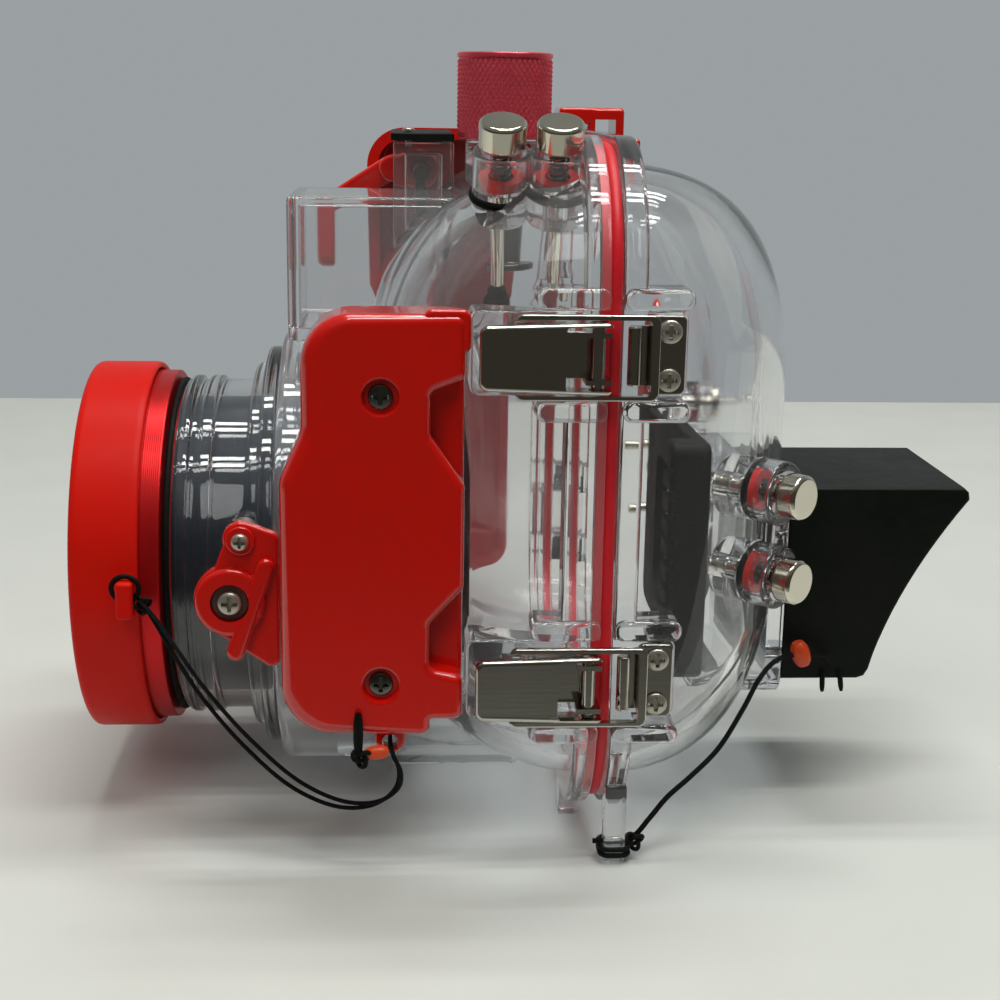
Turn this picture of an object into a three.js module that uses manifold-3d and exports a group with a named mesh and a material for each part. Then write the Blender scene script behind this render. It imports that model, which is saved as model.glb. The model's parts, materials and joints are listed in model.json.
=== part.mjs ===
// Underwater camera housing: a clear two-shell case with a lens port, draw latches and push controls.
// Millimetres, +Z up, the lens looks along -Y and the photographer's left hand is at +X.
// While modelling, the lens axis is X = 0, Z = 0 and the door seal is the plane Y = 0.

import * as THREE from 'three';
import { mergeVertices } from 'three/addons/utils/BufferGeometryUtils.js';
import Module from 'manifold-3d';

const wasm = await Module();
wasm.setup();

// Driving dimensions

// Gaps between neighbours, and how far tools and bosses run past a wall
const gap = { seat: 0.3, running: 0.3, overrun: 2, root: 2.5, merge: 1e-4 };

// Facets
const facets = {
  corner: 5, large: 30, medium: 14, boss: 12, small: 8, cordSides: 8, springSteps: 8, springSides: 5,
};

// Clear case: walls measured from the lens axis, depths from the seal plane
const shell = {
  near: 52, far: 78, above: 82, below: 39, wall: 3.2, corner: 22,
  frontDepth: 43.5, frontShrink: 35, frontCorner: 24, frontPower: 2,
  doorDepth: 40, doorShrink: 45, doorCorner: 14, doorPower: 2.4,
  depthShares: [0, 0.38, 0.64, 0.83, 0.95, 1],
};

// Flanges either side of the red seal
const flange = { rim: 5, thickness: 4.2, face: 1.3, ease: 4 };
flange.corner = shell.corner + flange.ease;
flange.back = flange.face + flange.thickness;
const seal = { width: 4, edge: 0.8, half: 1, tongueWidth: 2, tongueDepth: 1.4, tongueInset: 1 };

// Lens port, built outwards from the bore of its liner; depths are in front of the seal plane
const port = {
  linerBore: 29.4, linerWall: 1.9, linerBack: 30, linerClear: 0.4,
  tubeWall: 3.3, tubeReach: 20.2, turretWall: 10.2, turretReach: 18.5, turretBack: 8, seatDepth: 11,
  boreBack: 18, collarWide: 7, collarDepth: 5.5, collarStep: 2.6, stepWide: 3.5,
  ringWide: 1.8, ringReach: 13.8, ringGap: 2, lipDepth: 4.2, lipWide: 2.3, spigotIn: 1.7, spigotWall: 0.8,
  glassDepth: 3, sealWide: 2,
};
port.linerRadius = port.linerBore + port.linerWall;
port.tubeBore = port.linerRadius + port.linerClear;
port.tubeRadius = port.tubeBore + port.tubeWall;
port.boreRadius = port.tubeBore + gap.seat;
port.seatRadius = port.tubeRadius + gap.seat;
port.turretRadius = port.seatRadius + port.turretWall;
port.turretFront = shell.frontDepth + port.turretReach;
port.tubeFront = port.turretFront + port.tubeReach;
port.collarBack = port.turretFront + gap.seat;
port.collarRadius = port.tubeRadius + port.collarWide;
port.stepRadius = port.tubeRadius + port.stepWide;
port.ringRadius = port.tubeRadius + port.ringWide;
port.ringFront = port.tubeFront + port.ringReach;
port.ringBack = port.tubeFront + port.ringGap;
port.spigot = port.tubeRadius - port.spigotIn;
port.glassSeat = port.spigot - port.spigotWall;
port.ringLip = port.glassSeat - port.lipWide;
port.sealBore = port.spigot + gap.seat;
port.sealRadius = port.sealBore + port.sealWide;

const cap = {
  wall: 1.4, skirt: 1.5, reach: 5.3, cover: 3.8, web: 2.4, shoulderIn: 2.2, lip: 1, round: 1.8,
  lugWidth: 3.3, lugHeight: 7.3, lugReach: 4.2, lugHole: 1.3, lugBack: 0.4,
};
cap.radius = port.ringRadius + gap.seat + cap.skirt;
cap.front = port.ringFront + cap.reach;
cap.back = port.ringBack + cap.cover;
cap.shoulder = port.ringRadius - cap.shoulderIn;

// Draw latches: places on the near side, then sizes seen from the side (along, tall, out)
const latch = {
  belowTop: 32.3, aboveFoot: 27.9, stand: 3.4, padStart: -25.8, padTall: 15.2, padDeep: 15.4,
  doorPadDeep: 9.4, doorPadEnd: 13,
  plateStart: -21, plateEnd: -2.6, plateTall: 8.4, plateThick: 1.1,
  pivotAlong: -3.6, pivotStand: 4.6, pinRadius: 1.2, earTall: 0.9, earGap: 7.4, earLong: 4.4,
  leverStart: -24.4, leverEnd: -9.4, leverTall: 12.8, leverTip: 11.4, leverThick: 1, leverRise: 2.4,
  cheekThick: 0.8, cheekEnd: -1.2, cheekDrop: 2.4,
  bailPivot: -16.6, bailEnd: 7.2, bailTall: 15.2, bailThick: 0.9, bailWide: 1.5, bailPin: 0.8,
  keeperStart: 5.9, keeperEnd: 12.4, keeperTall: 14.2, keeperThick: 1.1, hookAlong: 3.1, hookTall: 10.6,
  hookRadius: 1.25, screwRadius: 2.1, screwHeight: 0.9, screwShank: 1, screwSpread: 8.6, screwAlong: 9.4,
  screwDepth: 5, ledgeTall: 3.8, ledgeGap: 0.5, ledgeRise: 3.2, ledgeDeep: 16.6, ledgeStart: -14.2,
  ledgeEnd: 13.6, ledgeRound: 3.4, ribStart: -8.6,
};
latch.heights = [shell.above - latch.belowTop, latch.aboveFoot - shell.below];
latch.padOut = shell.near + latch.stand;
latch.padIn = latch.padOut - latch.padDeep;
latch.doorPadIn = latch.padOut - latch.doorPadDeep;
latch.pivotOut = latch.padOut + latch.pivotStand;
latch.leverOut = latch.pivotOut + latch.leverRise;
latch.cheekIn = latch.pivotOut - latch.cheekDrop;
latch.ledgeOut = latch.padOut + latch.ledgeRise;
latch.ledgeIn = latch.ledgeOut - latch.ledgeDeep;

// Door hinge on the far side
const hinge = {
  offset: 6, knuckleRadius: 4, pinRadius: 1.5, belowTop: 22, aboveFoot: 25, middle: 12, outer: 7,
  pinHead: 2.6, pinHeadTall: 1.4,
};
hinge.heights = [shell.above - hinge.belowTop, hinge.aboveFoot - shell.below];

// Feet below the case, and the tripod block under the port turret
const feet = {
  fall: 11, finWidth: 5, finRoot: 5, frontIn: 24, doorIn: 2, cordHole: 1.3, cordRise: 3.6,
  blockWidth: 32, blockBack: 12, blockIn: 3.5, blockCentre: -12, socketRadius: 3.2, socketDepth: 8,
  blockUnder: 1,
};
feet.ground = shell.below + feet.fall;
feet.finTop = shell.below - feet.finRoot;
feet.frontFins = [shell.near - feet.frontIn, feet.frontIn - shell.far];
feet.doorFins = [shell.near - feet.doorIn, feet.doorIn - shell.far];
feet.cordHeight = feet.ground - feet.cordRise;
feet.blockFront = shell.frontDepth - feet.blockIn;
feet.blockTop = shell.below + feet.blockUnder;

// Red bracket that ties the port collar to the cover
const bracket = {
  clear: 0.4, thick: 1.9, raise: 1.7, eyeReach: 7.2, eyeHeight: 1.8, eyeRadius: 6.9,
  smallReach: 5.1, smallHeight: 13.5, smallRadius: 3.4, tailReach: 1.9, tailHigh: 15, tailLow: -11.2,
  postRadius: 4, smallPost: 2.6, screwRadius: 2.2, smallScrew: 1.6, screwTall: 1.2, shank: 1.4,
  smallShank: 0.9, shankDepth: 7, washer: 3.3, washerTall: 0.7, stepReach: 2.2,
};
bracket.inner = port.turretRadius + bracket.clear;
bracket.eyeAlong = -port.collarBack - bracket.eyeReach;
bracket.smallAlong = -port.collarBack - bracket.smallReach;
bracket.tailAlong = bracket.tailReach - port.collarBack;
bracket.stepEdge = -port.collarBack - bracket.stepReach;

// Red cover over the near side of the port, seen from the side
const cover = {
  clear: 0.8, shoulderIn: 4.1, above: 57, below: -20.4, step: 3, stepIn: 5.9, cupDrop: 3.5,
  depth: 11.9, wall: 2.2, round: 3.4, cornerTop: 9, cornerLow: 9, waistTop: 36, waistLow: 27,
  scallopDepth: 6.1, scallops: [[33, 45.8], [-7.8, 7.6]], scallopRound: 4,
  screws: [42.5, -10.6], screwIn: 14.9, screwRadius: 2.2, screwTall: 0.7, recess: 3.1,
  recessDepth: 1.6, postRadius: 4.5, upperRoot: 30, lowerRoot: 9.5, shank: 1.3, shankDepth: 9,
  eyeIn: 13.2, eyeRadius: 2.8, eyeHole: 1.5, eyeDrop: 3.2, eyeThick: 3,
};
cover.inner = bracket.inner + bracket.thick + gap.seat;
cover.outer = cover.inner + cover.depth;
cover.cupFoot = cover.outer - cover.cupDrop;
cover.back = latch.padStart - cover.clear;
cover.front = bracket.tailAlong + cover.clear;
cover.shoulder = cover.front + cover.shoulderIn;
cover.stepAt = cover.back - cover.stepIn;
cover.screwAlong = cover.back - cover.screwIn;
cover.postRoots = [shell.near - cover.upperRoot, port.turretRadius - cover.lowerRoot];
cover.eyeAlong = cover.back - cover.eyeIn;

// Mode knob on top
const knob = {
  across: -15, clear: 0.4, radius: 10.1, tall: 17.7, chamfer: 0.9, shaftRadius: 2.4, shaftFall: 29,
  bossRadius: 8.2, bossRise: 2.6, bossFall: 8, driveRadius: 6.2, driveTall: 5, recess: 1.4,
  recessRadius: 4,
};
knob.along = -flange.back - knob.clear - knob.radius;
knob.bossTop = shell.above + knob.bossRise;
knob.bossRoot = shell.above - knob.bossFall;
knob.base = knob.bossTop + gap.seat;
knob.top = knob.base + knob.tall;
knob.shaftFoot = shell.above - knob.shaftFall;
knob.bore = knob.shaftRadius + gap.seat;

// Push controls. Heights are along each control's own axis, from the wall outwards.
const topButtons = {
  leanDegrees: 23.5, inward: 18, drop: 5.6, alongs: [-19.6, -9.1], names: ['front', 'rear'],
  capRadius: 4.4, capTall: 5.4, bossWall: 0.9, bossTall: 8.6, counterbore: 7.2,
  shaft: 1.2, reaches: [24.4, 22], root: 6, tipRadius: 2.6, tipTall: 5, clip: 2.1, clipTall: 0.8,
};
const cornerButtons = {
  turnDegrees: 42, inward: 14.6, forward: 9.2, heights: [21, 4.4], names: ['upper', 'lower'],
  capRadius: 4.35, capTall: 4.4, bossWall: 1.85, bossTall: 6.6, counterbore: 6.4,
  shaft: 1.2, reach: 8.9, stroke: 2.5, root: 7, clip: 2.1, clipTall: 0.8,
};
const rearButtons = {
  inward: 34, height: 10, spread: 13, forward: 5.8, names: ['up', 'down', 'left', 'right'],
  capRadius: 3.7, capTall: 3.2, bossWall: 1.3, bossTall: 9.2, counterbore: 6.2,
  shaft: 1.1, reach: 14, root: 4, clip: 2, clipTall: 0.8,
};
topButtons.across = shell.near - topButtons.inward;
topButtons.height = shell.above - topButtons.drop;
cornerButtons.across = shell.near - cornerButtons.inward;
cornerButtons.along = shell.doorDepth - cornerButtons.forward;
rearButtons.across = rearButtons.inward - shell.far;
rearButtons.along = shell.doorDepth - rearButtons.forward;
for (const buttons of [topButtons, cornerButtons, rearButtons]) {
  buttons.bossRadius = buttons.capRadius + buttons.bossWall;
}
const spring = { wire: 0.6, clear: 0.45, coil: 0.62 };

// Clear flash window box above the port
const flash = {
  near: 20, far: -12.5, frontIn: 2, back: -20, footRise: 0.9, topDrop: 7.6, wall: 2.2, roof: 1.6,
};
flash.front = flash.frontIn - port.turretFront;
flash.foot = port.turretRadius + flash.footRise;
flash.top = shell.above - flash.topDrop;

// Shutter lever, its cross shaft and the clear block that carries the shaft
const shutter = {
  blockClear: 1.5, blockWide: 33, knobClear: 0.5, blockDeep: 12.9, blockRise: 2, blockTall: 29,
  blockWall: 2.4, hollowFall: 1, pivotIn: 6, pivotDrop: 7, shaftRadius: 1.8, shaftIn: 6,
  hubRadius: 4.6, hubWide: 10.7, armThick: 5.5, armDeep: 6, paddleOut: 9, paddleWide: 15.5,
  paddleReach: 24.1, paddleThick: 4.2, paddleDrop: 6, paddleTall: 17.5, paddleRound: 3, armRise: 3,
  fingerIn: 15, fingerWidth: 4, fingerThick: 2.4, fingerReach: 16, lidThick: 1.6, lidEdge: 0.6,
  lidScrewIn: 3.2, lidScrewRadius: 1.3, lidScrewTall: 0.8, lidScrewBite: 1.5, lidScrewShank: 0.7,
  lidScrewEdge: 4,
};
shutter.blockNear = flash.far - shutter.blockClear;
shutter.blockFar = shutter.blockNear - shutter.blockWide;
shutter.blockBack = knob.along - knob.radius - shutter.knobClear;
shutter.blockFront = shutter.blockBack - shutter.blockDeep;
shutter.blockTop = shell.above + shutter.blockRise;
shutter.blockFoot = shutter.blockTop - shutter.blockTall;
shutter.hollowFoot = shutter.blockFoot - shutter.hollowFall;
shutter.pivotAlong = shutter.blockFront + shutter.pivotIn;
shutter.pivotHeight = shutter.blockTop - shutter.pivotDrop;
shutter.shaftNear = shutter.blockNear - shutter.shaftIn;
shutter.hubNear = shutter.blockFar - gap.seat;
shutter.hubFar = shutter.hubNear - shutter.hubWide;
shutter.paddleFar = shutter.hubFar - shutter.paddleOut;
shutter.paddleNear = shutter.paddleFar + shutter.paddleWide;
shutter.paddleFront = shutter.pivotAlong - shutter.paddleReach;
shutter.paddleBack = shutter.paddleFront + shutter.paddleThick;
shutter.paddleTop = shutter.pivotHeight - shutter.paddleDrop;
shutter.paddleFoot = shutter.paddleTop - shutter.paddleTall;
shutter.fingerAcross = shutter.blockNear - shutter.fingerIn;
shutter.lidScrewAlong = shutter.blockFront + shutter.lidScrewIn;
shutter.lidScrewAcross = shutter.blockNear - shutter.lidScrewEdge;

// Screen window in the door, the rubber frame inside it and the hood outside it
const screen = {
  nearIn: 24, width: 46, footRise: 14, height: 46.5, depth: 17.4, wall: 2.4, corner: 4,
  frameThick: 8, frameOut: 6, frameWide: 59, frameRise: 6, frameHeight: 48, openEdge: 6, holeEdge: 5.4,
};
screen.near = shell.near - screen.nearIn;
screen.far = screen.near - screen.width;
screen.foot = screen.footRise - shell.below;
screen.top = screen.foot + screen.height;
screen.outside = shell.doorDepth;
screen.inside = screen.outside - screen.depth;
screen.frameNear = screen.near + screen.frameOut;
screen.frameFar = screen.frameNear - screen.frameWide;
screen.frameFoot = screen.foot + screen.frameRise;
screen.frameTop = screen.frameFoot + screen.frameHeight;
const hood = {
  nearIn: 2, farIn: 4, footIn: 2.8, topIn: 3.2, tipReach: 37.2, heelReach: 18.8, wall: 2, round: 2.4,
  waist: 2.2,
};
hood.near = screen.near - hood.nearIn;
hood.far = screen.far + hood.farIn;
hood.foot = screen.foot + hood.footIn;
hood.top = screen.top - hood.topIn;
hood.tipAlong = screen.outside + hood.tipReach;
hood.heelAlong = screen.outside + hood.heelReach;

// Far side: grip cover, thumb rest and strap lug
const grip = {
  innerIn: 16, outerRise: 20, frontRise: 2.5, back: -13, footRise: 13, topRise: 4, wall: 2.6,
  round: 4.5, corner: 9, fingers: 3, fingerDepth: 3.2, fingerRise: 12, fingerDrop: 36, steps: 4,
};
grip.inner = grip.innerIn - shell.far;
grip.outer = -shell.far - grip.outerRise;
grip.front = -shell.frontDepth - grip.frontRise;
grip.foot = grip.footRise - shell.below;
grip.top = shell.above + grip.topRise;
grip.fingerFoot = grip.foot + grip.fingerRise;
grip.fingerTop = grip.top - grip.fingerDrop;
const thumb = {
  inward: 13, forward: 6.5, height: 30, halfWidth: 7, halfDepth: 6.2, halfTall: 16, leanDegrees: 12,
};
thumb.across = thumb.inward - shell.far;
thumb.along = shell.doorDepth - thumb.forward;
const lug = {
  inward: 13, width: 14, clear: 0.4, depth: 8.7, rise: 9.4, root: 12, lowDepth: 4, lowRise: 2.4,
  slotIn: 4.2, slotWide: 4.8, slotTall: 4.6, slotDrop: 5, tongue: 6.7, tongueClear: 0.6,
};
lug.far = lug.inward - shell.far;
lug.near = lug.far + lug.width;
lug.front = flange.back + lug.clear;
lug.back = lug.front + lug.depth;
lug.lowBack = lug.back + lug.lowDepth;
lug.top = shell.above + lug.rise;
lug.foot = shell.above - lug.root;
lug.lowTop = shell.above + lug.lowRise;
lug.tongueFront = lug.front - lug.tongue;
lug.tongueFoot = shell.above + flange.rim + lug.tongueClear;
lug.slotAlong = lug.front + lug.slotIn;
lug.slotHeight = lug.top - lug.slotDrop;

// Lanyards: routes chosen by hand, [across, along, height]
const cord = { radius: 0.8, step: 4.2 };
const capLanyardRoute = [
  [40.7, -94.6, 0], [40.7, -90.4, 0], [40.8, -87.2, -0.2], [42.6, -84.6, -3], [46, -80.6, -8],
  [49.2, -75, -15.4], [52, -66.6, -24.6], [54, -57, -32.6], [55.4, -48.6, -35.8], [56.6, -42.4, -35],
  [57.8, -38.6, -31.6],
  [59, -38, -27.6], [59.4, -39.2, -24.4], [57.6, -39.8, -22.65], [55.2, -39.8, -22.65], [52.2, -39.8, -22.65],
];
const hoodLanyardRoute = [
  [50, -0.6, -46.4], [50, 3.4, -46.4], [50, 7.2, -45.6], [49.6, 10.4, -42], [48.8, 13.8, -38],
  [47.4, 18.4, -34.4], [44.6, 24.2, -29.8], [40.8, 29.6, -23], [36, 33.8, -18.2], [31.8, 38, -16],
  [30, 42, -15.6], [29.6, 47, -15.6],
];

// Materials

const colours = {
  clear: 0xdfe3ea, red: 0xd9120e, anodised: 0xb01535, silicone: 0xd0183a, steel: 0xb9bcb8, nickel: 0xcfc6ac,
  black: 0x101114, liner: 0x1d2329, glass: 0xe6f0f2, brown: 0x4a3026,
};

function plastic(colour, roughness) {
  return new THREE.MeshStandardMaterial({ color: colour, roughness, metalness: 0, flatShading: true });
}

function metal(colour, roughness) {
  return new THREE.MeshStandardMaterial({ color: colour, roughness, metalness: 1, flatShading: true });
}

function transparent(colour, opacity) {
  const material = plastic(colour, 0.06);
  material.transparent = true;
  material.opacity = opacity;
  return material;
}

const look = {
  clear: transparent(colours.clear, 0.35),
  glass: transparent(colours.glass, 0.3),
  red: plastic(colours.red, 0.22),
  silicone: plastic(colours.silicone, 0.5),
  black: plastic(colours.black, 0.7),
  liner: plastic(colours.liner, 0.45),
  brown: plastic(colours.brown, 0.6),
  anodised: metal(colours.anodised, 0.35),
  steel: metal(colours.steel, 0.22),
  nickel: metal(colours.nickel, 0.12),
};

// Solids and booleans

// Signed volume of an indexed mesh, positive when its faces point out
function signedVolume(geometry) {
  const at = geometry.attributes.position;
  const index = geometry.index.array;
  const [a, b, c] = [new THREE.Vector3(), new THREE.Vector3(), new THREE.Vector3()];
  let sum = 0;
  for (let i = 0; i < index.length; i += 3) {
    a.fromBufferAttribute(at, index[i]);
    b.fromBufferAttribute(at, index[i + 1]);
    c.fromBufferAttribute(at, index[i + 2]);
    sum += a.dot(b.cross(c));
  }
  return sum;
}

// Closed copy of a geometry with shared vertices and faces that point out
function closed(geometry) {
  const copy = geometry.clone();
  copy.deleteAttribute('normal');
  copy.deleteAttribute('uv');
  const merged = mergeVertices(copy, gap.merge);
  if (signedVolume(merged) < 0) {
    const index = merged.index.array;
    for (let i = 0; i < index.length; i += 3) {
      [index[i], index[i + 1]] = [index[i + 1], index[i]];
    }
  }
  return merged;
}

function solid(geometry) {
  const merged = closed(geometry);
  return new wasm.Manifold(new wasm.Mesh({
    numProp: 3,
    vertProperties: new Float32Array(merged.attributes.position.array),
    triVerts: new Uint32Array(merged.index.array),
  }));
}

function fromSolid(body) {
  const mesh = body.getMesh();
  const geometry = new THREE.BufferGeometry();
  geometry.setAttribute('position', new THREE.BufferAttribute(mesh.vertProperties, 3));
  geometry.setIndex(new THREE.BufferAttribute(mesh.triVerts, 1));
  return geometry;
}

function join(first, ...others) {
  return fromSolid(others.reduce((sum, other) => sum.add(solid(other)), solid(first)));
}

function cut(first, ...tools) {
  return fromSolid(tools.reduce((rest, tool) => rest.subtract(solid(tool)), solid(first)));
}

function overlapOf(first, second) {
  return fromSolid(solid(first).intersect(solid(second)));
}

function place(geometry, matrix) {
  return geometry.clone().applyMatrix4(matrix);
}

function shift(geometry, x, y, z) {
  return geometry.clone().translate(x, y, z);
}

// Frames: local z is the direction that the piece faces

const worldX = new THREE.Vector3(1, 0, 0);
const worldY = new THREE.Vector3(0, 1, 0);
const worldZ = new THREE.Vector3(0, 0, 1);

// Seen from in front: x across, y up, z towards the subject (-Y)
const forward = new THREE.Matrix4().makeBasis(worldX, worldZ, worldY.clone().negate());
// Seen from the near side: x towards the door, y up, z outwards (+X)
const nearSide = new THREE.Matrix4().makeBasis(worldY, worldZ, worldX);
// Seen from the far side: x towards the subject, y up, z outwards (-X)
const farSide = new THREE.Matrix4().makeBasis(worldY.clone().negate(), worldZ, worldX.clone().negate());
// Seen from behind: x towards the far side, y up, z towards the photographer (+Y)
const backward = new THREE.Matrix4().makeBasis(worldX.clone().negate(), worldZ, worldY);

// Outlines, listed counter-clockwise in their own plane

const cornerShares = { most: 0.49 };

// Rectangle with its corners rounded, by no more than its sides have room for
function roundedRectangle(left, right, foot, top, corner, steps = facets.corner) {
  const radius = Math.min(corner, cornerShares.most * Math.min(right - left, top - foot));
  const centres = [
    [right - radius, top - radius], [left + radius, top - radius],
    [left + radius, foot + radius], [right - radius, foot + radius],
  ];
  const quarter = Math.PI / 2;
  return centres.flatMap(([x, y], turn) => Array.from({ length: steps + 1 }, (_, i) => {
    const angle = quarter * (turn + i / steps);
    return new THREE.Vector2(x + radius * Math.cos(angle), y + radius * Math.sin(angle));
  }));
}

const insetShares = { sharpest: 0.5 };

// Outline moved in by a distance along the mean normal of each corner
function inset(outline, distance) {
  const count = outline.length;
  return outline.map((point, i) => {
    const before = outline[(i + count - 1) % count];
    const after = outline[(i + 1) % count];
    const one = point.clone().sub(before).normalize();
    const two = after.clone().sub(point).normalize();
    const mean = one.clone().add(two).normalize();
    const reach = distance / Math.max(mean.dot(one), insetShares.sharpest);
    return new THREE.Vector2(point.x - mean.y * reach, point.y + mean.x * reach);
  });
}

function turnedCounterClockwise(face, outline) {
  const [a, b, c] = face.map((i) => outline[i]);
  const area = (b.x - a.x) * (c.y - a.y) - (c.x - a.x) * (b.y - a.y);
  return area < 0 ? [face[0], face[2], face[1]] : face;
}

// Closed solid through outlines of equal length, stacked along local z in rising order
function stack(levels) {
  const count = levels[0].outline.length;
  const positions = levels.flatMap(({ outline, height }) => outline.flatMap((p) => [p.x, p.y, height]));
  const index = [];
  for (let k = 0; k + 1 < levels.length; k += 1) {
    for (let i = 0; i < count; i += 1) {
      const next = (i + 1) % count;
      const [a, b] = [k * count + i, k * count + next];
      const [c, d] = [b + count, a + count];
      index.push(a, b, c, a, c, d);
    }
  }
  const lids = [[0, true], [levels.length - 1, false]];
  for (const [level, flipped] of lids) {
    const { outline } = levels[level];
    for (const face of THREE.ShapeUtils.triangulateShape(outline, [])) {
      const [a, b, c] = turnedCounterClockwise(face, outline).map((i) => i + level * count);
      index.push(...(flipped ? [a, c, b] : [a, b, c]));
    }
  }
  const geometry = new THREE.BufferGeometry();
  geometry.setAttribute('position', new THREE.Float32BufferAttribute(positions, 3));
  geometry.setIndex(index);
  return geometry;
}

function plate(outline, low, high) {
  return stack([{ outline, height: low }, { outline, height: high }]);
}

// Plate whose top edge is rounded by a radius
function roundedPlate(outline, low, high, radius, steps = 3) {
  const levels = [{ outline, height: low }];
  for (let i = 0; i <= steps; i += 1) {
    const angle = (Math.PI / 2) * (i / steps);
    levels.push({
      outline: inset(outline, radius * (1 - Math.cos(angle))),
      height: high - radius * (1 - Math.sin(angle)),
    });
  }
  return stack(levels);
}

// Plate that flares outwards towards its top by a radius
function flaredPlate(outline, low, high, radius, steps = 3) {
  const levels = [{ outline, height: low }];
  for (let i = 0; i <= steps; i += 1) {
    const angle = (Math.PI / 2) * (i / steps);
    levels.push({
      outline: inset(outline, -radius * (1 - Math.cos(angle))),
      height: high - radius * (1 - Math.sin(angle)),
    });
  }
  const rim = inset(outline, -radius);
  levels.push({ outline: rim, height: high + gap.overrun });
  return stack(levels);
}

function block(x0, x1, y0, y1, z0, z1) {
  const box = new THREE.BoxGeometry(x1 - x0, y1 - y0, z1 - z0);
  return box.translate((x0 + x1) / 2, (y0 + y1) / 2, (z0 + z1) / 2);
}

// Rod along local z
function rod(radius, low, high, sides = facets.medium, x = 0, y = 0) {
  const body = new THREE.CylinderGeometry(radius, radius, high - low, sides);
  return body.rotateX(Math.PI / 2).translate(x, y, (low + high) / 2);
}

// Turned piece about the lens axis: profile points are [radius, depth in front of the seal]
function turned(profile, sides = facets.large) {
  const points = profile.map(([radius, depth]) => new THREE.Vector2(radius, -depth));
  return new THREE.LatheGeometry(points, sides);
}

function ringProfile(inner, outer, low, high) {
  return [[inner, low], [outer, low], [outer, high], [inner, high], [inner, low]];
}

// Turned piece about local z: profile points are [radius, height]
function spun(profile, sides = facets.medium) {
  const points = profile.map(([radius, height]) => new THREE.Vector2(radius, height));
  return new THREE.LatheGeometry(points, sides).rotateX(Math.PI / 2);
}

// Head and shank of a pan-head screw, head top at local z = 0, with a cross recess
function screw(headRadius, headTall, shankRadius, depth) {
  const body = spun([
    [0, -depth], [shankRadius, -depth], [shankRadius, -headTall], [headRadius, -headTall],
    [headRadius, -headTall / 2], [headRadius - headTall / 2, 0], [0, 0],
  ], facets.small);
  const slotHalf = headRadius * screwShares.slotLength;
  const slotWide = headRadius * screwShares.slotWidth;
  const slotFoot = -headTall * screwShares.slotDepth;
  return cut(
    body,
    block(-slotHalf, slotHalf, -slotWide, slotWide, slotFoot, gap.overrun),
    block(-slotWide, slotWide, -slotHalf, slotHalf, slotFoot, gap.overrun),
  );
}

const screwShares = { slotLength: 0.6, slotWidth: 0.14, slotDepth: 0.6 };

const housing = new THREE.Group();

function addPiece(name, geometry, material, parent = housing) {
  const mesh = new THREE.Mesh(closed(geometry), material);
  mesh.geometry.computeVertexNormals();
  mesh.name = name;
  parent.add(mesh);
  return mesh;
}

// Case shells

// Shrink of the case's outline at a share of its depth: a quarter of a superellipse
function shrinkAt(share, amount, power) {
  return amount * (1 - (1 - share ** power) ** (1 / power));
}

function caseOutline(shrink, corner) {
  return roundedRectangle(
    -shell.far + shrink, shell.near - shrink, -shell.below + shrink, shell.above - shrink, corner,
  );
}

// Domed shell on one side of the seal: side 1 is the front, -1 the door.
// The offset moves the whole surface inwards; a negative one gives the clearance round it.
function dome(side, offset, start) {
  const front = side > 0;
  const depth = (front ? shell.frontDepth : shell.doorDepth) - offset;
  const amount = front ? shell.frontShrink : shell.doorShrink;
  const lastCorner = front ? shell.frontCorner : shell.doorCorner;
  const power = front ? shell.frontPower : shell.doorPower;
  const levels = shell.depthShares.map((share) => {
    const shrink = shrinkAt(share, amount, power);
    const corner = THREE.MathUtils.lerp(shell.corner, lastCorner, shrink / amount) - offset;
    const height = side * Math.max(share * depth, start);
    return { outline: caseOutline(shrink + offset, corner), height };
  });
  const whole = stack(front ? levels : levels.reverse());
  return place(whole, forward);
}

function flangeOutline(edge) {
  return caseOutline(edge - flange.rim, flange.corner - edge);
}

function flangePlate(side) {
  const [low, high] = [flange.face, flange.face + flange.thickness];
  return place(plate(flangeOutline(0), side > 0 ? low : -high, side > 0 ? high : -low), forward);
}

// Blocks that carry a latch on one side of the seal
function latchSeats(side) {
  const front = side > 0;
  const along = (start, end) => (front ? [start, -flange.face] : [flange.face, end]);
  const pieces = [];
  for (const height of latch.heights) {
    const [padStart, padEnd] = along(latch.padStart, latch.doorPadEnd);
    const half = latch.padTall / 2;
    const padIn = front ? latch.padIn : latch.doorPadIn;
    const pad = roundedRectangle(padStart, padEnd, height - half, height + half, latch.ledgeRound / 2, 2);
    pieces.push(place(plate(pad, padIn, latch.padOut), nearSide));
    for (const way of [-1, 1]) {
      const near = half + latch.ledgeGap;
      const far = near + latch.ledgeTall;
      const [foot, top] = way > 0 ? [near, far] : [-far, -near];
      const [start, end] = along(latch.ledgeStart, latch.ledgeEnd);
      const round = latch.ledgeRound / 2;
      const ledge = roundedRectangle(start, end, height + foot, height + top, round, 2);
      pieces.push(place(plate(ledge, latch.ledgeIn, latch.ledgeOut), nearSide));
    }
  }
  return pieces;
}

// Recesses in a flange that let the latches lie on their seats
function latchNotches() {
  const half = latch.padTall / 2 + latch.ledgeGap;
  const reach = flange.face + flange.thickness + gap.overrun;
  const top = shell.near + flange.rim + gap.overrun;
  return latch.heights.map((height) => block(latch.padOut, top, -reach, reach, height - half, height + half));
}

// Upright rib between the two latches
function latchRib() {
  const [high, low] = latch.heights;
  const reach = latch.padTall / 2 + latch.ledgeGap;
  const start = shell.near - shell.wall;
  return block(start, shell.near + flange.rim, latch.ribStart, -flange.face, low + reach, high - reach);
}

// Hinge knuckles of one side, cut later by the pin bore
const hingeAcross = -(shell.far + flange.rim + hinge.offset);

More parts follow.
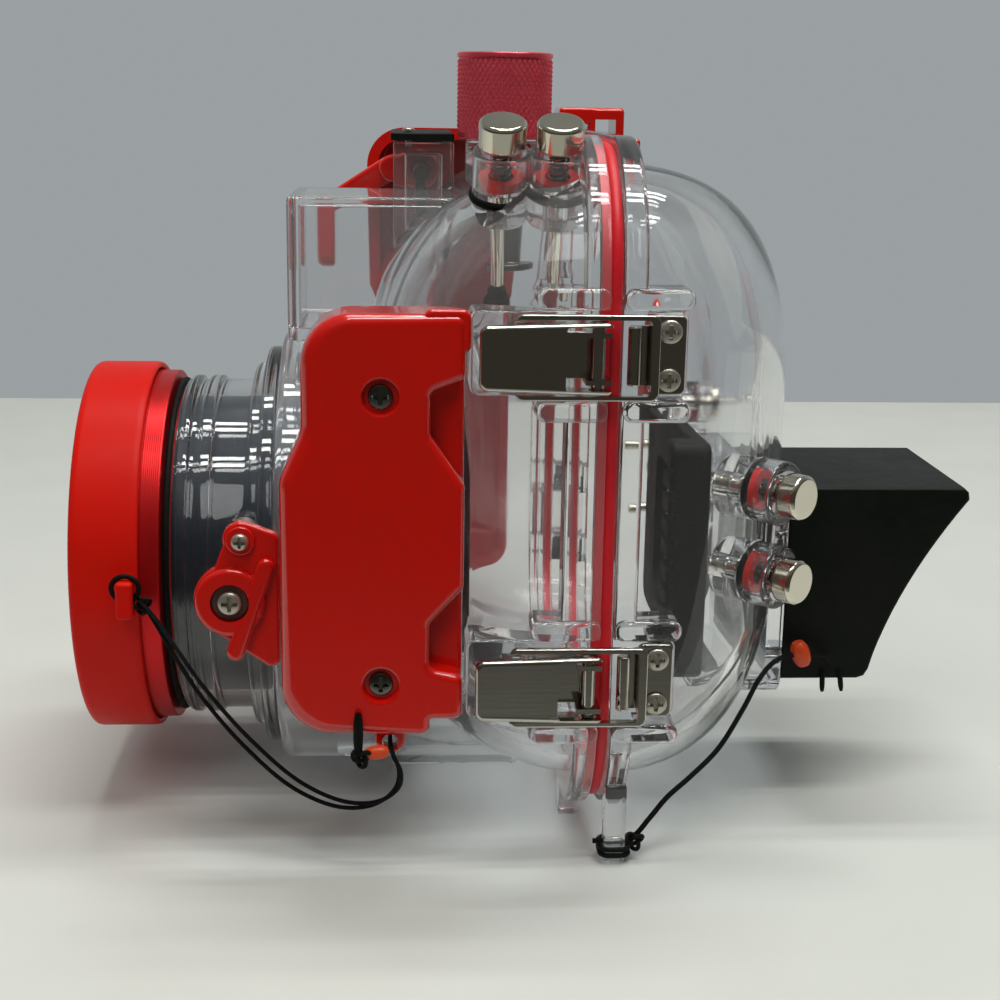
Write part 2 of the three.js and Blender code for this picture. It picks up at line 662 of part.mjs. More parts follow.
function knuckleSpans(side, height) {
  const half = hinge.middle / 2;
  if (side > 0) {
    return [[height - half, height + half]];
  }
  const start = half + gap.running;
  return [[height + start, height + start + hinge.outer], [height - start - hinge.outer, height - start]];
}

function knuckles(side) {
  const pieces = [];
  for (const height of hinge.heights) {
    for (const [low, high] of knuckleSpans(side, height)) {
      pieces.push(rod(hinge.knuckleRadius, low, high, facets.medium, hingeAcross, 0));
      const reach = -(shell.far + flange.rim) + gap.root;
      const [start, end] = [flange.face, flange.face + flange.thickness - gap.seat];
      const lugPiece = side > 0
        ? block(hingeAcross, reach, -end, -start, low, high)
        : block(hingeAcross, reach, start, end, low, high);
      pieces.push(lugPiece);
    }
  }
  return pieces;
}

function hingeBore() {
  const [high, low] = hinge.heights;
  const reach = hinge.middle + hinge.outer + gap.overrun;
  const radius = hinge.pinRadius + gap.running;
  return rod(radius, low - reach, high + reach, facets.medium, hingeAcross, 0);
}

// Fins under one flange
function fins(side, places) {
  const [start, end] = [flange.face, flange.face + flange.thickness];
  return places.map((across) => {
    const [x0, x1] = [across - feet.finWidth / 2, across + feet.finWidth / 2];
    const [y0, y1] = side > 0 ? [-end, -start] : [start, end];
    return block(x0, x1, y0, y1, -feet.ground, -feet.finTop);
  });
}

// Push controls

// Boss that stands on the wall, and the bores cut in it, in the control's own frame
function buttonBoss(size) {
  return spun([
    [0, -size.root], [size.bossRadius, -size.root], [size.bossRadius, size.bossTall - gap.seat],
    [size.bossRadius - gap.seat, size.bossTall], [0, size.bossTall],
  ], facets.boss);
}

function buttonFloor(size) {
  return size.bossTall - size.counterbore;
}

function buttonBores(size, reach) {
  const wide = size.capRadius + gap.running;
  return join(
    rod(wide, buttonFloor(size), size.bossTall + gap.overrun, facets.boss),
    rod(size.shaft + gap.running, -reach, size.bossTall, facets.small),
  );
}

// Metal cap on its shaft, with the clip that stops it inside the case
function plunger(size, reach, tip = 0) {
  const foot = size.bossTall + gap.seat;
  const top = foot + size.capTall;
  const bevel = size.capTall * plungerShares.bevel;
  const clipTop = -size.root - gap.seat;
  return spun([
    [0, -reach + tip], [size.shaft, -reach + tip], [size.shaft, clipTop - size.clipTall],
    [size.clip, clipTop - size.clipTall], [size.clip, clipTop], [size.shaft, clipTop],
    [size.shaft, foot], [size.capRadius, foot], [size.capRadius, top - bevel],
    [size.capRadius - bevel, top], [0, top],
  ], facets.boss);
}

const plungerShares = { bevel: 0.08 };

// Coil spring between the boss floor and the cap
function coilSpring(size) {
  const low = buttonFloor(size) + gap.seat + spring.wire / 2;
  const high = size.bossTall - spring.wire / 2;
  const radius = THREE.MathUtils.lerp(size.shaft, size.capRadius, spring.coil);
  const turns = Math.floor((high - low) / (spring.wire + spring.clear));
  const count = turns * facets.springSteps;
  return Array.from({ length: count + 1 }, (_, i) => {
    const angle = 2 * Math.PI * (i / facets.springSteps);
    const height = THREE.MathUtils.lerp(low, high, i / count);
    return new THREE.Vector3(radius * Math.cos(angle), radius * Math.sin(angle), height);
  });
}

// Least distance between the turns of a wire's path, less the wire
function leastGap(path, thickness) {
  const apart = facets.springSteps / 2;
  const gaps = path.flatMap((a, i) => path.slice(i + apart).map((b) => a.distanceTo(b) - thickness));
  return Math.min(...gaps);
}

// Round wire swept through the points of a path
function wire(path, radius, sides = facets.springSides) {
  const positions = [];
  const across = new THREE.Vector3(1, 0, 0);
  path.forEach((point, i) => {
    const before = path[Math.max(i - 1, 0)];
    const after = path[Math.min(i + 1, path.length - 1)];
    const along = after.clone().sub(before).normalize();
    across.addScaledVector(along, -across.dot(along)).normalize();
    const side = along.clone().cross(across);
    for (let k = 0; k < sides; k += 1) {
      const angle = 2 * Math.PI * (k / sides);
      const spot = point.clone();
      spot.addScaledVector(across, radius * Math.cos(angle)).addScaledVector(side, radius * Math.sin(angle));
      positions.push(spot.x, spot.y, spot.z);
    }
  });
  const index = [];
  for (let i = 0; i + 1 < path.length; i += 1) {
    for (let k = 0; k < sides; k += 1) {
      const next = (k + 1) % sides;
      const [a, b] = [i * sides + k, i * sides + next];
      index.push(a, b, b + sides, a, b + sides, a + sides);
    }
  }
  const last = (path.length - 1) * sides;
  for (let k = 1; k + 1 < sides; k += 1) {
    index.push(0, k + 1, k);
    index.push(last, last + k, last + k + 1);
  }
  const geometry = new THREE.BufferGeometry();
  geometry.setAttribute('position', new THREE.Float32BufferAttribute(positions, 3));
  geometry.setIndex(index);
  return geometry;
}

// Frames of the push controls: local z points out of the case
function outwardFrame(origin, direction, upright) {
  const z = direction.clone().normalize();
  const x = upright.clone().cross(z).normalize();
  const y = z.clone().cross(x);
  return new THREE.Matrix4().makeBasis(x, y, z).setPosition(origin);
}

function topButtonFrame(along) {
  const lean = THREE.MathUtils.degToRad(topButtons.leanDegrees);
  const origin = new THREE.Vector3(topButtons.across, along, topButtons.height);
  return outwardFrame(origin, new THREE.Vector3(Math.sin(lean), 0, Math.cos(lean)), worldY);
}

function cornerButtonFrame(height) {
  const turn = THREE.MathUtils.degToRad(cornerButtons.turnDegrees);
  const origin = new THREE.Vector3(cornerButtons.across, cornerButtons.along, height);
  return outwardFrame(origin, new THREE.Vector3(Math.cos(turn), Math.sin(turn), 0), worldZ);
}

function rearButtonFrame(name) {
  const steps = { up: [0, 1], down: [0, -1], left: [1, 0], right: [-1, 0] };
  const [across, up] = steps[name];
  const origin = new THREE.Vector3(
    rearButtons.across + across * rearButtons.spread, rearButtons.along,
    rearButtons.height + up * rearButtons.spread,
  );
  return outwardFrame(origin, worldY, worldZ);
}

const topControls = topButtons.alongs.map((along, i) => ({
  name: `top_button_${topButtons.names[i]}`, frame: topButtonFrame(along), size: topButtons,
  reach: topButtons.reaches[i], tip: i === 0 ? topButtons.tipTall : 0,
}));
const cornerControls = cornerButtons.heights.map((height, i) => ({
  name: `corner_button_${cornerButtons.names[i]}`, frame: cornerButtonFrame(height), size: cornerButtons,
  reach: cornerButtons.reach, tip: 0,
}));
const rearControls = rearButtons.names.map((name) => ({
  name: `rear_button_${name}`, frame: rearButtonFrame(name), size: rearButtons,
  reach: rearButtons.reach, tip: 0,
}));
const sprungControls = [...topControls, ...cornerControls];

function addControl({ name, frame, size, reach, tip }) {
  const group = new THREE.Group();
  group.applyMatrix4(frame);
  housing.add(group);
  addPiece(name, plunger(size, reach, tip), look.nickel, group);
  if (tip > 0) {
    const [foot, top] = [-reach, -reach + tip];
    const collar = size.tipRadius * tipShares.collar;
    const cup = spun([
      [0, foot], [collar, foot], [size.tipRadius, foot + tip * tipShares.bevel], [size.tipRadius, top],
      [collar, top + tip * tipShares.bevel], [0, top + tip * tipShares.bevel],
    ], facets.small);
    const socket = rod(size.shaft + gap.seat, top - gap.seat, gap.overrun);
    addPiece(`${name}_tip`, cut(cup, socket), look.black, group);
  }
}

const tipShares = { collar: 0.78, bevel: 0.2 };

function addSpring({ name, frame, size }) {
  const path = coilSpring(size);
  console.log(`${name}_spring: least gap between turns ${leastGap(path, spring.wire).toFixed(2)} mm`);
  addInFrame(`${name}_spring`, wire(path, spring.wire / 2), look.steel, frame);
}

// Front case

function frontCase() {
  const bosses = topControls.map(({ frame, size }) => place(buttonBoss(size), frame));
  const blockShell = block(
    shutter.blockFar, shutter.blockNear, shutter.blockFront, shutter.blockBack,
    shutter.blockFoot, shutter.blockTop,
  );
  const turret = place(rod(port.turretRadius, port.turretBack, port.turretFront, facets.large), forward);
  const posts = cover.screws.map((height, i) => place(
    rod(cover.postRadius, cover.postRoots[i], cover.cupFoot - gap.seat, facets.medium,
      cover.screwAlong, height),
    nearSide,
  ));
  const tripod = block(
    feet.blockCentre - feet.blockWidth / 2, feet.blockCentre + feet.blockWidth / 2,
    -feet.blockFront, -feet.blockBack, -feet.ground, -feet.blockTop,
  );
  const outer = join(
    dome(1, 0, flange.face), flangePlate(1), turret, ...posts, tripod, blockShell,
    rod(knob.bossRadius, knob.bossRoot, knob.bossTop, facets.medium, knob.across, knob.along),
    ...latchSeats(1), latchRib(), ...knuckles(1), ...fins(1, feet.frontFins),
    ...bosses,
  );
  const hollow = block(
    shutter.blockFar + shutter.blockWall, shutter.blockNear - shutter.blockWall,
    shutter.blockFront + shutter.blockWall, shutter.blockBack - shutter.blockWall,
    shutter.hollowFoot, shutter.blockTop - shutter.blockWall,
  );
  const shaftBore = place(
    rod(shutter.shaftRadius + gap.running, -shutter.fingerAcross, -shutter.hubFar, facets.small,
      -shutter.pivotAlong, shutter.pivotHeight),
    farSide,
  );
  const seatStart = port.turretFront - port.seatDepth;
  const groove = sealTongue(gap.seat, seal.tongueDepth + gap.seat);
  return cut(
    outer,
    cut(dome(1, shell.wall, 0), ...bosses),
    place(rod(port.boreRadius, port.boreBack, port.turretFront + gap.overrun, facets.large), forward),
    place(rod(port.seatRadius, seatStart, port.turretFront + gap.overrun, facets.large), forward),
    hollow, shaftBore, groove, hingeBore(), ...latchNotches(),
    rod(knob.bore, knob.shaftFoot, knob.bossTop + gap.overrun, facets.small, knob.across, knob.along),
    ...topControls.map(({ frame, size, reach }) => place(buttonBores(size, reach), frame)),
    ...cover.screws.map((height) => place(
      rod(cover.shank + gap.seat, cover.outer - cover.recessDepth - cover.shankDepth, cover.outer,
        facets.small, cover.screwAlong, height),
      nearSide,
    )),
    rod(feet.socketRadius, -feet.ground - gap.overrun, -feet.ground + feet.socketDepth, facets.medium,
      feet.blockCentre, -(feet.blockFront + feet.blockBack) / 2),
    lidScrewBore(),
  );
}

function lidScrewBore() {
  return rod(
    shutter.lidScrewShank + gap.seat, shutter.blockTop - shutter.lidScrewBite - gap.seat,
    shutter.blockTop + gap.overrun, facets.small, shutter.lidScrewAcross, shutter.lidScrewAlong,
  );
}

// Ring that keys the seal into the front flange
function sealTongue(clear, depth) {
  const start = seal.edge + seal.tongueInset - clear;
  const end = seal.edge + seal.tongueInset + seal.tongueWidth + clear;
  const [low, high] = [seal.half - gap.overrun / 2, flange.face + depth];
  return place(cut(
    plate(flangeOutline(start), low, high),
    plate(flangeOutline(end), low - gap.overrun, high + gap.overrun),
  ), forward);
}

function mainSeal() {
  const face = cut(
    plate(flangeOutline(seal.edge), -seal.half, seal.half),
    plate(flangeOutline(seal.edge + seal.width), -seal.half - gap.overrun, seal.half + gap.overrun),
  );
  return join(place(face, forward), sealTongue(0, seal.tongueDepth));
}

// Rear door

function screenOutline(edge) {
  return roundedRectangle(
    screen.far + edge, screen.near - edge, screen.foot + edge, screen.top - edge, screen.corner - edge / 2,
  );
}

function rearDoor() {
  const controls = [...cornerControls, ...rearControls];
  const bosses = controls.map(({ frame, size }) => place(buttonBoss(size), frame));
  const windowBlock = place(plate(screenOutline(0), -screen.outside, -screen.inside), forward);
  const outer = join(
    dome(-1, 0, flange.face), flangePlate(-1), windowBlock,
    ...latchSeats(-1), ...knuckles(-1), ...fins(-1, feet.doorFins),
    ...bosses,
  );
  const innerWell = place(
    plate(screenOutline(screen.wall), -screen.outside + shell.wall, -screen.inside + gap.overrun), forward,
  );
  const cavity = cut(dome(-1, shell.wall, 0), windowBlock, ...bosses);
  return cut(
    outer, cavity, innerWell, hingeBore(), cordHole(), ...latchNotches(),
    ...controls.map(({ frame, size, reach }) => place(buttonBores(size, reach), frame)),
    ...keeperScrews().map(({ across, along, height }) => place(
      rod(latch.screwShank + gap.seat, across - latch.screwDepth - gap.seat, across, facets.small,
        along, height),
      nearSide,
    )),
  );
}

// Hole for the hood lanyard in the near fin
function cordHole() {
  const [start, end] = [-flange.face - gap.overrun, flange.face + flange.thickness + gap.overrun];
  return place(rod(feet.cordHole, -end, -start, facets.small, feet.doorFins[0], -feet.cordHeight), forward);
}

// Lens port

function portBarrel() {
  const seatStart = port.turretFront - port.seatDepth + gap.seat;
  const collarFront = port.collarBack + port.collarDepth;
  const tube = turned([
    [port.tubeBore, seatStart], [port.tubeRadius, seatStart], [port.tubeRadius, port.collarBack],
    [port.collarRadius, port.collarBack], [port.collarRadius, collarFront - port.collarStep],
    [port.stepRadius, collarFront - port.collarStep], [port.stepRadius, collarFront],
    [port.tubeRadius, collarFront], [port.tubeRadius, port.tubeFront], [port.tubeBore, port.tubeFront],
    [port.tubeBore, seatStart],
  ]);
  const [root, end] = [port.tubeBore + gap.root / 2, bracket.inner - gap.seat];
  const posts = [
    rod(bracket.postRadius, root, end, facets.medium, bracket.eyeAlong, bracket.eyeHeight),
    rod(bracket.smallPost, root, end, facets.small, bracket.smallAlong, bracket.smallHeight),
  ].map((post) => place(post, nearSide));
  const bores = [
    rod(bracket.shank + gap.seat, bracket.inner - bracket.shankDepth, end + gap.overrun, facets.small,
      bracket.eyeAlong, bracket.eyeHeight),
    rod(bracket.smallShank + gap.seat, bracket.inner - bracket.shankDepth, end + gap.overrun, facets.small,
      bracket.smallAlong, bracket.smallHeight),
  ].map((bore) => place(bore, nearSide));
  return cut(join(tube, ...posts), ...bores);
}

function portLiner() {
  return turned(ringProfile(port.linerBore, port.linerRadius, port.linerBack, port.tubeFront - gap.seat));
}

function portRing() {
  const lipBack = port.ringFront - port.lipDepth;
  const spigotBack = port.tubeFront + gap.seat;
  return turned([
    [port.ringLip, lipBack], [port.glassSeat, lipBack], [port.glassSeat, spigotBack],
    [port.spigot, spigotBack], [port.spigot, port.ringBack],
    [port.ringRadius, port.ringBack], [port.ringRadius, port.ringFront - gap.seat],
    [port.ringRadius - gap.seat, port.ringFront], [port.ringLip + port.lipDepth / 2, port.ringFront],
    [port.ringLip, lipBack],
  ]);
}

function portWindow() {
  const front = port.ringFront - port.lipDepth - gap.seat;
  const radius = port.glassSeat - gap.seat;
  const back = front - port.glassDepth;
  return turned([[0, back], [radius, back], [radius, front], [0, front]]);
}

function portSeal() {
  const [back, front] = [port.tubeFront + gap.seat, port.ringBack - gap.seat];
  const middleDepth = (back + front) / 2;
  const crown = (front - back) / 2;
  return turned([
    [port.sealBore, back], [port.sealRadius - crown, back], [port.sealRadius, middleDepth],
    [port.sealRadius - crown, front], [port.sealBore, front], [port.sealBore, back],
  ]);
}

function portCap() {
  const bore = port.ringRadius + gap.seat;
  const shoulder = port.ringFront + gap.seat;
  const body = turned([
    [0, cap.front - cap.web], [cap.shoulder, cap.front - cap.web], [cap.shoulder, shoulder], [bore, shoulder],
    [bore, cap.back], [cap.radius - cap.lip, cap.back], [cap.radius, cap.back + cap.lip],
    [cap.radius, cap.front - cap.round], [cap.radius - cap.round / 3, cap.front - cap.round / 3],
    [cap.radius - cap.round, cap.front], [0, cap.front],
  ]);
  const lugBack = -cap.back - cap.lugBack;
  const [start, end] = [cap.radius - cap.wall / 2, cap.radius + cap.lugReach];
  const lugPiece = block(start, end, lugBack - cap.lugWidth, lugBack, -cap.lugHeight / 2, cap.lugHeight / 2);
  const hole = place(
    rod(cap.lugHole, cap.back - gap.overrun, cap.front, facets.small, (cap.radius + end) / 2, 0), forward,
  );
  return cut(join(body, lugPiece), hole);
}

// Red cover over the near side

// Arc between two directions, for outlines
function arc(x, y, radius, from, to, steps = facets.corner) {
  return Array.from({ length: steps + 1 }, (_, i) => {
    const angle = THREE.MathUtils.degToRad(from + (to - from) * (i / steps));
    return new THREE.Vector2(x + radius * Math.cos(angle), y + radius * Math.sin(angle));
  });
}

// Outline of the side cover without its scallops, counter-clockwise from its lower rear corner
function coverOutline() {
  return [
    new THREE.Vector2(cover.back, cover.below + cover.step), new THREE.Vector2(cover.back, cover.above),
    ...arc(cover.shoulder + cover.cornerTop, cover.above - cover.cornerTop, cover.cornerTop, 90, 180),
    new THREE.Vector2(cover.shoulder, cover.waistTop), new THREE.Vector2(cover.front, cover.waistLow),
    ...arc(cover.front + cover.cornerLow, cover.below + cover.cornerLow, cover.cornerLow, 180, 270),
    new THREE.Vector2(cover.stepAt, cover.below),
    new THREE.Vector2(cover.stepAt + cover.step / 2, cover.below + cover.step),
  ];
}

// Scallop cutters, flared at the outer face so that the edge left behind is round
function scallops(offset, flare) {
  return cover.scallops.map(([foot, top]) => {
    const outline = roundedRectangle(
      cover.back - cover.scallopDepth - offset, cover.back + gap.overrun + cover.scallopRound,
      foot - offset, top + offset, cover.scallopRound + offset,
    );
    return flare > 0
      ? flaredPlate(outline, cover.inner - gap.overrun, cover.outer, flare)
      : plate(outline, cover.inner - gap.overrun, cover.outer + gap.overrun);
  });
}

function sideCover() {
  const outline = coverOutline();
  const flare = cover.round / 2;
  const outer = cut(
    roundedPlate(outline, cover.inner, cover.outer, cover.round),
    ...scallops(0, flare),
  );
  const inner = cut(roundedPlate(
    inset(outline, cover.wall), cover.inner - gap.overrun, cover.outer - cover.wall,
    cover.round - cover.wall, 2,
  ), ...scallops(cover.wall, 0));
  const eyeHeight = cover.below - cover.eyeDrop / 2;
  const eyeStart = cover.outer - cover.round - cover.eyeThick;
  const eye = block(
    cover.eyeAlong - cover.eyeRadius, cover.eyeAlong + cover.eyeRadius, eyeHeight - cover.eyeRadius,
    cover.below + cover.wall / 2, eyeStart, eyeStart + cover.eyeThick,
  );
  const eyeHole = rod(
    cover.eyeHole, eyeStart - gap.overrun, eyeStart + cover.eyeThick + gap.overrun, facets.small,
    cover.eyeAlong, eyeHeight - cover.eyeHole / 2,
  );
  const cups = cover.screws.map((height) => rod(
    cover.recess + cover.wall / 2, cover.cupFoot, cover.outer - cover.wall / 2, facets.medium,
    cover.screwAlong, height,
  ));
  const recesses = cover.screws.map((height) => rod(
    cover.recess, cover.outer - cover.recessDepth, cover.outer + gap.overrun, facets.medium,
    cover.screwAlong, height,
  ));
  const holes = cover.screws.map((height) => rod(
    cover.shank + gap.seat, cover.inner, cover.outer + gap.overrun, facets.small, cover.screwAlong, height,
  ));
  return place(cut(join(cut(outer, inner), eye, ...cups), eyeHole, ...recesses, ...holes), nearSide);
}

function coverScrews() {
  return cover.screws.map((height) => {
    const frame = nearSide.clone().setPosition(
      cover.outer - cover.recessDepth + gap.seat + cover.screwTall, cover.screwAlong, height,
    );
    return { frame, height };
  });
}

// Bracket plate with its raised eye

function hull(circles, steps = facets.small) {
  const points = circles.flatMap(([x, y, radius]) => arc(x, y, radius, 0, 360, steps).slice(0, steps));
  const sorted = [...points].sort((a, b) => a.x - b.x || a.y - b.y);
  const turn = (o, a, b) => (a.x - o.x) * (b.y - o.y) - (a.y - o.y) * (b.x - o.x);
  const half = (list) => list.reduce((chain, point) => {
    while (chain.length > 1 && turn(chain[chain.length - 2], chain[chain.length - 1], point) <= 0) {
      chain.pop();
    }
    chain.push(point);
    return chain;
  }, []);
  const lower = half(sorted);
  const upper = half([...sorted].reverse());
  return [...lower.slice(0, -1), ...upper.slice(0, -1)];
}

function sideBracket() {
  const [low, high] = [bracket.inner, bracket.inner + bracket.thick];
  const corner = bracket.smallRadius / 2;
  const base = hull([
    [bracket.eyeAlong, bracket.eyeHeight, bracket.eyeRadius],
    [bracket.smallAlong, bracket.smallHeight, bracket.smallRadius],
    [bracket.tailAlong - corner, bracket.tailHigh - corner, corner],
    [bracket.tailAlong - corner, bracket.tailLow + corner, corner],
  ]);
  const raised = hull([
    [bracket.eyeAlong, bracket.eyeHeight, bracket.eyeRadius - gap.seat],
    [bracket.stepEdge, bracket.eyeHeight - bracket.eyeRadius / 2, corner],
  ]);
  const body = join(
    plate(base, low, high),
    roundedPlate(raised, high - gap.seat, high + bracket.raise, bracket.raise / 2, 2),
    rod(bracket.smallRadius - gap.seat, high - gap.seat, high + bracket.raise / 2, facets.small,
      bracket.smallAlong, bracket.smallHeight),
  );
  return place(cut(
    body,
    rod(bracket.washer + gap.seat, high, high + bracket.raise + gap.overrun, facets.medium,
      bracket.eyeAlong, bracket.eyeHeight),
    rod(bracket.shank + gap.seat, low - gap.overrun, high + gap.overrun, facets.small,
      bracket.eyeAlong, bracket.eyeHeight),
    rod(bracket.smallShank + gap.seat, low - gap.overrun, high + bracket.raise + gap.overrun, facets.small,
      bracket.smallAlong, bracket.smallHeight),
  ), nearSide);
}

// Latches, in a frame with x towards the door, y up and z outwards from the lens axis

function latchBase() {
  const half = latch.plateTall / 2;
  const foot = latch.padOut + gap.seat;
  const plateTop = foot + latch.plateThick;
  const ears = [-1, 1].map((way) => {
    const [low, high] = way > 0
      ? [latch.earGap / 2, latch.earGap / 2 + latch.earTall]
      : [-latch.earGap / 2 - latch.earTall, -latch.earGap / 2];
    const ear = block(
      latch.pivotAlong - latch.earLong / 2, latch.pivotAlong + latch.earLong / 2, low, high,
      foot, latch.pivotOut + latch.pinRadius + gap.seat,
    );
    return ear;
  });
  const pinHalf = latch.leverTall / 2 - gap.running;
  const pin = rod(latch.pinRadius, -pinHalf, pinHalf, facets.small)
    .rotateX(Math.PI / 2).translate(latch.pivotAlong, 0, latch.pivotOut);
  return join(block(latch.plateStart, latch.plateEnd, -half, half, foot, plateTop), ...ears, pin);
}

function crossRod(radius, half, along, out, sides = facets.small) {
  return rod(radius, -half, half, sides).rotateX(Math.PI / 2).translate(along, 0, out);
}

function latchLever() {
  const halfRoot = latch.leverTall / 2;
  const halfTip = latch.leverTip / 2;
  const tipLong = latch.leverTall * leverShares.tip;
  const skirt = [
    new THREE.Vector2(latch.leverStart, -halfTip), new THREE.Vector2(latch.cheekEnd, -halfRoot),
    new THREE.Vector2(latch.cheekEnd, halfRoot), new THREE.Vector2(latch.leverStart, halfTip),
  ];
  const outer = roundedPlate(skirt, latch.cheekIn, latch.leverOut, latch.leverThick * leverShares.round, 2);
  const hollow = block(
    latch.leverStart + tipLong, latch.cheekEnd + gap.overrun, -halfRoot + latch.cheekThick,
    halfRoot - latch.cheekThick, latch.cheekIn - gap.overrun, latch.leverOut - latch.leverThick,
  );
  const underTip = block(
    latch.leverStart - gap.overrun, latch.leverStart + tipLong + gap.overrun, -halfRoot, halfRoot,
    latch.cheekIn - gap.overrun, latch.leverOut - latch.leverThick * leverShares.tipThick,
  );
  const window = block(
    latch.leverEnd, latch.cheekEnd + gap.overrun, -halfRoot + latch.cheekThick, halfRoot - latch.cheekThick,
    latch.leverOut - latch.leverThick - gap.overrun, latch.leverOut + gap.overrun,
  );
  return cut(
    outer, hollow, underTip, window,
    crossRod(latch.pinRadius + gap.running, halfRoot + gap.overrun, latch.pivotAlong, latch.pivotOut),
    crossRod(latch.bailPin + gap.running, halfRoot + gap.overrun, latch.bailPivot, latch.pivotOut),
  );
}

const leverShares = { tip: 0.22, tipThick: 1.5, round: 0.8 };

function latchBail() {
  const half = latch.bailTall / 2;
  const [low, high] = [latch.pivotOut - latch.bailWide / 2, latch.pivotOut + latch.bailWide / 2];
  const start = latch.bailPivot - latch.bailWide;
  const frame = plate(roundedRectangle(start, latch.bailEnd, -half, half, latch.bailWide, 2), low, high);
  const opening = plate(roundedRectangle(
    start - gap.overrun, latch.bailEnd - latch.bailWide, -half + latch.bailThick, half - latch.bailThick,
    latch.bailThick, 2,
  ), low - gap.overrun, high + gap.overrun);
  const pin = crossRod(latch.bailPin, half - latch.bailThick / 2, latch.bailPivot, latch.pivotOut);
  return join(cut(frame, opening), pin);
}

function latchKeeper() {
  const half = latch.keeperTall / 2;
  const foot = latch.padOut + gap.seat;
  const plateTop = foot + latch.keeperThick;
  const hookTop = latch.pivotOut - latch.bailWide / 2 - gap.running;
  const hookCentre = hookTop - latch.hookRadius;
  const hook = crossRod(latch.hookRadius, latch.hookTall / 2, latch.hookAlong, hookCentre);
  const hookHalf = latch.hookTall / 2;
  const neck = block(
    latch.hookAlong - latch.hookRadius / 2, latch.hookAlong + latch.hookRadius / 2, -hookHalf, hookHalf,
    foot, hookCentre,
  );
  const tongue = block(
    latch.hookAlong - latch.hookRadius / 2, latch.keeperStart + gap.root, -hookHalf, hookHalf, foot, plateTop,
  );
  const outline = roundedRectangle(latch.keeperStart, latch.keeperEnd, -half, half, latch.keeperThick, 2);
  const body = join(plate(outline, foot, plateTop), tongue, neck, hook);
  const holes = [-1, 1].map((way) => rod(
    latch.screwShank + gap.seat, foot - gap.overrun, plateTop + gap.overrun, facets.small,
    latch.screwAlong, way * latch.screwSpread / 2,
  ));
  return cut(body, ...holes);
}

// Places of the keeper screws, [across] being the door pad's face
function keeperScrews() {
  return latch.heights.flatMap((centre, i) => [1, -1].map((way) => ({
    name: `${latchNames[i]}_keeper_screw_${way > 0 ? 'upper' : 'lower'}`,
    across: latch.padOut, along: latch.screwAlong, height: centre + way * latch.screwSpread / 2,
  })));
}

const latchNames = ['upper', 'lower'];

function addLatch(name, height) {
  const group = new THREE.Group();
  group.applyMatrix4(nearSide.clone().setPosition(0, 0, height));
  housing.add(group);
  addPiece(`${name}_latch_base`, latchBase(), look.steel, group);
  addPiece(`${name}_latch_lever`, latchLever(), look.steel, group);
  addPiece(`${name}_latch_bail`, latchBail(), look.steel, group);
  addPiece(`${name}_latch_keeper`, latchKeeper(), look.steel, group);
}

function addKeeperScrews() {
  const headFoot = gap.seat + latch.keeperThick + gap.seat;
  for (const { name, across, along, height } of keeperScrews()) {
    const group = new THREE.Group();
    group.applyMatrix4(nearSide.clone().setPosition(across + headFoot + latch.screwHeight, along, height));
    housing.add(group);
    const depth = headFoot + latch.screwHeight + latch.screwDepth - gap.seat;
    addPiece(name, screw(latch.screwRadius, latch.screwHeight, latch.screwShank, depth), look.steel, group);
  }
}

// Mode knob and its drive shaft

function modeKnob() {
  const edge = knob.chamfer;
  return shift(cut(
    spun([
      [0, knob.base], [knob.radius - edge, knob.base], [knob.radius, knob.base + edge],
      [knob.radius, knob.top - edge], [knob.radius - edge, knob.top], [0, knob.top],
    ], facets.large),
    rod(knob.shaftRadius + gap.seat, knob.base - gap.overrun, knob.base + knobSocket(), facets.small),
    rod(knob.recessRadius, knob.top - knob.recess, knob.top + gap.overrun),
  ), knob.across, knob.along, 0);
}

function knobSocket() {
  return (knob.top - knob.base) / 2;
}

function knobShaft() {
  const top = knob.base + knobSocket() - gap.seat;
  const wheelTop = knob.shaftFoot + knob.driveTall;
  const body = spun([
    [0, knob.shaftFoot], [knob.driveRadius, knob.shaftFoot], [knob.driveRadius, wheelTop],
    [knob.shaftRadius, wheelTop], [knob.shaftRadius, top], [0, top],
  ]);
  return shift(body, knob.across, knob.along, 0);
}

// Shutter lever and cross shaft, turning about a line across the case

const armShares = { elbow: 1.4, wrist: 0.7, finger: 0.9 };

function elbow() {
  const radius = shutter.armDeep / 2;
  const along = shutter.pivotAlong - shutter.hubRadius * armShares.elbow;
  return [along, shutter.pivotHeight + shutter.armRise - radius, radius];
}

function shutterLever() {
  const [near, far] = [shutter.hubNear, shutter.hubFar];
  const wrist = [
    (shutter.paddleFront + shutter.paddleBack) / 2, shutter.paddleTop - shutter.paddleRound,
    (shutter.armDeep / 2) * armShares.wrist,
  ];
  const hubOutline = hull([[shutter.pivotAlong, shutter.pivotHeight, shutter.hubRadius], elbow()]);
  const hub = place(plate(hubOutline, far, near), nearSide);
  const arm = place(plate(hull([elbow(), wrist]), far, far + shutter.armThick), nearSide);
  const paddleOutline = roundedRectangle(
    shutter.paddleFar, shutter.paddleNear, shutter.paddleFoot, shutter.paddleTop, shutter.paddleRound, 3,
  );
  const round = shutter.paddleRound / 2;
  const plateSolid = roundedPlate(paddleOutline, -shutter.paddleBack, -shutter.paddleFront, round, 2);
  const paddle = place(plateSolid, forward);
  const bore = place(
    rod(shutter.shaftRadius + gap.seat, far + gap.root, near + gap.overrun, facets.small,
      shutter.pivotAlong, shutter.pivotHeight),
    nearSide,
  );
  return cut(join(hub, arm, paddle), bore);
}

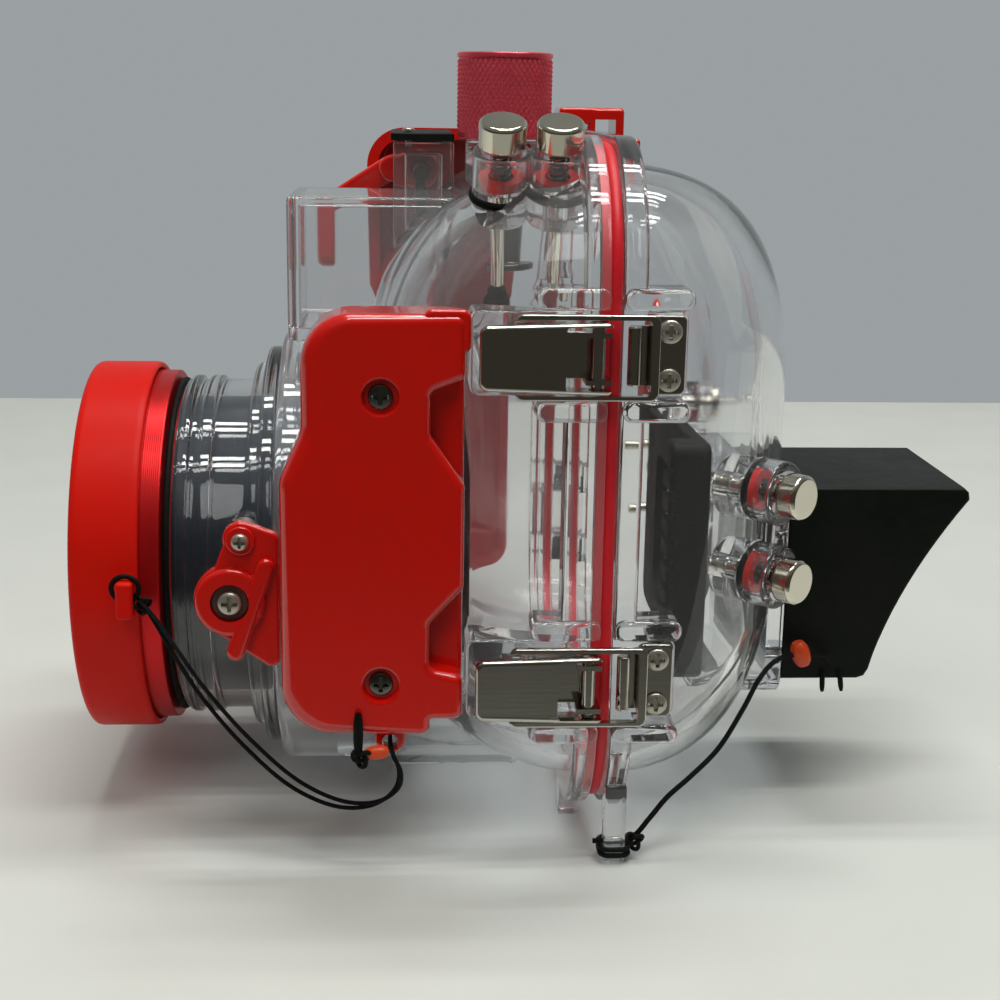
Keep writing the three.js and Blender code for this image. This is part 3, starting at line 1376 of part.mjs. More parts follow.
function shutterShaft() {
  const far = shutter.hubFar + gap.root + gap.seat;
  const axle = rod(
    shutter.shaftRadius, far, shutter.shaftNear, facets.small, shutter.pivotAlong, shutter.pivotHeight,
  );
  const half = shutter.fingerThick / 2;
  const finger = roundedRectangle(
    shutter.pivotAlong - half, shutter.pivotAlong + half, shutter.pivotHeight - shutter.fingerReach,
    shutter.pivotHeight, half * armShares.finger, 2,
  );
  const start = shutter.fingerAcross - shutter.fingerWidth / 2;
  const end = start + shutter.fingerWidth;
  return place(join(axle, plate(finger, start, end)), nearSide);
}

function blockLid() {
  const foot = shutter.blockTop + gap.seat;
  const outline = roundedRectangle(
    shutter.blockFar - shutter.lidEdge, shutter.blockNear + shutter.lidEdge,
    shutter.blockFront - shutter.lidEdge, shutter.blockBack, shutter.lidEdge, 2,
  );
  return cut(
    plate(outline, foot, foot + shutter.lidThick),
    rod(shutter.lidScrewShank + gap.seat, foot - gap.overrun, foot + shutter.lidThick + gap.overrun,
      facets.small, shutter.lidScrewAcross, shutter.lidScrewAlong),
  );
}

function lidScrew() {
  const top = shutter.blockTop + gap.seat + shutter.lidThick + gap.seat + shutter.lidScrewTall;
  const depth = top - shutter.blockTop + shutter.lidScrewBite;
  return shift(
    screw(shutter.lidScrewRadius, shutter.lidScrewTall, shutter.lidScrewShank, depth),
    shutter.lidScrewAcross, shutter.lidScrewAlong, top,
  );
}

// Flash window box, open towards the case

function flashBox() {
  const outer = block(flash.far, flash.near, flash.front, flash.back, flash.foot, flash.top);
  const inner = block(
    flash.far + flash.wall, flash.near - flash.wall, flash.front + flash.wall, flash.back + gap.overrun,
    flash.foot + flash.wall, flash.top - flash.roof,
  );
  return cut(outer, inner, dome(1, -gap.seat, 0), place(
    rod(port.turretRadius + gap.seat, port.turretBack, port.turretFront + gap.overrun, facets.large), forward,
  ));
}

// Screen frame inside the door and hood outside it

function cameraCushion() {
  const back = screen.inside - gap.seat;
  const outer = roundedRectangle(
    screen.frameFar, screen.frameNear, screen.frameFoot, screen.frameTop, screen.corner,
  );
  const seatEdge = screen.wall + screen.openEdge;
  const opening = roundedRectangle(
    screen.far + seatEdge, screen.near - seatEdge, screen.foot + seatEdge + screen.holeEdge,
    screen.top - seatEdge + screen.holeEdge, screen.corner,
  );
  const [low, high] = [-back, -back + screen.frameThick];
  const frame = place(cut(
    roundedPlate(outer, low, high, screen.wall / 2, 1),
    plate(opening, low - gap.overrun, high + gap.overrun),
  ), forward);
  return cut(frame, ...cornerButtons.heights.map(cushionNotch));
}

// Room for the inner end of a corner button, which moves inwards when it is pressed
function cushionNotch(height) {
  const deepest = -cornerButtons.reach - cornerButtons.stroke - gap.running;
  return place(
    rod(cornerButtons.clip + gap.running, deepest, -cornerButtons.root, facets.small),
    cornerButtonFrame(height),
  );
}

function lcdHood() {
  const start = screen.outside + gap.seat;
  const mid = [
    (hood.tipAlong + hood.heelAlong) / 2 - hood.waist,
    (hood.top + hood.foot) / 2,
  ];
  const outline = [
    new THREE.Vector2(start, hood.foot), new THREE.Vector2(hood.heelAlong - hood.round, hood.foot),
    new THREE.Vector2(hood.heelAlong, hood.foot + hood.round), new THREE.Vector2(...mid),
    new THREE.Vector2(hood.tipAlong, hood.top - hood.round),
    new THREE.Vector2(hood.tipAlong - hood.round / 2, hood.top),
    new THREE.Vector2(start, hood.top),
  ];
  const tube = plate(outline, hood.far, hood.near);
  const hollow = block(
    start - gap.overrun, hood.tipAlong + gap.overrun, hood.foot + hood.wall, hood.top - hood.wall,
    hood.far + hood.wall, hood.near - hood.wall,
  );
  return place(cut(tube, hollow), nearSide);
}

// Far side pieces

const gripShares = { backCorner: 0.6 };

function gripOutline() {
  const [left, right] = [-grip.back, -grip.front];
  const small = grip.corner * gripShares.backCorner;
  const points = arc(right - grip.corner, grip.foot + grip.corner, grip.corner, 270, 360, 4);
  const pitch = (grip.fingerTop - grip.fingerFoot) / grip.fingers;
  for (let i = 0; i < grip.fingers; i += 1) {
    for (let k = 1; k < grip.steps; k += 1) {
      const share = k / grip.steps;
      const depth = grip.fingerDepth * Math.sin(Math.PI * share);
      points.push(new THREE.Vector2(right - depth, grip.fingerFoot + pitch * (i + share)));
    }
  }
  points.push(...arc(right - grip.corner, grip.top - grip.corner, grip.corner, 0, 90, 4));
  points.push(...arc(left + small, grip.top - small, small, 90, 180, 2));
  points.push(...arc(left + small, grip.foot + small, small, 180, 270, 2));
  return points;
}

function gripCover() {
  const outline = gripOutline();
  const outer = roundedPlate(outline, -grip.inner, -grip.outer, grip.round);
  const inner = roundedPlate(
    inset(outline, grip.wall), -grip.inner - gap.overrun, -grip.outer - grip.wall, grip.round - grip.wall, 2,
  );
  return cut(place(cut(outer, inner), farSide), dome(1, -gap.seat, 0));
}

function thumbRest() {
  const lean = THREE.MathUtils.degToRad(thumb.leanDegrees);
  const pad = new THREE.SphereGeometry(1, facets.medium, facets.small);
  pad.scale(thumb.halfWidth, thumb.halfDepth, thumb.halfTall);
  pad.rotateX(-lean).translate(thumb.across, thumb.along, thumb.height);
  return cut(pad, dome(-1, -gap.seat, 0));
}

function strapLug() {
  const high = block(lug.far, lug.near, lug.front, lug.back, lug.foot, lug.top);
  const low = block(lug.far, lug.near, lug.back - gap.overrun, lug.lowBack, lug.foot, lug.lowTop);
  const tongue = block(
    lug.far, lug.near, lug.tongueFront, lug.front + gap.overrun, lug.tongueFoot, lug.top,
  );
  const slot = block(
    lug.far - gap.overrun, lug.near + gap.overrun,
    lug.slotAlong - lug.slotWide / 2, lug.slotAlong + lug.slotWide / 2,
    lug.slotHeight - lug.slotTall / 2, lug.slotHeight + lug.slotTall / 2,
  );
  return cut(join(high, low, tongue), slot, dome(-1, -gap.seat, 0));
}

function hingePin() {
  const [high, low] = hinge.heights;
  const reach = hinge.middle / 2 + gap.running + hinge.outer + gap.seat;
  const [foot, top] = [low - reach, high + reach];
  const body = spun([
    [0, foot - hinge.pinHeadTall], [hinge.pinHead, foot - hinge.pinHeadTall], [hinge.pinHead, foot],
    [hinge.pinRadius, foot], [hinge.pinRadius, top], [hinge.pinHead, top],
    [hinge.pinHead, top + hinge.pinHeadTall], [0, top + hinge.pinHeadTall],
  ], facets.small);
  return shift(body, hingeAcross, 0, 0);
}

// Lanyards

function lanyard(route) {
  const path = new THREE.CatmullRomCurve3(route.map((point) => new THREE.Vector3(...point)));
  const section = new THREE.Shape();
  section.absarc(0, 0, cord.radius, 0, 2 * Math.PI);
  return new THREE.ExtrudeGeometry(section, {
    steps: Math.round(path.getLength() / cord.step), curveSegments: facets.cordSides / 2, extrudePath: path,
  });
}

// Assembly

function addInFrame(name, geometry, material, frame) {
  const group = new THREE.Group();
  group.applyMatrix4(frame);
  housing.add(group);
  addPiece(name, geometry, material, group);
}

function addBracketScrews() {
  const face = bracket.inner + bracket.thick;
  const washerFoot = face + gap.seat;
  const washer = cut(
    rod(bracket.washer, 0, bracket.washerTall),
    rod(bracket.shank + gap.seat, -gap.overrun, bracket.washerTall + gap.overrun, facets.small),
  );
  const largeTop = washerFoot + bracket.washerTall + gap.seat + bracket.screwTall;
  const smallTop = face + bracket.raise / 2 + gap.seat + bracket.screwTall;
  const shankEnd = bracket.inner - bracket.shankDepth + gap.seat;
  const large = screw(bracket.screwRadius, bracket.screwTall, bracket.shank, largeTop - shankEnd);
  const small = screw(bracket.smallScrew, bracket.screwTall, bracket.smallShank, smallTop - shankEnd);
  const at = (out, along, height) => nearSide.clone().setPosition(out, along, height);
  const { eyeAlong, eyeHeight, smallAlong, smallHeight } = bracket;
  addInFrame('bracket_washer', washer, look.brown, at(washerFoot, eyeAlong, eyeHeight));
  addInFrame('bracket_screw_large', large, look.steel, at(largeTop, eyeAlong, eyeHeight));
  addInFrame('bracket_screw_small', small, look.steel, at(smallTop, smallAlong, smallHeight));
}

addPiece('front_case', frontCase(), look.clear);
addPiece('rear_door', rearDoor(), look.clear);
addPiece('main_gasket', mainSeal(), look.silicone);
addPiece('port_barrel', portBarrel(), look.clear);
addPiece('port_liner', portLiner(), look.liner);
addPiece('port_window', portWindow(), look.glass);
addPiece('port_ring', portRing(), look.anodised);
addPiece('port_o_ring', portSeal(), look.black);
addPiece('port_cap', portCap(), look.red);
addPiece('side_cover', sideCover(), look.red);
addPiece('side_bracket', sideBracket(), look.red);
addBracketScrews();
coverScrews().forEach(({ frame }, i) => {
  addInFrame(
    `cover_screw_${latchNames[i]}`,
    screw(cover.screwRadius, cover.screwTall, cover.shank, cover.shankDepth - gap.seat),
    look.steel, frame,
  );
});
latch.heights.forEach((height, i) => addLatch(latchNames[i], height));
addKeeperScrews();
addPiece('hinge_pin', hingePin(), look.steel);
addPiece('mode_knob', modeKnob(), look.anodised);
addPiece('knob_shaft', knobShaft(), look.steel);
[...sprungControls, ...rearControls].forEach(addControl);
sprungControls.forEach(addSpring);
addPiece('shutter_lever', shutterLever(), look.red);
addPiece('shutter_shaft', shutterShaft(), look.steel);
addPiece('block_lid', blockLid(), look.black);
addPiece('lid_screw', lidScrew(), look.steel);
addPiece('flash_box', flashBox(), look.clear);
addPiece('camera_cushion', cameraCushion(), look.black);
addPiece('lcd_hood', lcdHood(), look.black);
addPiece('grip_cover', gripCover(), look.red);
addPiece('thumb_rest', thumbRest(), look.red);
addPiece('strap_lug', strapLug(), look.red);
addPiece('cap_lanyard', lanyard(capLanyardRoute), look.black);
addPiece('hood_lanyard', lanyard(hoodLanyardRoute), look.black);

// The handed-in frame has its origin under the middle of the whole assembly
const bounds = new THREE.Box3().setFromObject(housing, true);
const middle = bounds.getCenter(new THREE.Vector3());
housing.position.set(-middle.x, -middle.y, -bounds.min.z);
housing.updateMatrixWorld(true);

export default housing;
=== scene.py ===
import json
import math
from types import SimpleNamespace as Sizes

import bmesh
import bpy
import numpy as np
from mathutils import Matrix, Vector


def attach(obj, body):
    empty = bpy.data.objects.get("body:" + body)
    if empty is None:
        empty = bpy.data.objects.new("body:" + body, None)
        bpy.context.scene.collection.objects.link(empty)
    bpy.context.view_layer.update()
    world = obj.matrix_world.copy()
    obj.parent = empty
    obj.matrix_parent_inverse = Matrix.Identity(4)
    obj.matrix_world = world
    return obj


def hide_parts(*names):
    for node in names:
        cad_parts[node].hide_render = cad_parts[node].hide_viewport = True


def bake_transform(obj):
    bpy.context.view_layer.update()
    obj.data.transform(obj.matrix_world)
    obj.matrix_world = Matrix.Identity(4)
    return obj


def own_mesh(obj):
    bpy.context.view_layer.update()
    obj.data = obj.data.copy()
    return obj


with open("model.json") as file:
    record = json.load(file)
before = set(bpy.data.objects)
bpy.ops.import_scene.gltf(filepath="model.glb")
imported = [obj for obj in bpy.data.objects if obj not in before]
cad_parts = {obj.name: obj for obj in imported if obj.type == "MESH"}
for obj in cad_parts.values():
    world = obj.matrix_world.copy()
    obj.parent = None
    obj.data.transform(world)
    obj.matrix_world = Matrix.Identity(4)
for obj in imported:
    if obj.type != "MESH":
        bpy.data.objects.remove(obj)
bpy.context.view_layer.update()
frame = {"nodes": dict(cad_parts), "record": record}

# Underwater camera housing: two clear shells, a lens port, draw latches, push controls and lanyards.
# Shapes are worked out in millimetres about the lens axis (X = 0, Z = 0) and the seal plane (Y = 0),
# and metres() carries them to the object's own frame.

# Sizes
ORIGIN = np.array([17.8, 12.05, 50.0])
MILLIMETRE = 0.001
SEAT = 0.3
OVERRUN = 2.0
CORE = 0.01

SHELL = Sizes(near=52.0, far=78.0, above=82.0, below=39.0, wall=3.2, corner=22.0)
FRONT_DOME = Sizes(side=1, depth=43.5, shrink=35.0, corner=24.0, power=2.0)
DOOR_DOME = Sizes(side=-1, depth=40.0, shrink=45.0, corner=14.0, power=2.4)
FLANGE = Sizes(rim=5.0, thick=4.2, face=1.3, corner=26.0, round=1.1, ease=0.4)
SEAL = Sizes(edge=0.8, width=4.0, half=1.0, inset=1.0, tongue=2.0, depth=1.4, ease=0.7, narrow=0.42)
PORT = Sizes(
    turret=45.5, turret_front=62.0, turret_back=8.0, bore=32.0, seat=35.3, seat_deep=11.0,
    bore_back=18.0, tube=35.0, tube_bore=31.7, tube_front=82.2, collar=42.0, collar_back=62.3,
    collar_deep=5.5, collar_step=2.6, step=38.5, liner=31.3, liner_bore=29.4, liner_back=30.0,
    ring=36.8, ring_front=96.0, ring_back=84.2, ring_lip=30.2, lip_deep=4.2, glass_seat=32.5,
    spigot=33.3, glass_deep=3.0, o_ring=35.3, o_ring_bore=33.6, ribs=((75.0, 77.6), (79.4, 81.2)), rib=35.8,
    ease=0.5, ring_ease=0.35, glass_ease=0.3, barrel_ease=0.7, turret_ease=1.6, post_root=1.2,
)
CAP = Sizes(
    radius=38.6, front=101.3, back=88.0, web=2.4, shoulder=34.6, wall=1.4, ease=1.6,
    lug_wide=3.3, lug_tall=7.3, lug_reach=4.2, lug_hole=1.3, lug_back=0.4, lug_ease=0.8,
)
LATCH = Sizes(
    heights=(49.7, -11.1), pad_start=-25.8, pad_end=13.0, pad_tall=15.2, pad_out=55.4,
    front_pad_in=40.0, door_pad_in=46.0, ledge_tall=3.8, ledge_gap=0.5, ledge_out=58.6,
    ledge_in=42.0, ledge_start=-14.2, ledge_end=13.6, ledge_round=3.4, rib_start=-8.6,
    plate_start=-21.0, plate_end=-2.6, plate_tall=8.4, plate_thick=1.1, pivot_along=-3.6, pivot_out=60.0,
    pin=1.2, lever_start=-24.4, lever_end=-9.4, lever_tall=12.8, lever_tip=11.4, lever_thick=1.0,
    lever_out=62.4, cheek_thick=0.8, cheek_end=-1.2, cheek_in=57.6, bail_pivot=-16.6, bail_end=7.2,
    bail_tall=15.2, bail_thick=0.9, bail_wide=1.5, bail_pin=0.8, keeper_start=5.9, keeper_end=12.4,
    keeper_tall=14.2, keeper_thick=1.1, hook_along=3.1, hook_tall=10.6, hook=1.25, screw=2.1,
    screw_tall=0.9, screw_along=9.4, screw_spread=8.6, screw_shank=1.0,
    screw_long=6.0, pad_ease=0.6, ledge_ease=0.9, rib_ease=0.8, ear_half=2.2, ears=(3.7, 4.6), pin_in=0.4,
    pin_ease=0.2, pin_clear=0.4, plate_bend=1.0, plate_ease=0.3, tip_bend=1.6, root_bend=1.0, lever_ease=0.8,
    tip_share=0.22, tip_skin=1.5, window_bend=0.7, border=((1.1, 1.0), (1.2, 1.3)), border_bend=0.8,
    border_deep=0.16, bail_ease=0.35, hook_clear=0.4, hook_ease=0.4, keeper_lap=2.0, keeper_bend=1.2,
    keeper_ease=0.35,
)
HINGE = Sizes(
    offset=6.0, knuckle=4.0, pin=1.5, heights=(60.0, -14.0), middle=12.0, outer=7.0, ease=0.5, lug_ease=0.4,
    lap=2.5, head=2.6, head_tall=1.4, gap=0.4, pin_ease=0.4,
)
FEET = Sizes(
    ground=50.0, fin_wide=5.0, fin_top=34.0, front=(28.0, -54.0), door=(50.0, -76.0), hole=1.3,
    hole_height=46.4, block_wide=32.0, block_back=12.0, block_front=40.0, block_top=40.0,
    block_centre=-12.0, block_lap=6.0, block_ease=1.2, socket=3.2, socket_deep=8.0, ease=0.7,
)
COVER = Sizes(
    back=-26.6, front=-59.6, shoulder=-55.5, above=57.0, below=-20.4, step=3.0, step_at=-32.5,
    cup_foot=56.5, inner=48.1, outer=60.0, wall=2.2, round=3.2, back_round=1.5, bend=1.7, corner=9.0,
    waist_top=36.0, waist_low=27.0, waist_bend=7.0, scallop_deep=6.1, scallop_bend=1.8, shelf=5.2,
    scallops=((26.7, 35.6, 43.4, 45.8), (-9.0, -7.6, 0.8, 7.6)), tab=(7.4, 7.0), tab_proud=0.9, tab_sunk=0.5,
    tab_thick=2.6, tab_bend=1.6, tab_ease=(0.4, 0.8), nick=0.6, hollow_bend=1.0, hollow_ease=0.8,
    shelf_ease=1.0,
    screws=(42.5, -10.6), screw_along=-41.5, screw=2.2, screw_tall=0.7, recess=3.1,
    recess_deep=1.6, post=4.5, post_roots=(22.0, 36.0), shank=1.3, shank_deep=9.0,
    eye_along=-39.8, eye=2.8, eye_hole=1.5, eye_drop=3.2, eye_thick=3.0, eye_bend=2.4,
    eye_ease=0.5, screw_long=7.5, mouth=((0.0, -0.7), (0.25, -0.2), (0.8, 0.05)),
)
BRACKET = Sizes(
    inner=45.9, thick=1.9, rise=1.7, eye_along=-69.5, eye_height=1.8, eye=6.9, small_along=-67.4,
    small_height=13.5, small_eye=3.4, tail_along=-60.4, tail_high=15.0, tail_low=-11.2,
    rib=((-62.8, 8.6), (-68.6, -7.8)), rib_wide=1.7,
    post=4.0, small_post=2.6, screw=2.2, small_screw=1.6, screw_tall=1.2, shank=1.4, small_shank=0.9,
    shank_deep=7.0, washer=3.3, washer_tall=0.7, ease=0.7, web_shares=(0.7, 0.8), rib_ease=1.0, eye_ease=1.1,
    small_in=0.7, small_ease=0.3, post_ease=0.4, small_post_ease=0.3,
)
KNOB = Sizes(
    across=-15.0, along=-16.0, radius=10.1, base=84.9, top=102.6, shaft_foot=53.0, boss=8.2,
    boss_top=84.6, boss_root=74.0, bore=2.7, recess=4.0, recess_deep=1.4, ridges=52, pitch=1.85, groove=0.36,
    shaft=2.4, wheel=5.6, wheel_foot=58.0, wheel_tall=1.6, shaft_ease=0.5, boss_ease=0.6, band=(0.9, 1.3),
    foot_in=0.4, neck=1.15, crown=1.0, crown_ease=0.5, ease=0.3, fade=0.4,
)
TOP_BUTTON = Sizes(
    lean=23.5, across=34.0, height=76.4, alongs=(-19.6, -9.1), cap=4.4, cap_tall=5.4, boss=5.3,
    boss_tall=8.6, counterbore=7.2, shaft=1.2, reaches=(24.4, 22.0), root=6.0, clip=2.1, tip=2.6,
    tip_tall=5.0,
)
CORNER_BUTTON = Sizes(
    turn=42.0, across=37.4, along=30.8, heights=(21.0, 4.4), cap=4.35, cap_tall=4.4, boss=6.2,
    boss_tall=6.6, counterbore=6.4, shaft=1.2, reach=8.9, root=7.0, clip=2.1,
)
PRESS = Sizes(boss_ease=0.8, clip_tall=0.8, foot_ease=0.5, top_ease=0.55, ease=0.25)
SPRING = Sizes(wire=0.32, clear=0.25, pitch=1.15, stroke=2.5, flat_turns=0.7)
TIP = Sizes(toe_share=0.8, waist_share=0.72, neck_share=0.5, toe=0.8, waist=(2.2, 2.8), neck=0.5, ease=0.4)
CUP = Sizes(bore=2.35, clear=0.3, low=0.35, high=2.1)
RING = Sizes(top=(5.15, 0.78, -0.4), corner=(5.3, 0.85, -0.9))
REAR_BUTTON = Sizes(
    across=-44.0, height=10.0, spread=13.0, along=34.2, cap=3.7, cap_tall=3.2, boss=5.0,
    boss_tall=9.2, counterbore=6.2, shaft=1.1, reach=14.0, root=4.0, clip=2.0,
)
SHUTTER = Sizes(
    near=-14.0, far=-47.0, front=-39.5, back=-26.6, top=84.0, foot=55.0, wall=2.4, hollow_foot=54.0,
    along=-33.5, height=77.0, shaft=1.8, shaft_near=-20.0, hub=4.6, hub_near=-47.3, hub_far=-58.0,
    arm_thick=5.5, arm_deep=6.0, arm_rise=3.0, paddle_far=-67.0, paddle_near=-51.5, paddle_front=-57.6,
    paddle_thick=4.2, paddle_top=71.0, paddle_foot=53.5, finger=-29.0, finger_wide=4.0,
    finger_thick=2.4, finger_reach=16.0, lid_thick=1.6, lid_edge=0.6, lid_across=-18.0,
    lid_along=-36.3, lid_screw=1.3, lid_screw_tall=0.8, lid_shank=0.7,
    lid_screw_long=4.0, lid_ease=0.4, block_ease=0.5, elbow_share=1.4, wrist_drop=3.0, wrist_share=0.35,
    arm_ease=0.9, paddle_bend=3.0, paddle_ease=(1.0, 1.5), shaft_in=2.0, shaft_ease=0.3, finger_share=0.9,
)
FLASH = Sizes(near=20.0, far=-12.5, front=-60.0, back=-20.0, foot=46.4, top=74.4, wall=2.2, roof=1.6,
             ease=0.7, hollow_ease=0.5)
SCREEN = Sizes(
    near=28.0, far=-18.0, foot=-25.0, top=21.5, out=40.0, inner=22.6, wall=2.4, corner=4.0,
    frame_near=34.0, frame_far=-25.0, frame_foot=-19.0, frame_top=29.0, frame_thick=8.0, bar=8.6, thin=3.0,
    tooth=1.4, pitch=4.6, tooth_share=0.4, window_ease=0.6, frame_edge=6.0, frame_raise=5.4, bar_bend=2.4,
    bar_ease=(0.4, 1.0), thin_ease=(0.4, 0.8), clip_clear=0.4, reach_clear=2.9,
)
HOOD = Sizes(near=26.0, far=-14.0, foot=-22.2, top=18.3, tip=77.2, heel=58.8, wall=2.0, round=2.4, waist=2.2,
            ease=0.7, hollow_ease=0.6, heel_curve=((-2.4, 0.0), (-0.9, 0.5), (0.0, 2.0)),
            tip_curve=((0.0, -2.4), (-0.3, -0.9), (-1.3, 0.0)))
GRIP = Sizes(
    inner=-62.0, outer=-98.0, front=-46.0, back=-13.0, foot=-26.0, top=86.0, wall=2.6, round=4.5,
    corner=9.0, finger_deep=3.2, finger_foot=-14.0, finger_top=50.0, back_share=0.6, hollow_ease=1.6,
)
THUMB = Sizes(lean=12.0, half=(7.0, 6.2, 16.0), centre=(-65.0, 33.5, 30.0), climb=1.55)
LUG = Sizes(
    far=-65.0, near=-51.0, front=5.9, back=14.6, low_back=18.6, foot=70.0, top=91.4, low_top=84.4,
    slot_along=10.1, slot_height=86.4, slot_wide=4.8, slot_tall=4.6, tongue_front=-0.8, tongue_foot=87.6,
    lap=2.0, ease=1.0, low_ease=0.8,
)
CORD = Sizes(
    radius=0.52, strand=0.4, parted=1.05, across_view=(0.0, 0.72, 0.7), span_share=1.35, step=0.9, sides=12,
    cap_hold=((50.0, -72.0, -18.0), (41.5, -87.0, -1.0)),
    hood_hold=((47.4, 18.4, -34.4), (31.0, 40.0, -15.8)),
)
CAP_ROUTE = (
    (40.8, -87.2, -0.2), (42.6, -84.6, -3), (46, -80.6, -8),
    (49.2, -75, -15.4), (52, -66.6, -24.6), (54, -57, -32.6), (55.4, -48.6, -35.8),
    (56.6, -42.4, -35), (57.8, -38.6, -31.6), (59, -38, -27.6), (59.4, -39.2, -24.4),
    (57.6, -39.8, -22.65), (55.2, -39.8, -22.65), (52.2, -39.8, -22.65),
)
HOOD_ROUTE = (
    (50, -0.6, -46.4), (50, 3.4, -46.4), (50, 7.2, -45.6), (49.6, 10.4, -42), (48.8, 13.8, -38),
    (47.4, 18.4, -34.4), (44.6, 24.2, -29.8), (40.8, 29.6, -23), (36, 33.8, -18.2),
    (31.8, 38, -16), (30, 42, -15.6), (29.6, 47, -15.6), (28.4, 49.2, -16.6), (26.7, 50.0, -18.4),
)
LOOP = Sizes(radius=0.5, centre=(40.7, -90.0, 2.1), half=(2.6, 2.4))
FIN_TURNS = Sizes(radius=0.52, heights=(-46.9, -48.1), x=(46.9, 53.1), y=(0.7, 6.1), bend=1.7)
KNOTS = Sizes(
    wire=0.44, size=0.58, places=(
        ("cap_knot", "cap", (40.7, -87.0, -1.1)), ("fin_knot", "door", (51.0, 7.4, -46.0)),
        ("tag_knot", "case", (61.2, -45.0, -24.0)),
    ),
)
BEADS = (
    ("hood_bead", "hood", (29.6, 43.4, -15.4), (0.0, 0.35, -0.94), 1.9, 5.2, "bead_orange"),
    ("tag_bead", "case", (60.4, -42.2, -23.3), (0.0, 1.0, 0.1), 1.3, 4.2, "bead_orange"),
    ("tag_stop", "case", (60.95, -45.6, -19.6), (0.0, 0.0, 1.0), 0.9, 8.4, "black_rubber"),
    ("hood_end_near", "hood", (26.7, 49.0, -22.4), (0.0, 0.05, -1.0), 0.55, 4.6, "black_rubber"),
    ("hood_end_far", "hood", (26.7, 52.8, -22.4), (0.0, 0.15, -1.0), 0.55, 4.4, "black_rubber"),
)
SCREW_SHARES = Sizes(crown=0.62, long=0.66, wide=0.17, root=1.3, mouth=2.2)
BEAD_TAPER_SHARE = 3.4
VIEW = Sizes(
    angles=(3.64, 13.91, -0.94), place=(0.35835, -0.02615, 0.14388), sensor=36.0, lens=58.83, near=0.01,
)
TABLE = Sizes(depth=(-425.0, 140.0), width=(-700.0, 700.0), thick=30.0, edge=3.0, corner=30.0)
ROOM = dict(
    front=(0.05, 0.045, 0.038), wall=(0.325, 0.352, 0.358), ceiling=(0.19, 0.2, 0.19),
    table=(0.36, 0.38, 0.34), behind=(0.15, -0.55), below=(-0.24, -0.6), overhead=(0.3, 0.85),
)
TUBES = Sizes(
    places=((0.5, 0.16), (0.38, 0.16), (-0.14, 0.16), (-0.26, 0.16)), height=1.25, size=(0.06, 0.8),
    power=3.6, colour=(1.0, 1.0, 0.97),
)
FILL = Sizes(
    place=(0.9, -0.4, 1.0), target=(0.0, 0.0, 0.08), size=(0.6, 0.6), power=4.2, colour=(1.0, 0.99, 0.97),
)


# Places and frames

def metres(points):
    """Points in millimetres about the lens axis, carried to the object's own frame in metres."""
    return (np.asarray(points, float) + ORIGIN) * MILLIMETRE


def axes(x, y, z, origin=(0, 0, 0)):
    """A frame: three rows of axes and its origin."""
    return np.array([x, y, z], float), np.array(origin, float)


UPRIGHT = axes((1, 0, 0), (0, 1, 0), (0, 0, 1))
FORWARD = axes((1, 0, 0), (0, 0, 1), (0, -1, 0))
NEAR = axes((0, 1, 0), (0, 0, 1), (1, 0, 0))
FAR = axes((0, -1, 0), (0, 0, 1), (-1, 0, 0))


def at(where, x, y, z):
    """The frame with its origin moved to a point given in its own axes."""
    rows, origin = where
    return rows, origin + np.array([x, y, z], float) @ rows


def outward(origin, direction, upright):
    """Frame whose z follows a direction and whose x lies square to an upright."""
    z = np.array(direction, float)
    z /= np.linalg.norm(z)
    x = np.cross(np.array(upright, float), z)
    x /= np.linalg.norm(x)
    return axes(x, np.cross(z, x), z, origin)


# Solids: each is a pair of points in millimetres and faces

def round_angles(steps):
    """Angles once round, the last one short of the first."""
    return np.linspace(0, 2 * math.pi, steps, endpoint=False)


def placed(solid, where):
    points, faces = solid
    rows, origin = where
    return points @ rows + origin, faces


def all_placed(solids, where):
    return [placed(solid, where) for solid in solids]


def skin(rings, closed=False):
    """Solid through equal rings (ring, column, xyz). Flat lids close its ends unless it is a closed ring."""
    count, columns = rings.shape[:2]
    spans = count if closed else count - 1
    row, column = np.meshgrid(np.arange(spans), np.arange(columns), indexing="ij")
    after = ((row + 1) % count) * columns
    row = row * columns
    beside = (column + 1) % columns
    corners = [row + column, row + beside, after + beside, after + column]
    faces = np.stack(corners, -1).reshape(-1, 4).tolist()
    if not closed:
        faces.append(list(range(columns))[::-1])
        faces.append(list(range((count - 1) * columns, count * columns)))
    return rings.reshape(-1, 3), faces


def rounded(left, right, foot, top, radius, steps=10):
    """Outline of a rectangle whose corners are quarter circles, counter-clockwise."""
    turn = np.linspace(0, math.pi / 2, steps + 1)
    centres = ((right - radius, top - radius), (left + radius, top - radius),
               (left + radius, foot + radius), (right - radius, foot + radius))
    arcs = []
    for quarter, (x, y) in enumerate(centres):
        angle = turn + quarter * math.pi / 2
        arcs.append(np.stack([x + radius * np.cos(angle), y + radius * np.sin(angle)], -1))
    return np.concatenate(arcs)


def inset(outline, distance):
    """Outline moved in by a distance along the mean normal of each corner."""
    before = outline - np.roll(outline, 1, 0)
    after = np.roll(outline, -1, 0) - outline
    before /= np.maximum(np.linalg.norm(before, axis=1, keepdims=True), 1e-9)
    after /= np.maximum(np.linalg.norm(after, axis=1, keepdims=True), 1e-9)
    mean = before + after
    mean /= np.maximum(np.linalg.norm(mean, axis=1, keepdims=True), 1e-9)
    reach = distance / np.maximum((mean * before).sum(1, keepdims=True), 0.5)
    return outline + np.stack([-mean[:, 1], mean[:, 0]], -1) * reach


def layers(levels):
    """Rings from pairs of outline and height."""
    rings = [np.column_stack([outline, np.full(len(outline), height)]) for outline, height in levels]
    return np.stack(rings)


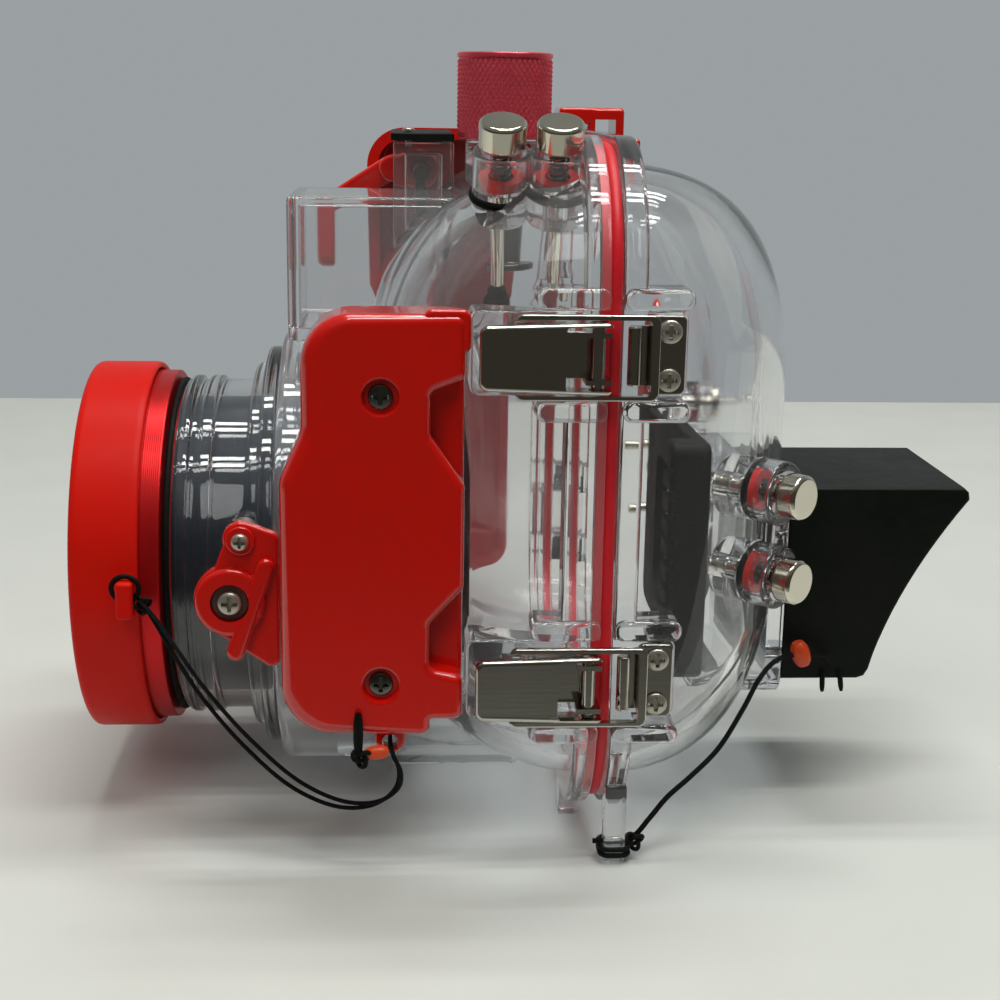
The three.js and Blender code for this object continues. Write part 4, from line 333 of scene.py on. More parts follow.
def plate(outline, low, high, round_low=0.0, round_high=0.0, steps=5):
    """Plate between two heights; each edge is a quarter circle, made by insetting the outline."""
    turn = np.linspace(0, math.pi / 2, steps + 1)
    levels = []
    if round_low:
        for a in turn:
            ring = inset(outline, round_low * (1 - math.sin(a)))
            levels.append((ring, low + round_low * (1 - math.cos(a))))
    else:
        levels.append((outline, low))
    if round_high:
        for a in turn:
            ring = inset(outline, round_high * (1 - math.cos(a)))
            levels.append((ring, high - round_high * (1 - math.sin(a))))
    else:
        levels.append((outline, high))
    return skin(layers(levels))


def block(x, y, z, soften=0.0):
    """Box from three spans; its upright edges and top and bottom edges are rounded by one radius."""
    if not soften:
        return plate(np.array([(x[0], y[0]), (x[1], y[0]), (x[1], y[1]), (x[0], y[1])], float), *z)
    return plate(rounded(*x, *y, soften, 4), z[0], z[1], soften, soften, 4)


def turned(profile, segments=72, ring=False):
    """Profile of radius and height turned once round z; a ring profile closes on itself."""
    profile = np.array(profile, float)
    angle = round_angles(segments)
    radius, height = profile[:, :1], profile[:, 1:]
    rings = np.stack([radius * np.cos(angle), radius * np.sin(angle), height + 0 * angle], -1)
    return skin(rings, closed=ring)


def rod(radius, low, high, x=0.0, y=0.0, segments=48, soften=0.0):
    """Round rod along z, its rims rounded by a radius."""
    profile = [(radius, low), (radius, high)]
    if soften:
        turn = np.linspace(0, math.pi / 2, 5)
        foot = [(radius - soften * (1 - math.sin(a)), low + soften * (1 - math.cos(a))) for a in turn]
        head = [(radius - soften * (1 - math.cos(a)), high - soften * (1 - math.sin(a))) for a in turn]
        profile = foot + head
    points, faces = turned(profile, segments)
    return points + np.array([x, y, 0.0]), faces


def softened(profile, radius, steps=4):
    """Profile whose inner corners are replaced by short curves: each point between its two neighbours
    becomes a quadratic curve that starts and ends a radius away from it."""
    profile = np.array(profile, float)
    result = [profile[:1]]
    t = np.linspace(0, 1, steps + 1)[:, None]
    for before, corner, after in zip(profile[:-2], profile[1:-1], profile[2:]):
        start = corner + (before - corner) * min(radius / max(np.linalg.norm(before - corner), 1e-9), 0.45)
        end = corner + (after - corner) * min(radius / max(np.linalg.norm(after - corner), 1e-9), 0.45)
        result.append((1 - t) ** 2 * start + 2 * t * (1 - t) * corner + t ** 2 * end)
    result.append(profile[-1:])
    return np.concatenate(result)


# Meshes and pieces

def mesh_of(name, solid):
    """Mesh of a solid in metres, its faces turned outwards."""
    points, faces = solid
    mesh = bpy.data.meshes.new(name)
    mesh.from_pydata(metres(points).tolist(), [], faces)
    shape = bmesh.new()
    shape.from_mesh(mesh)
    bmesh.ops.recalc_face_normals(shape, faces=shape.faces)
    shape.to_mesh(mesh)
    shape.free()
    return mesh


def added(name, data):
    thing = bpy.data.objects.new(name, data)
    bpy.context.scene.collection.objects.link(thing)
    return thing


def loose(name, shape):
    """Object of a solid or of a finished mesh."""
    return added(name, mesh_of(name, shape) if isinstance(shape, tuple) else shape)


def applied(thing):
    """Mesh of an object with its modifiers applied."""
    depsgraph = bpy.context.evaluated_depsgraph_get()
    return bpy.data.meshes.new_from_object(thing.evaluated_get(depsgraph))


def carved(name, base, joined=(), cuts=()):
    """Mesh of a solid that others are joined to and cutters are taken from."""
    host = loose(name, base)
    tools = []
    for operation, solids in (("UNION", joined), ("DIFFERENCE", cuts)):
        for solid in solids:
            tool = loose(name + "_tool", solid)
            modifier = host.modifiers.new("joint", "BOOLEAN")
            modifier.solver = "MANIFOLD"
            modifier.operation = operation
            modifier.object = tool
            tools.append(tool)
    mesh = applied(host)
    for thing in [host, *tools]:
        bpy.data.objects.remove(thing)
    return mesh


def piece(name, shape, material, body, nodes=(), sharp=32, weighted=True):
    """A finished piece of the object: its mesh or solid, material, body and the nodes that it replaces.
    A piece that two bodies hold has no body here."""
    thing = loose(name, shape)
    mesh = thing.data
    mesh.materials.clear()
    mesh.materials.append(material)
    mesh.shade_smooth()
    mesh.set_sharp_from_angle(angle=math.radians(sharp))
    if weighted:
        modifier = thing.modifiers.new("normals", "WEIGHTED_NORMAL")
        modifier.keep_sharp = True
    if body:
        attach(thing, body)
    if nodes:
        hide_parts(*nodes)
    return thing


def made(node, how, shape, look, body, sharp=32, weighted=True):
    """Piece that stands for one node, named after it and after how it is made."""
    return piece(f"{node}_{how}", shape, LOOK[look], body, (node,), sharp, weighted)


# Shader groups

def new_group(name, outputs, **inputs):
    """Empty node group: a vector and further inputs with their values, and outputs that are numbers."""
    group = bpy.data.node_groups.new(name, "ShaderNodeTree")
    group.interface.new_socket(name="Vector", in_out="INPUT", socket_type="NodeSocketVector")
    for title, value in inputs.items():
        kind = "NodeSocketVector" if isinstance(value, tuple) else "NodeSocketFloat"
        group.interface.new_socket(name=title, in_out="INPUT", socket_type=kind).default_value = value
    for title in outputs:
        group.interface.new_socket(name=title, in_out="OUTPUT", socket_type="NodeSocketFloat")
    return group, group.nodes.new("NodeGroupInput"), group.nodes.new("NodeGroupOutput")


def math_node(tree, operation, first, second=None, third=None):
    """Math node whose inputs are sockets or numbers; gives its output socket."""
    node = tree.nodes.new("ShaderNodeMath")
    node.operation = operation
    for socket, value in zip(node.inputs, (first, second, third)):
        if value is None:
            continue
        if isinstance(value, bpy.types.NodeSocket):
            tree.links.new(value, socket)
        else:
            socket.default_value = value
    return node.outputs["Value"]


def noise(tree, vector, scale, detail, roughness):
    """Noise texture; its scale is a socket or a number."""
    node = tree.nodes.new("ShaderNodeTexNoise")
    tree.links.new(vector, node.inputs["Vector"])
    if isinstance(scale, bpy.types.NodeSocket):
        tree.links.new(scale, node.inputs["Scale"])
    else:
        node.inputs["Scale"].default_value = scale
    node.inputs["Detail"].default_value = detail
    node.inputs["Roughness"].default_value = roughness
    return node.outputs["Fac"]


def between(tree, share, low, high):
    """Map Range from 0..1 to low..high, each a socket or a number."""
    node = tree.nodes.new("ShaderNodeMapRange")
    tree.links.new(share, node.inputs["Value"])
    for title, value in (("To Min", low), ("To Max", high)):
        if isinstance(value, bpy.types.NodeSocket):
            tree.links.new(value, node.inputs[title])
        else:
            node.inputs[title].default_value = value
    return node.outputs["Result"]


def blended(tree, share, low, high):
    """Colour between two colours by a share; each is a socket or three numbers."""
    node = tree.nodes.new("ShaderNodeMix")
    node.data_type = "RGBA"
    tree.links.new(share, node.inputs["Factor"])
    for title, value in (("A", low), ("B", high)):
        if isinstance(value, bpy.types.NodeSocket):
            tree.links.new(value, node.inputs[title])
        else:
            node.inputs[title].default_value = (*value, 1.0)
    return node.outputs["Result"]


def handled_group():
    """Roughness of a surface that hands have touched: broad smudges under fine dust specks."""
    group, source, sink = new_group("handled", ("Roughness", "Mask"), Low=0.1, High=0.3)
    broad = noise(group, source.outputs["Vector"], 38.0, 4.0, 0.62)
    fine = noise(group, source.outputs["Vector"], 420.0, 2.0, 0.5)
    mix = math_node(group, "MULTIPLY_ADD", fine, 0.3, math_node(group, "MULTIPLY", broad, 0.7))
    sharp = group.nodes.new("ShaderNodeMapRange")
    sharp.inputs["From Min"].default_value = 0.38
    sharp.inputs["From Max"].default_value = 0.66
    group.links.new(mix, sharp.inputs["Value"])
    mask = sharp.outputs["Result"]
    rough = between(group, mask, source.outputs["Low"], source.outputs["High"])
    group.links.new(rough, sink.inputs["Roughness"])
    group.links.new(mask, sink.inputs["Mask"])
    return group


def grain_group():
    """Height of moulded grain: fine cells with a little broad waviness."""
    group, source, sink = new_group("moulded_grain", ("Height",), Scale=1500.0, Waviness=0.4)
    fine = noise(group, source.outputs["Vector"], source.outputs["Scale"], 2.0, 0.6)
    broad = noise(group, source.outputs["Vector"], 26.0, 1.0, 0.4)
    height = math_node(group, "MULTIPLY_ADD", broad, source.outputs["Waviness"], fine)
    group.links.new(height, sink.inputs["Height"])
    return group


def brushed_group():
    """Height of brushed metal: noise drawn out along one axis by the stretch given."""
    group, source, sink = new_group("brushed", ("Height",), Stretch=(40.0, 2000.0, 2000.0))
    product = group.nodes.new("ShaderNodeVectorMath")
    product.operation = "MULTIPLY"
    group.links.new(source.outputs["Vector"], product.inputs[0])
    group.links.new(source.outputs["Stretch"], product.inputs[1])
    group.links.new(noise(group, product.outputs["Vector"], 1.0, 3.0, 0.6), sink.inputs["Height"])
    return group


def lathe_group():
    """Height of fine turning lines: waves of the distance from the vector's z axis plus the height on it."""
    group, source, sink = new_group("lathe_lines", ("Height",), Pitch=9000.0)
    parts = group.nodes.new("ShaderNodeSeparateXYZ")
    group.links.new(source.outputs["Vector"], parts.inputs["Vector"])
    square = math_node(group, "MULTIPLY", parts.outputs["X"], parts.outputs["X"])
    both = math_node(group, "MULTIPLY_ADD", parts.outputs["Y"], parts.outputs["Y"], square)
    radius = math_node(group, "SQRT", both)
    reach = math_node(group, "ADD", radius, parts.outputs["Z"])
    wave = math_node(group, "SINE", math_node(group, "MULTIPLY", reach, source.outputs["Pitch"]))
    uneven = noise(group, source.outputs["Vector"], 240.0, 2.0, 0.6)
    group.links.new(math_node(group, "MULTIPLY", wave, uneven), sink.inputs["Height"])
    return group


def braid_group():
    """Braided cord on its own UV map (u along in diameters, v round): two families of strands that cross."""
    group, source, sink = new_group("braid", ("Height",), Strands=8.0)
    parts = group.nodes.new("ShaderNodeSeparateXYZ")
    group.links.new(source.outputs["Vector"], parts.inputs["Vector"])
    along = math_node(group, "MULTIPLY", parts.outputs["X"], math.pi)
    around = math_node(group, "MULTIPLY", parts.outputs["Y"], source.outputs["Strands"])
    around = math_node(group, "MULTIPLY", around, 2 * math.pi)
    one = math_node(group, "SINE", math_node(group, "ADD", along, around))
    two = math_node(group, "SINE", math_node(group, "SUBTRACT", along, around))
    group.links.new(math_node(group, "MAXIMUM", one, two), sink.inputs["Height"])
    return group


GROUPS = {
    "handled": handled_group(), "grain": grain_group(), "brushed": brushed_group(),
    "lathe": lathe_group(), "braid": braid_group(),
}


# Materials

class Finish:
    """A node material under construction: its tree, shader and object coordinates."""

    def __init__(self, name, colour, roughness, metallic=0.0):
        self.material = bpy.data.materials.new(name)
        self.material.use_nodes = True
        self.tree = self.material.node_tree
        self.shader = self.tree.nodes["Principled BSDF"]
        self.shader.inputs["Base Color"].default_value = (*colour, 1.0)
        self.shader.inputs["Roughness"].default_value = roughness
        self.shader.inputs["Metallic"].default_value = metallic
        self.place = self.tree.nodes.new("ShaderNodeTexCoord").outputs["Object"]

    def set(self, **values):
        for title, value in values.items():
            self.shader.inputs[title.replace("_", " ")].default_value = value
        return self

    def group(self, name, vector=None, **values):
        node = self.tree.nodes.new("ShaderNodeGroup")
        node.node_tree = GROUPS[name]
        self.tree.links.new(vector or self.place, node.inputs["Vector"])
        for title, value in values.items():
            node.inputs[title].default_value = value
        return node

    def handled(self, low, high):
        node = self.group("handled", Low=low, High=high)
        self.tree.links.new(node.outputs["Roughness"], self.shader.inputs["Roughness"])
        return node

    def mapped(self, centre, turn):
        """Object coordinates about a centre, turned."""
        node = self.tree.nodes.new("ShaderNodeMapping")
        node.vector_type = "TEXTURE"
        node.inputs["Location"].default_value = centre
        node.inputs["Rotation"].default_value = turn
        self.tree.links.new(self.place, node.inputs["Vector"])
        return node.outputs["Vector"]

    def bump(self, height, distance, strength):
        """Bump from a height socket; a second call stands on the first."""
        node = self.tree.nodes.new("ShaderNodeBump")
        node.inputs["Distance"].default_value = distance
        node.inputs["Strength"].default_value = strength
        self.tree.links.new(height, node.inputs["Height"])
        socket = self.shader.inputs["Normal"]
        if socket.is_linked:
            self.tree.links.new(socket.links[0].from_socket, node.inputs["Normal"])
        self.tree.links.new(node.outputs["Normal"], socket)
        return self

    def tinted(self, share, low, high):
        """Base colour between two colours by a share."""
        self.tree.links.new(blended(self.tree, share, low, high), self.shader.inputs["Base Color"])
        return self

    def lets_light_through(self, colour):
        """Shadow and diffuse rays pass straight through in a colour, as light does through clear plastic."""
        output = self.tree.nodes["Material Output"]
        clear = self.tree.nodes.new("ShaderNodeBsdfTransparent")
        clear.inputs["Color"].default_value = (*colour, 1.0)
        path = self.tree.nodes.new("ShaderNodeLightPath")
        shadow, diffuse = path.outputs["Is Shadow Ray"], path.outputs["Is Diffuse Ray"]
        either = math_node(self.tree, "MAXIMUM", shadow, diffuse)
        mix = self.tree.nodes.new("ShaderNodeMixShader")
        self.tree.links.new(either, mix.inputs["Fac"])
        self.tree.links.new(self.shader.outputs["BSDF"], mix.inputs[1])
        self.tree.links.new(clear.outputs["BSDF"], mix.inputs[2])
        self.tree.links.new(mix.outputs["Shader"], output.inputs["Surface"])
        return self


def clear_plastic(name, clearness):
    """Clear polycarbonate of a given clearness, with faint flow waviness and touched patches."""
    finish = Finish(name, (0.975, 0.98, 0.988), 0.02)
    finish.set(Transmission_Weight=clearness, IOR=1.5)
    finish.handled(0.0, 0.07)
    waves = noise(finish.tree, finish.place, 30.0, 1.0, 0.4)
    finish.bump(waves, 0.0004, 0.12)
    return finish.lets_light_through((0.9, 0.915, 0.93)).material


def window_glass():
    finish = Finish("window_glass", (0.97, 0.99, 0.985), 0.0)
    finish.set(Transmission_Weight=1.0, IOR=1.52)
    finish.handled(0.0, 0.03)
    return finish.lets_light_through((0.94, 0.96, 0.955)).material


def grain(scale, waviness):
    return "grain", dict(Scale=scale, Waviness=waviness)


def brushed(*stretch):
    return "brushed", dict(Stretch=stretch)


def surface(name, colour, roughness, touched, pattern, relief, metallic=0.0, tints=(), **values):
    """Material with touched patches, two tints that follow them, and a pattern's relief."""
    finish = Finish(name, colour, roughness, metallic).set(**values)
    marks = finish.handled(*touched)
    if tints:
        finish.tinted(marks.outputs["Mask"], *tints)
    title, settings = pattern
    lines = finish.group(title, **settings)
    return finish.bump(lines.outputs["Height"], *relief).material


def anodised_red(name, colour, centre, turn, metallic, roughness):
    """Red anodised metal with turning lines about an axis."""
    finish = Finish(name, colour, roughness, metallic)
    finish.handled(roughness - 0.06, roughness + 0.06)
    lines = finish.group("lathe", finish.mapped(centre, turn), Pitch=16000.0)
    return finish.bump(lines.outputs["Height"], 0.00003, 0.5).material


def braided_cord():
    """Thin braided cord; the strands follow the cord's own UV map, and its colour is painted darker where
    the strands dip, as shade between them.
    """
    finish = Finish("braided_cord", (0.012, 0.012, 0.014), 0.7)
    place = finish.tree.nodes.new("ShaderNodeTexCoord").outputs["UV"]
    braid = finish.group("braid", place)
    # Painted shade: the colour follows the braid's height, darker in the grooves between the strands and
    # lighter on their crests.
    finish.tinted(braid.outputs["Height"], (0.0015, 0.0015, 0.0015), (0.007, 0.007, 0.0075))
    finish.set(Specular_IOR_Level=0.2)
    return finish.bump(braid.outputs["Height"], 0.0002, 0.9).material


LENS_AXIS = tuple(metres((0, 0, 0)))
KNOB_AXIS = tuple(metres((KNOB.across, KNOB.along, 0)))
LOOK = {
    "clear_plastic": clear_plastic("clear_plastic", 1.0),
    "clear_case": clear_plastic("clear_case", 0.95),
    "clear_door": clear_plastic("clear_door", 0.98),
    "window_glass": window_glass(),
    "red_plastic": surface(
        "gloss_red", (0.66, 0.006, 0.002), 0.2, (0.16, 0.26), grain(500.0, 2.0), (0.00003, 0.5),
        tints=((0.67, 0.006, 0.002), (0.61, 0.008, 0.003)),
        Coat_Weight=1.0, Coat_Roughness=0.03, IOR=1.46, Specular_IOR_Level=0.3,
    ),
    "satin_red": surface(
        "satin_red", (0.68, 0.008, 0.003), 0.4, (0.34, 0.46), grain(2200.0, 0.5), (0.00004, 0.4),
        tints=((0.69, 0.008, 0.003), (0.63, 0.011, 0.005)), Specular_IOR_Level=0.12,
    ),
    "red_anodised": anodised_red(
        "red_anodised", (0.6, 0.01, 0.012), LENS_AXIS, (math.pi / 2, 0, 0), 0.7, 0.38,
    ),
    "knob_anodised": anodised_red("knob_anodised", (0.88, 0.1, 0.14), KNOB_AXIS, (0, 0, 0), 0.6, 0.3),
    "steel": surface(
        "stainless", (0.52, 0.5, 0.45), 0.12, (0.06, 0.16), brushed(1600.0, 60.0, 1600.0), (0.00002, 0.4),
        1.0,
    ),
    "screw_steel": surface(
        "screw_steel", (0.5, 0.47, 0.4), 0.34, (0.26, 0.42), brushed(700.0, 700.0, 700.0), (0.00002, 0.4),
        0.75,
    ),
    "bead_orange": surface(
        "bead_orange", (0.72, 0.07, 0.01), 0.35, (0.3, 0.45), grain(1600.0, 0.4), (0.00005, 0.4),
        tints=((0.74, 0.075, 0.01), (0.66, 0.06, 0.012)),
    ),
    "dark_steel": surface(
        "dark_steel", (0.13, 0.125, 0.115), 0.3, (0.22, 0.4), brushed(1200.0, 1200.0, 200.0), (0.00003, 0.5),
        1.0,
    ),
    "nickel": surface(
        "nickel", (0.7, 0.66, 0.55), 0.14, (0.08, 0.18), brushed(900.0, 900.0, 900.0), (0.00002, 0.3), 1.0,
    ),
    "seal_rubber": surface(
        "seal_rubber", (0.72, 0.012, 0.022), 0.45, (0.4, 0.55), grain(1800.0, 0.4), (0.00008, 0.5),
        tints=((0.74, 0.012, 0.022), (0.66, 0.016, 0.026)),
    ),
    "black_rubber": surface(
        "black_rubber", (0.004, 0.005, 0.004), 0.6, (0.5, 0.75), grain(1300.0, 0.6), (0.00015, 0.7),
        tints=((0.003, 0.004, 0.003), (0.008, 0.009, 0.008)), Specular_IOR_Level=0.12,
    ),
    "black_plastic": surface(
        "black_plastic", (0.003, 0.005, 0.003), 0.46, (0.42, 0.56), grain(2600.0, 0.8), (0.0001, 0.55),
        tints=((0.003, 0.005, 0.003), (0.008, 0.009, 0.007)), Specular_IOR_Level=0.16,
    ),
    "liner_plastic": surface(
        "liner_plastic", (0.006, 0.008, 0.011), 0.5, (0.44, 0.6), grain(900.0, 0.6), (0.0001, 0.4),
        tints=((0.012, 0.016, 0.022), (0.02, 0.025, 0.032)), Specular_IOR_Level=0.12,
    ),
    "brown_washer": surface(
        "brown_washer", (0.07, 0.03, 0.02), 0.5, (0.4, 0.6), grain(1500.0, 0.4), (0.0001, 0.5),
    ),
    "black_cord": braided_cord(),
}


def dress_nodes():
    """Every node gets the material of its own slot; the pieces below stand for all of them."""
    for part in frame["record"]["subparts"]:
        node = frame["nodes"][part["node"]]
        node.data.materials.clear()
        node.data.materials.append(LOOK[part["material_slot"]])


dress_nodes()


# Camera

def look_through():
    """Camera fitted to the photograph: its place in metres, and its pan, pitch and roll in degrees."""
    pan, pitch, roll = (math.radians(angle) for angle in VIEW.angles)
    ahead = Vector((-math.cos(pan) * math.cos(pitch), math.sin(pan) * math.cos(pitch), -math.sin(pitch)))
    right = ahead.cross(Vector((0, 0, 1))).normalized()
    upward = right.cross(ahead)
    tilted_right = math.cos(roll) * right - math.sin(roll) * upward
    tilted_up = math.sin(roll) * right + math.cos(roll) * upward
    data = bpy.data.cameras.new("view")
    data.sensor_width = VIEW.sensor
    data.lens = VIEW.lens
    data.clip_start = VIEW.near
    camera = added("view", data)
    turn = Matrix((tilted_right, tilted_up, -ahead)).transposed().to_4x4()
    camera.matrix_world = Matrix.Translation(VIEW.place) @ turn
    bpy.context.scene.camera = camera


look_through()


# Lanyards

def smooth_route(points, step):
    """Points along a Catmull-Rom curve through a route, whose knots are spaced by the square root of
    distance, then spaced evenly along its length."""
    route = np.array(points, float)
    route = np.concatenate([2 * route[:1] - route[1:2], route, 2 * route[-1:] - route[-2:-1]])
    pieces = []
    for p0, p1, p2, p3 in zip(route[:-3], route[1:-2], route[2:-1], route[3:]):
        spans = [max(np.linalg.norm(b - a), 1e-6) ** 0.5 for a, b in ((p0, p1), (p1, p2), (p2, p3))]
        one = ((p1 - p0) / spans[0] - (p2 - p0) / (spans[0] + spans[1]) + (p2 - p1) / spans[1]) * spans[1]
        two = ((p2 - p1) / spans[1] - (p3 - p1) / (spans[1] + spans[2]) + (p3 - p2) / spans[2]) * spans[1]
        t = np.linspace(0, 1, 24, endpoint=False)[:, None]
        pieces.append(
            p1 + one * t + (3 * (p2 - p1) - 2 * one - two) * t ** 2 + (2 * (p1 - p2) + one + two) * t ** 3
        )
    line = np.concatenate([*pieces, route[-2:-1]])
    reach = np.concatenate([[0], np.cumsum(np.linalg.norm(np.diff(line, axis=0), axis=1))])
    even = np.linspace(0, reach[-1], max(int(reach[-1] / step), 8))
    return np.stack([np.interp(even, reach, line[:, k]) for k in range(3)], -1)


def carried(line, closed=False):
    """Unturned frames along a line: its tangent, and two unit normals carried on from point to point."""
    if closed:
        tangent = np.roll(line, -1, 0) - np.roll(line, 1, 0)
    else:
        tangent = np.gradient(line, axis=0)
    tangent /= np.linalg.norm(tangent, axis=1, keepdims=True)
    normal = np.cross(tangent[0], (0.31, 0.22, 0.92))
    normals = []
    for direction in tangent:
        normal = normal - direction * normal.dot(direction)
        normal = normal / np.linalg.norm(normal)
        normals.append(normal)
    normals = np.array(normals)
    return tangent, normals, np.cross(tangent, normals)


def tube(line, radius, sides):
    """Rings of a round tube along a line."""
    _, across, beside = carried(line)
    angle = round_angles(sides)[None, :, None]
    return line[:, None] + radius * (np.cos(angle) * across[:, None] + np.sin(angle) * beside[:, None])


def wrap_map(mesh, line, sides, radius):
    """UV map of a tube: u is the length in diameters, v the share of a turn."""
    reach = np.concatenate([[0], np.cumsum(np.linalg.norm(np.diff(line, axis=0), axis=1))]) / (2 * radius)
    layer = mesh.uv_layers.new(name="wrap")
    loops = np.zeros(len(mesh.loops), int)
    mesh.loops.foreach_get("vertex_index", loops)
    ring, column = loops // sides, (loops % sides) / sides
    starts = np.zeros(len(mesh.polygons), int)
    mesh.polygons.foreach_get("loop_start", starts)
    totals = np.zeros(len(mesh.polygons), int)
    mesh.polygons.foreach_get("loop_total", totals)
    first = np.repeat(starts, totals)
    last = np.minimum(first + totals.repeat(totals) - 1, len(loops) - 1)
    column = np.where((column == 0) & (column[first] + column[last] > 0.6), 1.0, column)
    values = np.stack([reach[np.minimum(ring, len(reach) - 1)], column], -1)
    layer.data.foreach_set("uv", values.astype(np.float32).ravel())


def ring_tube(line, radius, sides):
    """Closed round tube along a line that ends where it starts; the frame's twist is shared out over it."""
    _, across, beside = carried(line, True)
    first, last = across[0], across[-1]
    twist = math.atan2(np.dot(first, beside[-1]), np.dot(first, last))
    angle = round_angles(sides)[None]
    angle = (angle + twist * np.linspace(0, 1, len(line))[:, None])[..., None]
    rings = line[:, None] + radius * (np.cos(angle) * across[:, None] + np.sin(angle) * beside[:, None])
    return skin(rings, closed=True)


def parted(route, side):
    """Route moved aside in the plane across the view, most in its middle, for one of two strands."""
    route = np.array(route, float)
    share = np.sin(math.pi * np.clip(np.linspace(0, CORD.span_share, len(route)), 0, 1))[:, None]
    away = np.array(CORD.across_view) * CORD.parted * share + np.array([CORD.strand, 0, 0])
    return route + side * away


def lanyard(name, node, route, radius):
    """Braided lanyard along its route, held by two bodies."""
    line = smooth_route(route, CORD.step)
    mesh = mesh_of(name, skin(tube(line, radius, CORD.sides)))
    wrap_map(mesh, line, CORD.sides, radius)
    thing = piece(name, mesh, LOOK["black_cord"], None, node, 60, False)
    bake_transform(thing)
    return thing, line


def cord_trim(name, solid, body):
    """Loop, turn or knot of a cord."""
    return piece(name, solid, LOOK["black_rubber"], body, (), 60, False)


def cap_loop():
    """Loop through the eye of the cap's lug."""
    turn = round_angles(40)
    (x, y, z), (wide, tall) = LOOP.centre, LOOP.half
    line = np.stack([x + 0 * turn, y + wide * np.cos(turn), z + tall * np.sin(turn)], -1)
    return cord_trim("cap_loop", ring_tube(line, LOOP.radius, CORD.sides), "cap")


def fin_turn(index, height):
    """One turn of the cord round the door's fin."""
    outline = rounded(*FIN_TURNS.x, *FIN_TURNS.y, FIN_TURNS.bend)
    line = np.column_stack([outline, np.full(len(outline), height)])
    return cord_trim(f"fin_turn_{index}", ring_tube(line, FIN_TURNS.radius, CORD.sides), "door")


def knot(name, body, place):
    """Overhand knot: a trefoil, x = sin t + 2 sin 2t, y = cos t - 2 cos 2t, z = -sin 3t, drawn tight."""
    turn = round_angles(64)
    across, up = np.sin(turn) + 2 * np.sin(2 * turn), np.cos(turn) - 2 * np.cos(2 * turn)
    line = np.stack([-np.sin(3 * turn), across, up], -1) * KNOTS.size + place
    return cord_trim(name, ring_tube(line, KNOTS.wire, CORD.sides), body)


def bead(name, body, place, axis, radius, tall, material):
    """Barrel of a length and radius along an axis, narrower at its ends."""
    height = np.linspace(-0.5, 0.5, 15)
    reach = radius * (1 - BEAD_TAPER_SHARE * np.abs(height) ** 3)
    profile = np.column_stack([reach, height * tall])
    profile = np.concatenate([[(CORE, -tall / 2)], profile, [(CORE, tall / 2)]])
    solid = placed(turned(profile, 36), outward(place, axis, (1, 0, 0)))
    return piece(name, solid, LOOK[material], body, (), 40)


def add_lanyards():
    """The cap's two strands, the hood's cord, and their loops, knots and beads."""
    trims = {name: knot(name, body, place) for name, body, place in KNOTS.places}
    trims.update({item[0]: bead(*item) for item in BEADS})
    trims["loop"] = cap_loop()
    turns = [fin_turn(index, height) for index, height in enumerate(FIN_TURNS.heights)]
    for title, side, node in (("near", 1, ("cap_lanyard",)), ("far", -1, ())):
        strand, line = lanyard(f"cap_lanyard_{title}", node, parted(CAP_ROUTE, side), CORD.strand)
    cord, line = lanyard("hood_lanyard_cord", ("hood_lanyard",), HOOD_ROUTE, CORD.radius)


add_lanyards()


# Clear case

def case_outline(shrink, corner):
    return rounded(
        -SHELL.far + shrink, SHELL.near - shrink, -SHELL.below + shrink, SHELL.above - shrink,
        corner, 14,
    )


def dome(law, offset, start, steps=22):
    """Domed shell: its outline shrinks with depth along a quarter of a superellipse of the law's power,
    share = sin(t) ** (2 / power) and shrink = 1 - cos(t) ** (2 / power). The offset moves it inwards."""
    turn = np.linspace(0, math.pi / 2, steps)
    share = np.sin(turn) ** (2 / law.power)
    shrink = law.shrink * (1 - np.maximum(np.cos(turn), 0) ** (2 / law.power))
    corner = SHELL.corner + (law.corner - SHELL.corner) * shrink / law.shrink - offset
    height = law.side * np.maximum(share * (law.depth - offset), start)
    return placed(skin(layers([
        (case_outline(s + offset, c), h) for s, c, h in zip(shrink, corner, height)
    ])), FORWARD)


def flange_outline(edge):
    return case_outline(edge - FLANGE.rim, FLANGE.corner - edge)


def flange_plate(side):
    low, high = FLANGE.face, FLANGE.face + FLANGE.thick
    if side > 0:
        return placed(plate(flange_outline(0), low, high, FLANGE.ease, FLANGE.round), FORWARD)
    return placed(plate(flange_outline(0), -high, -low, FLANGE.round, FLANGE.ease), FORWARD)


def latch_seats(side):
    """Pads and ledges that carry the latches on one side of the seal."""
    front = side > 0
    pieces = []
    for height in LATCH.heights:
        half = LATCH.pad_tall / 2
        start, end = (LATCH.pad_start, -FLANGE.face) if front else (FLANGE.face, LATCH.pad_end)
        root = LATCH.front_pad_in if front else LATCH.door_pad_in
        outline = rounded(start, end, height - half, height + half, LATCH.ledge_round / 2)
        pieces.append(placed(plate(outline, root, LATCH.pad_out, 0, LATCH.pad_ease), NEAR))
        start, end = (LATCH.ledge_start, -FLANGE.face) if front else (FLANGE.face, LATCH.ledge_end)
        for way in (-1, 1):
            edges = sorted(height + way * (half + LATCH.ledge_gap + tall) for tall in (0, LATCH.ledge_tall))
            outline = rounded(start, end, *edges, LATCH.ledge_round / 2)
            ledge = plate(outline, LATCH.ledge_in, LATCH.ledge_out, 0, LATCH.ledge_ease)
            pieces.append(placed(ledge, NEAR))
    return pieces


def latch_notches():
    """Recesses in a flange that let the latches lie on their seats."""
    half = LATCH.pad_tall / 2 + LATCH.ledge_gap
    reach = FLANGE.face + FLANGE.thick + OVERRUN
    top = SHELL.near + FLANGE.rim + OVERRUN
    return [block((LATCH.pad_out, top), (-reach, reach), (h - half, h + half)) for h in LATCH.heights]


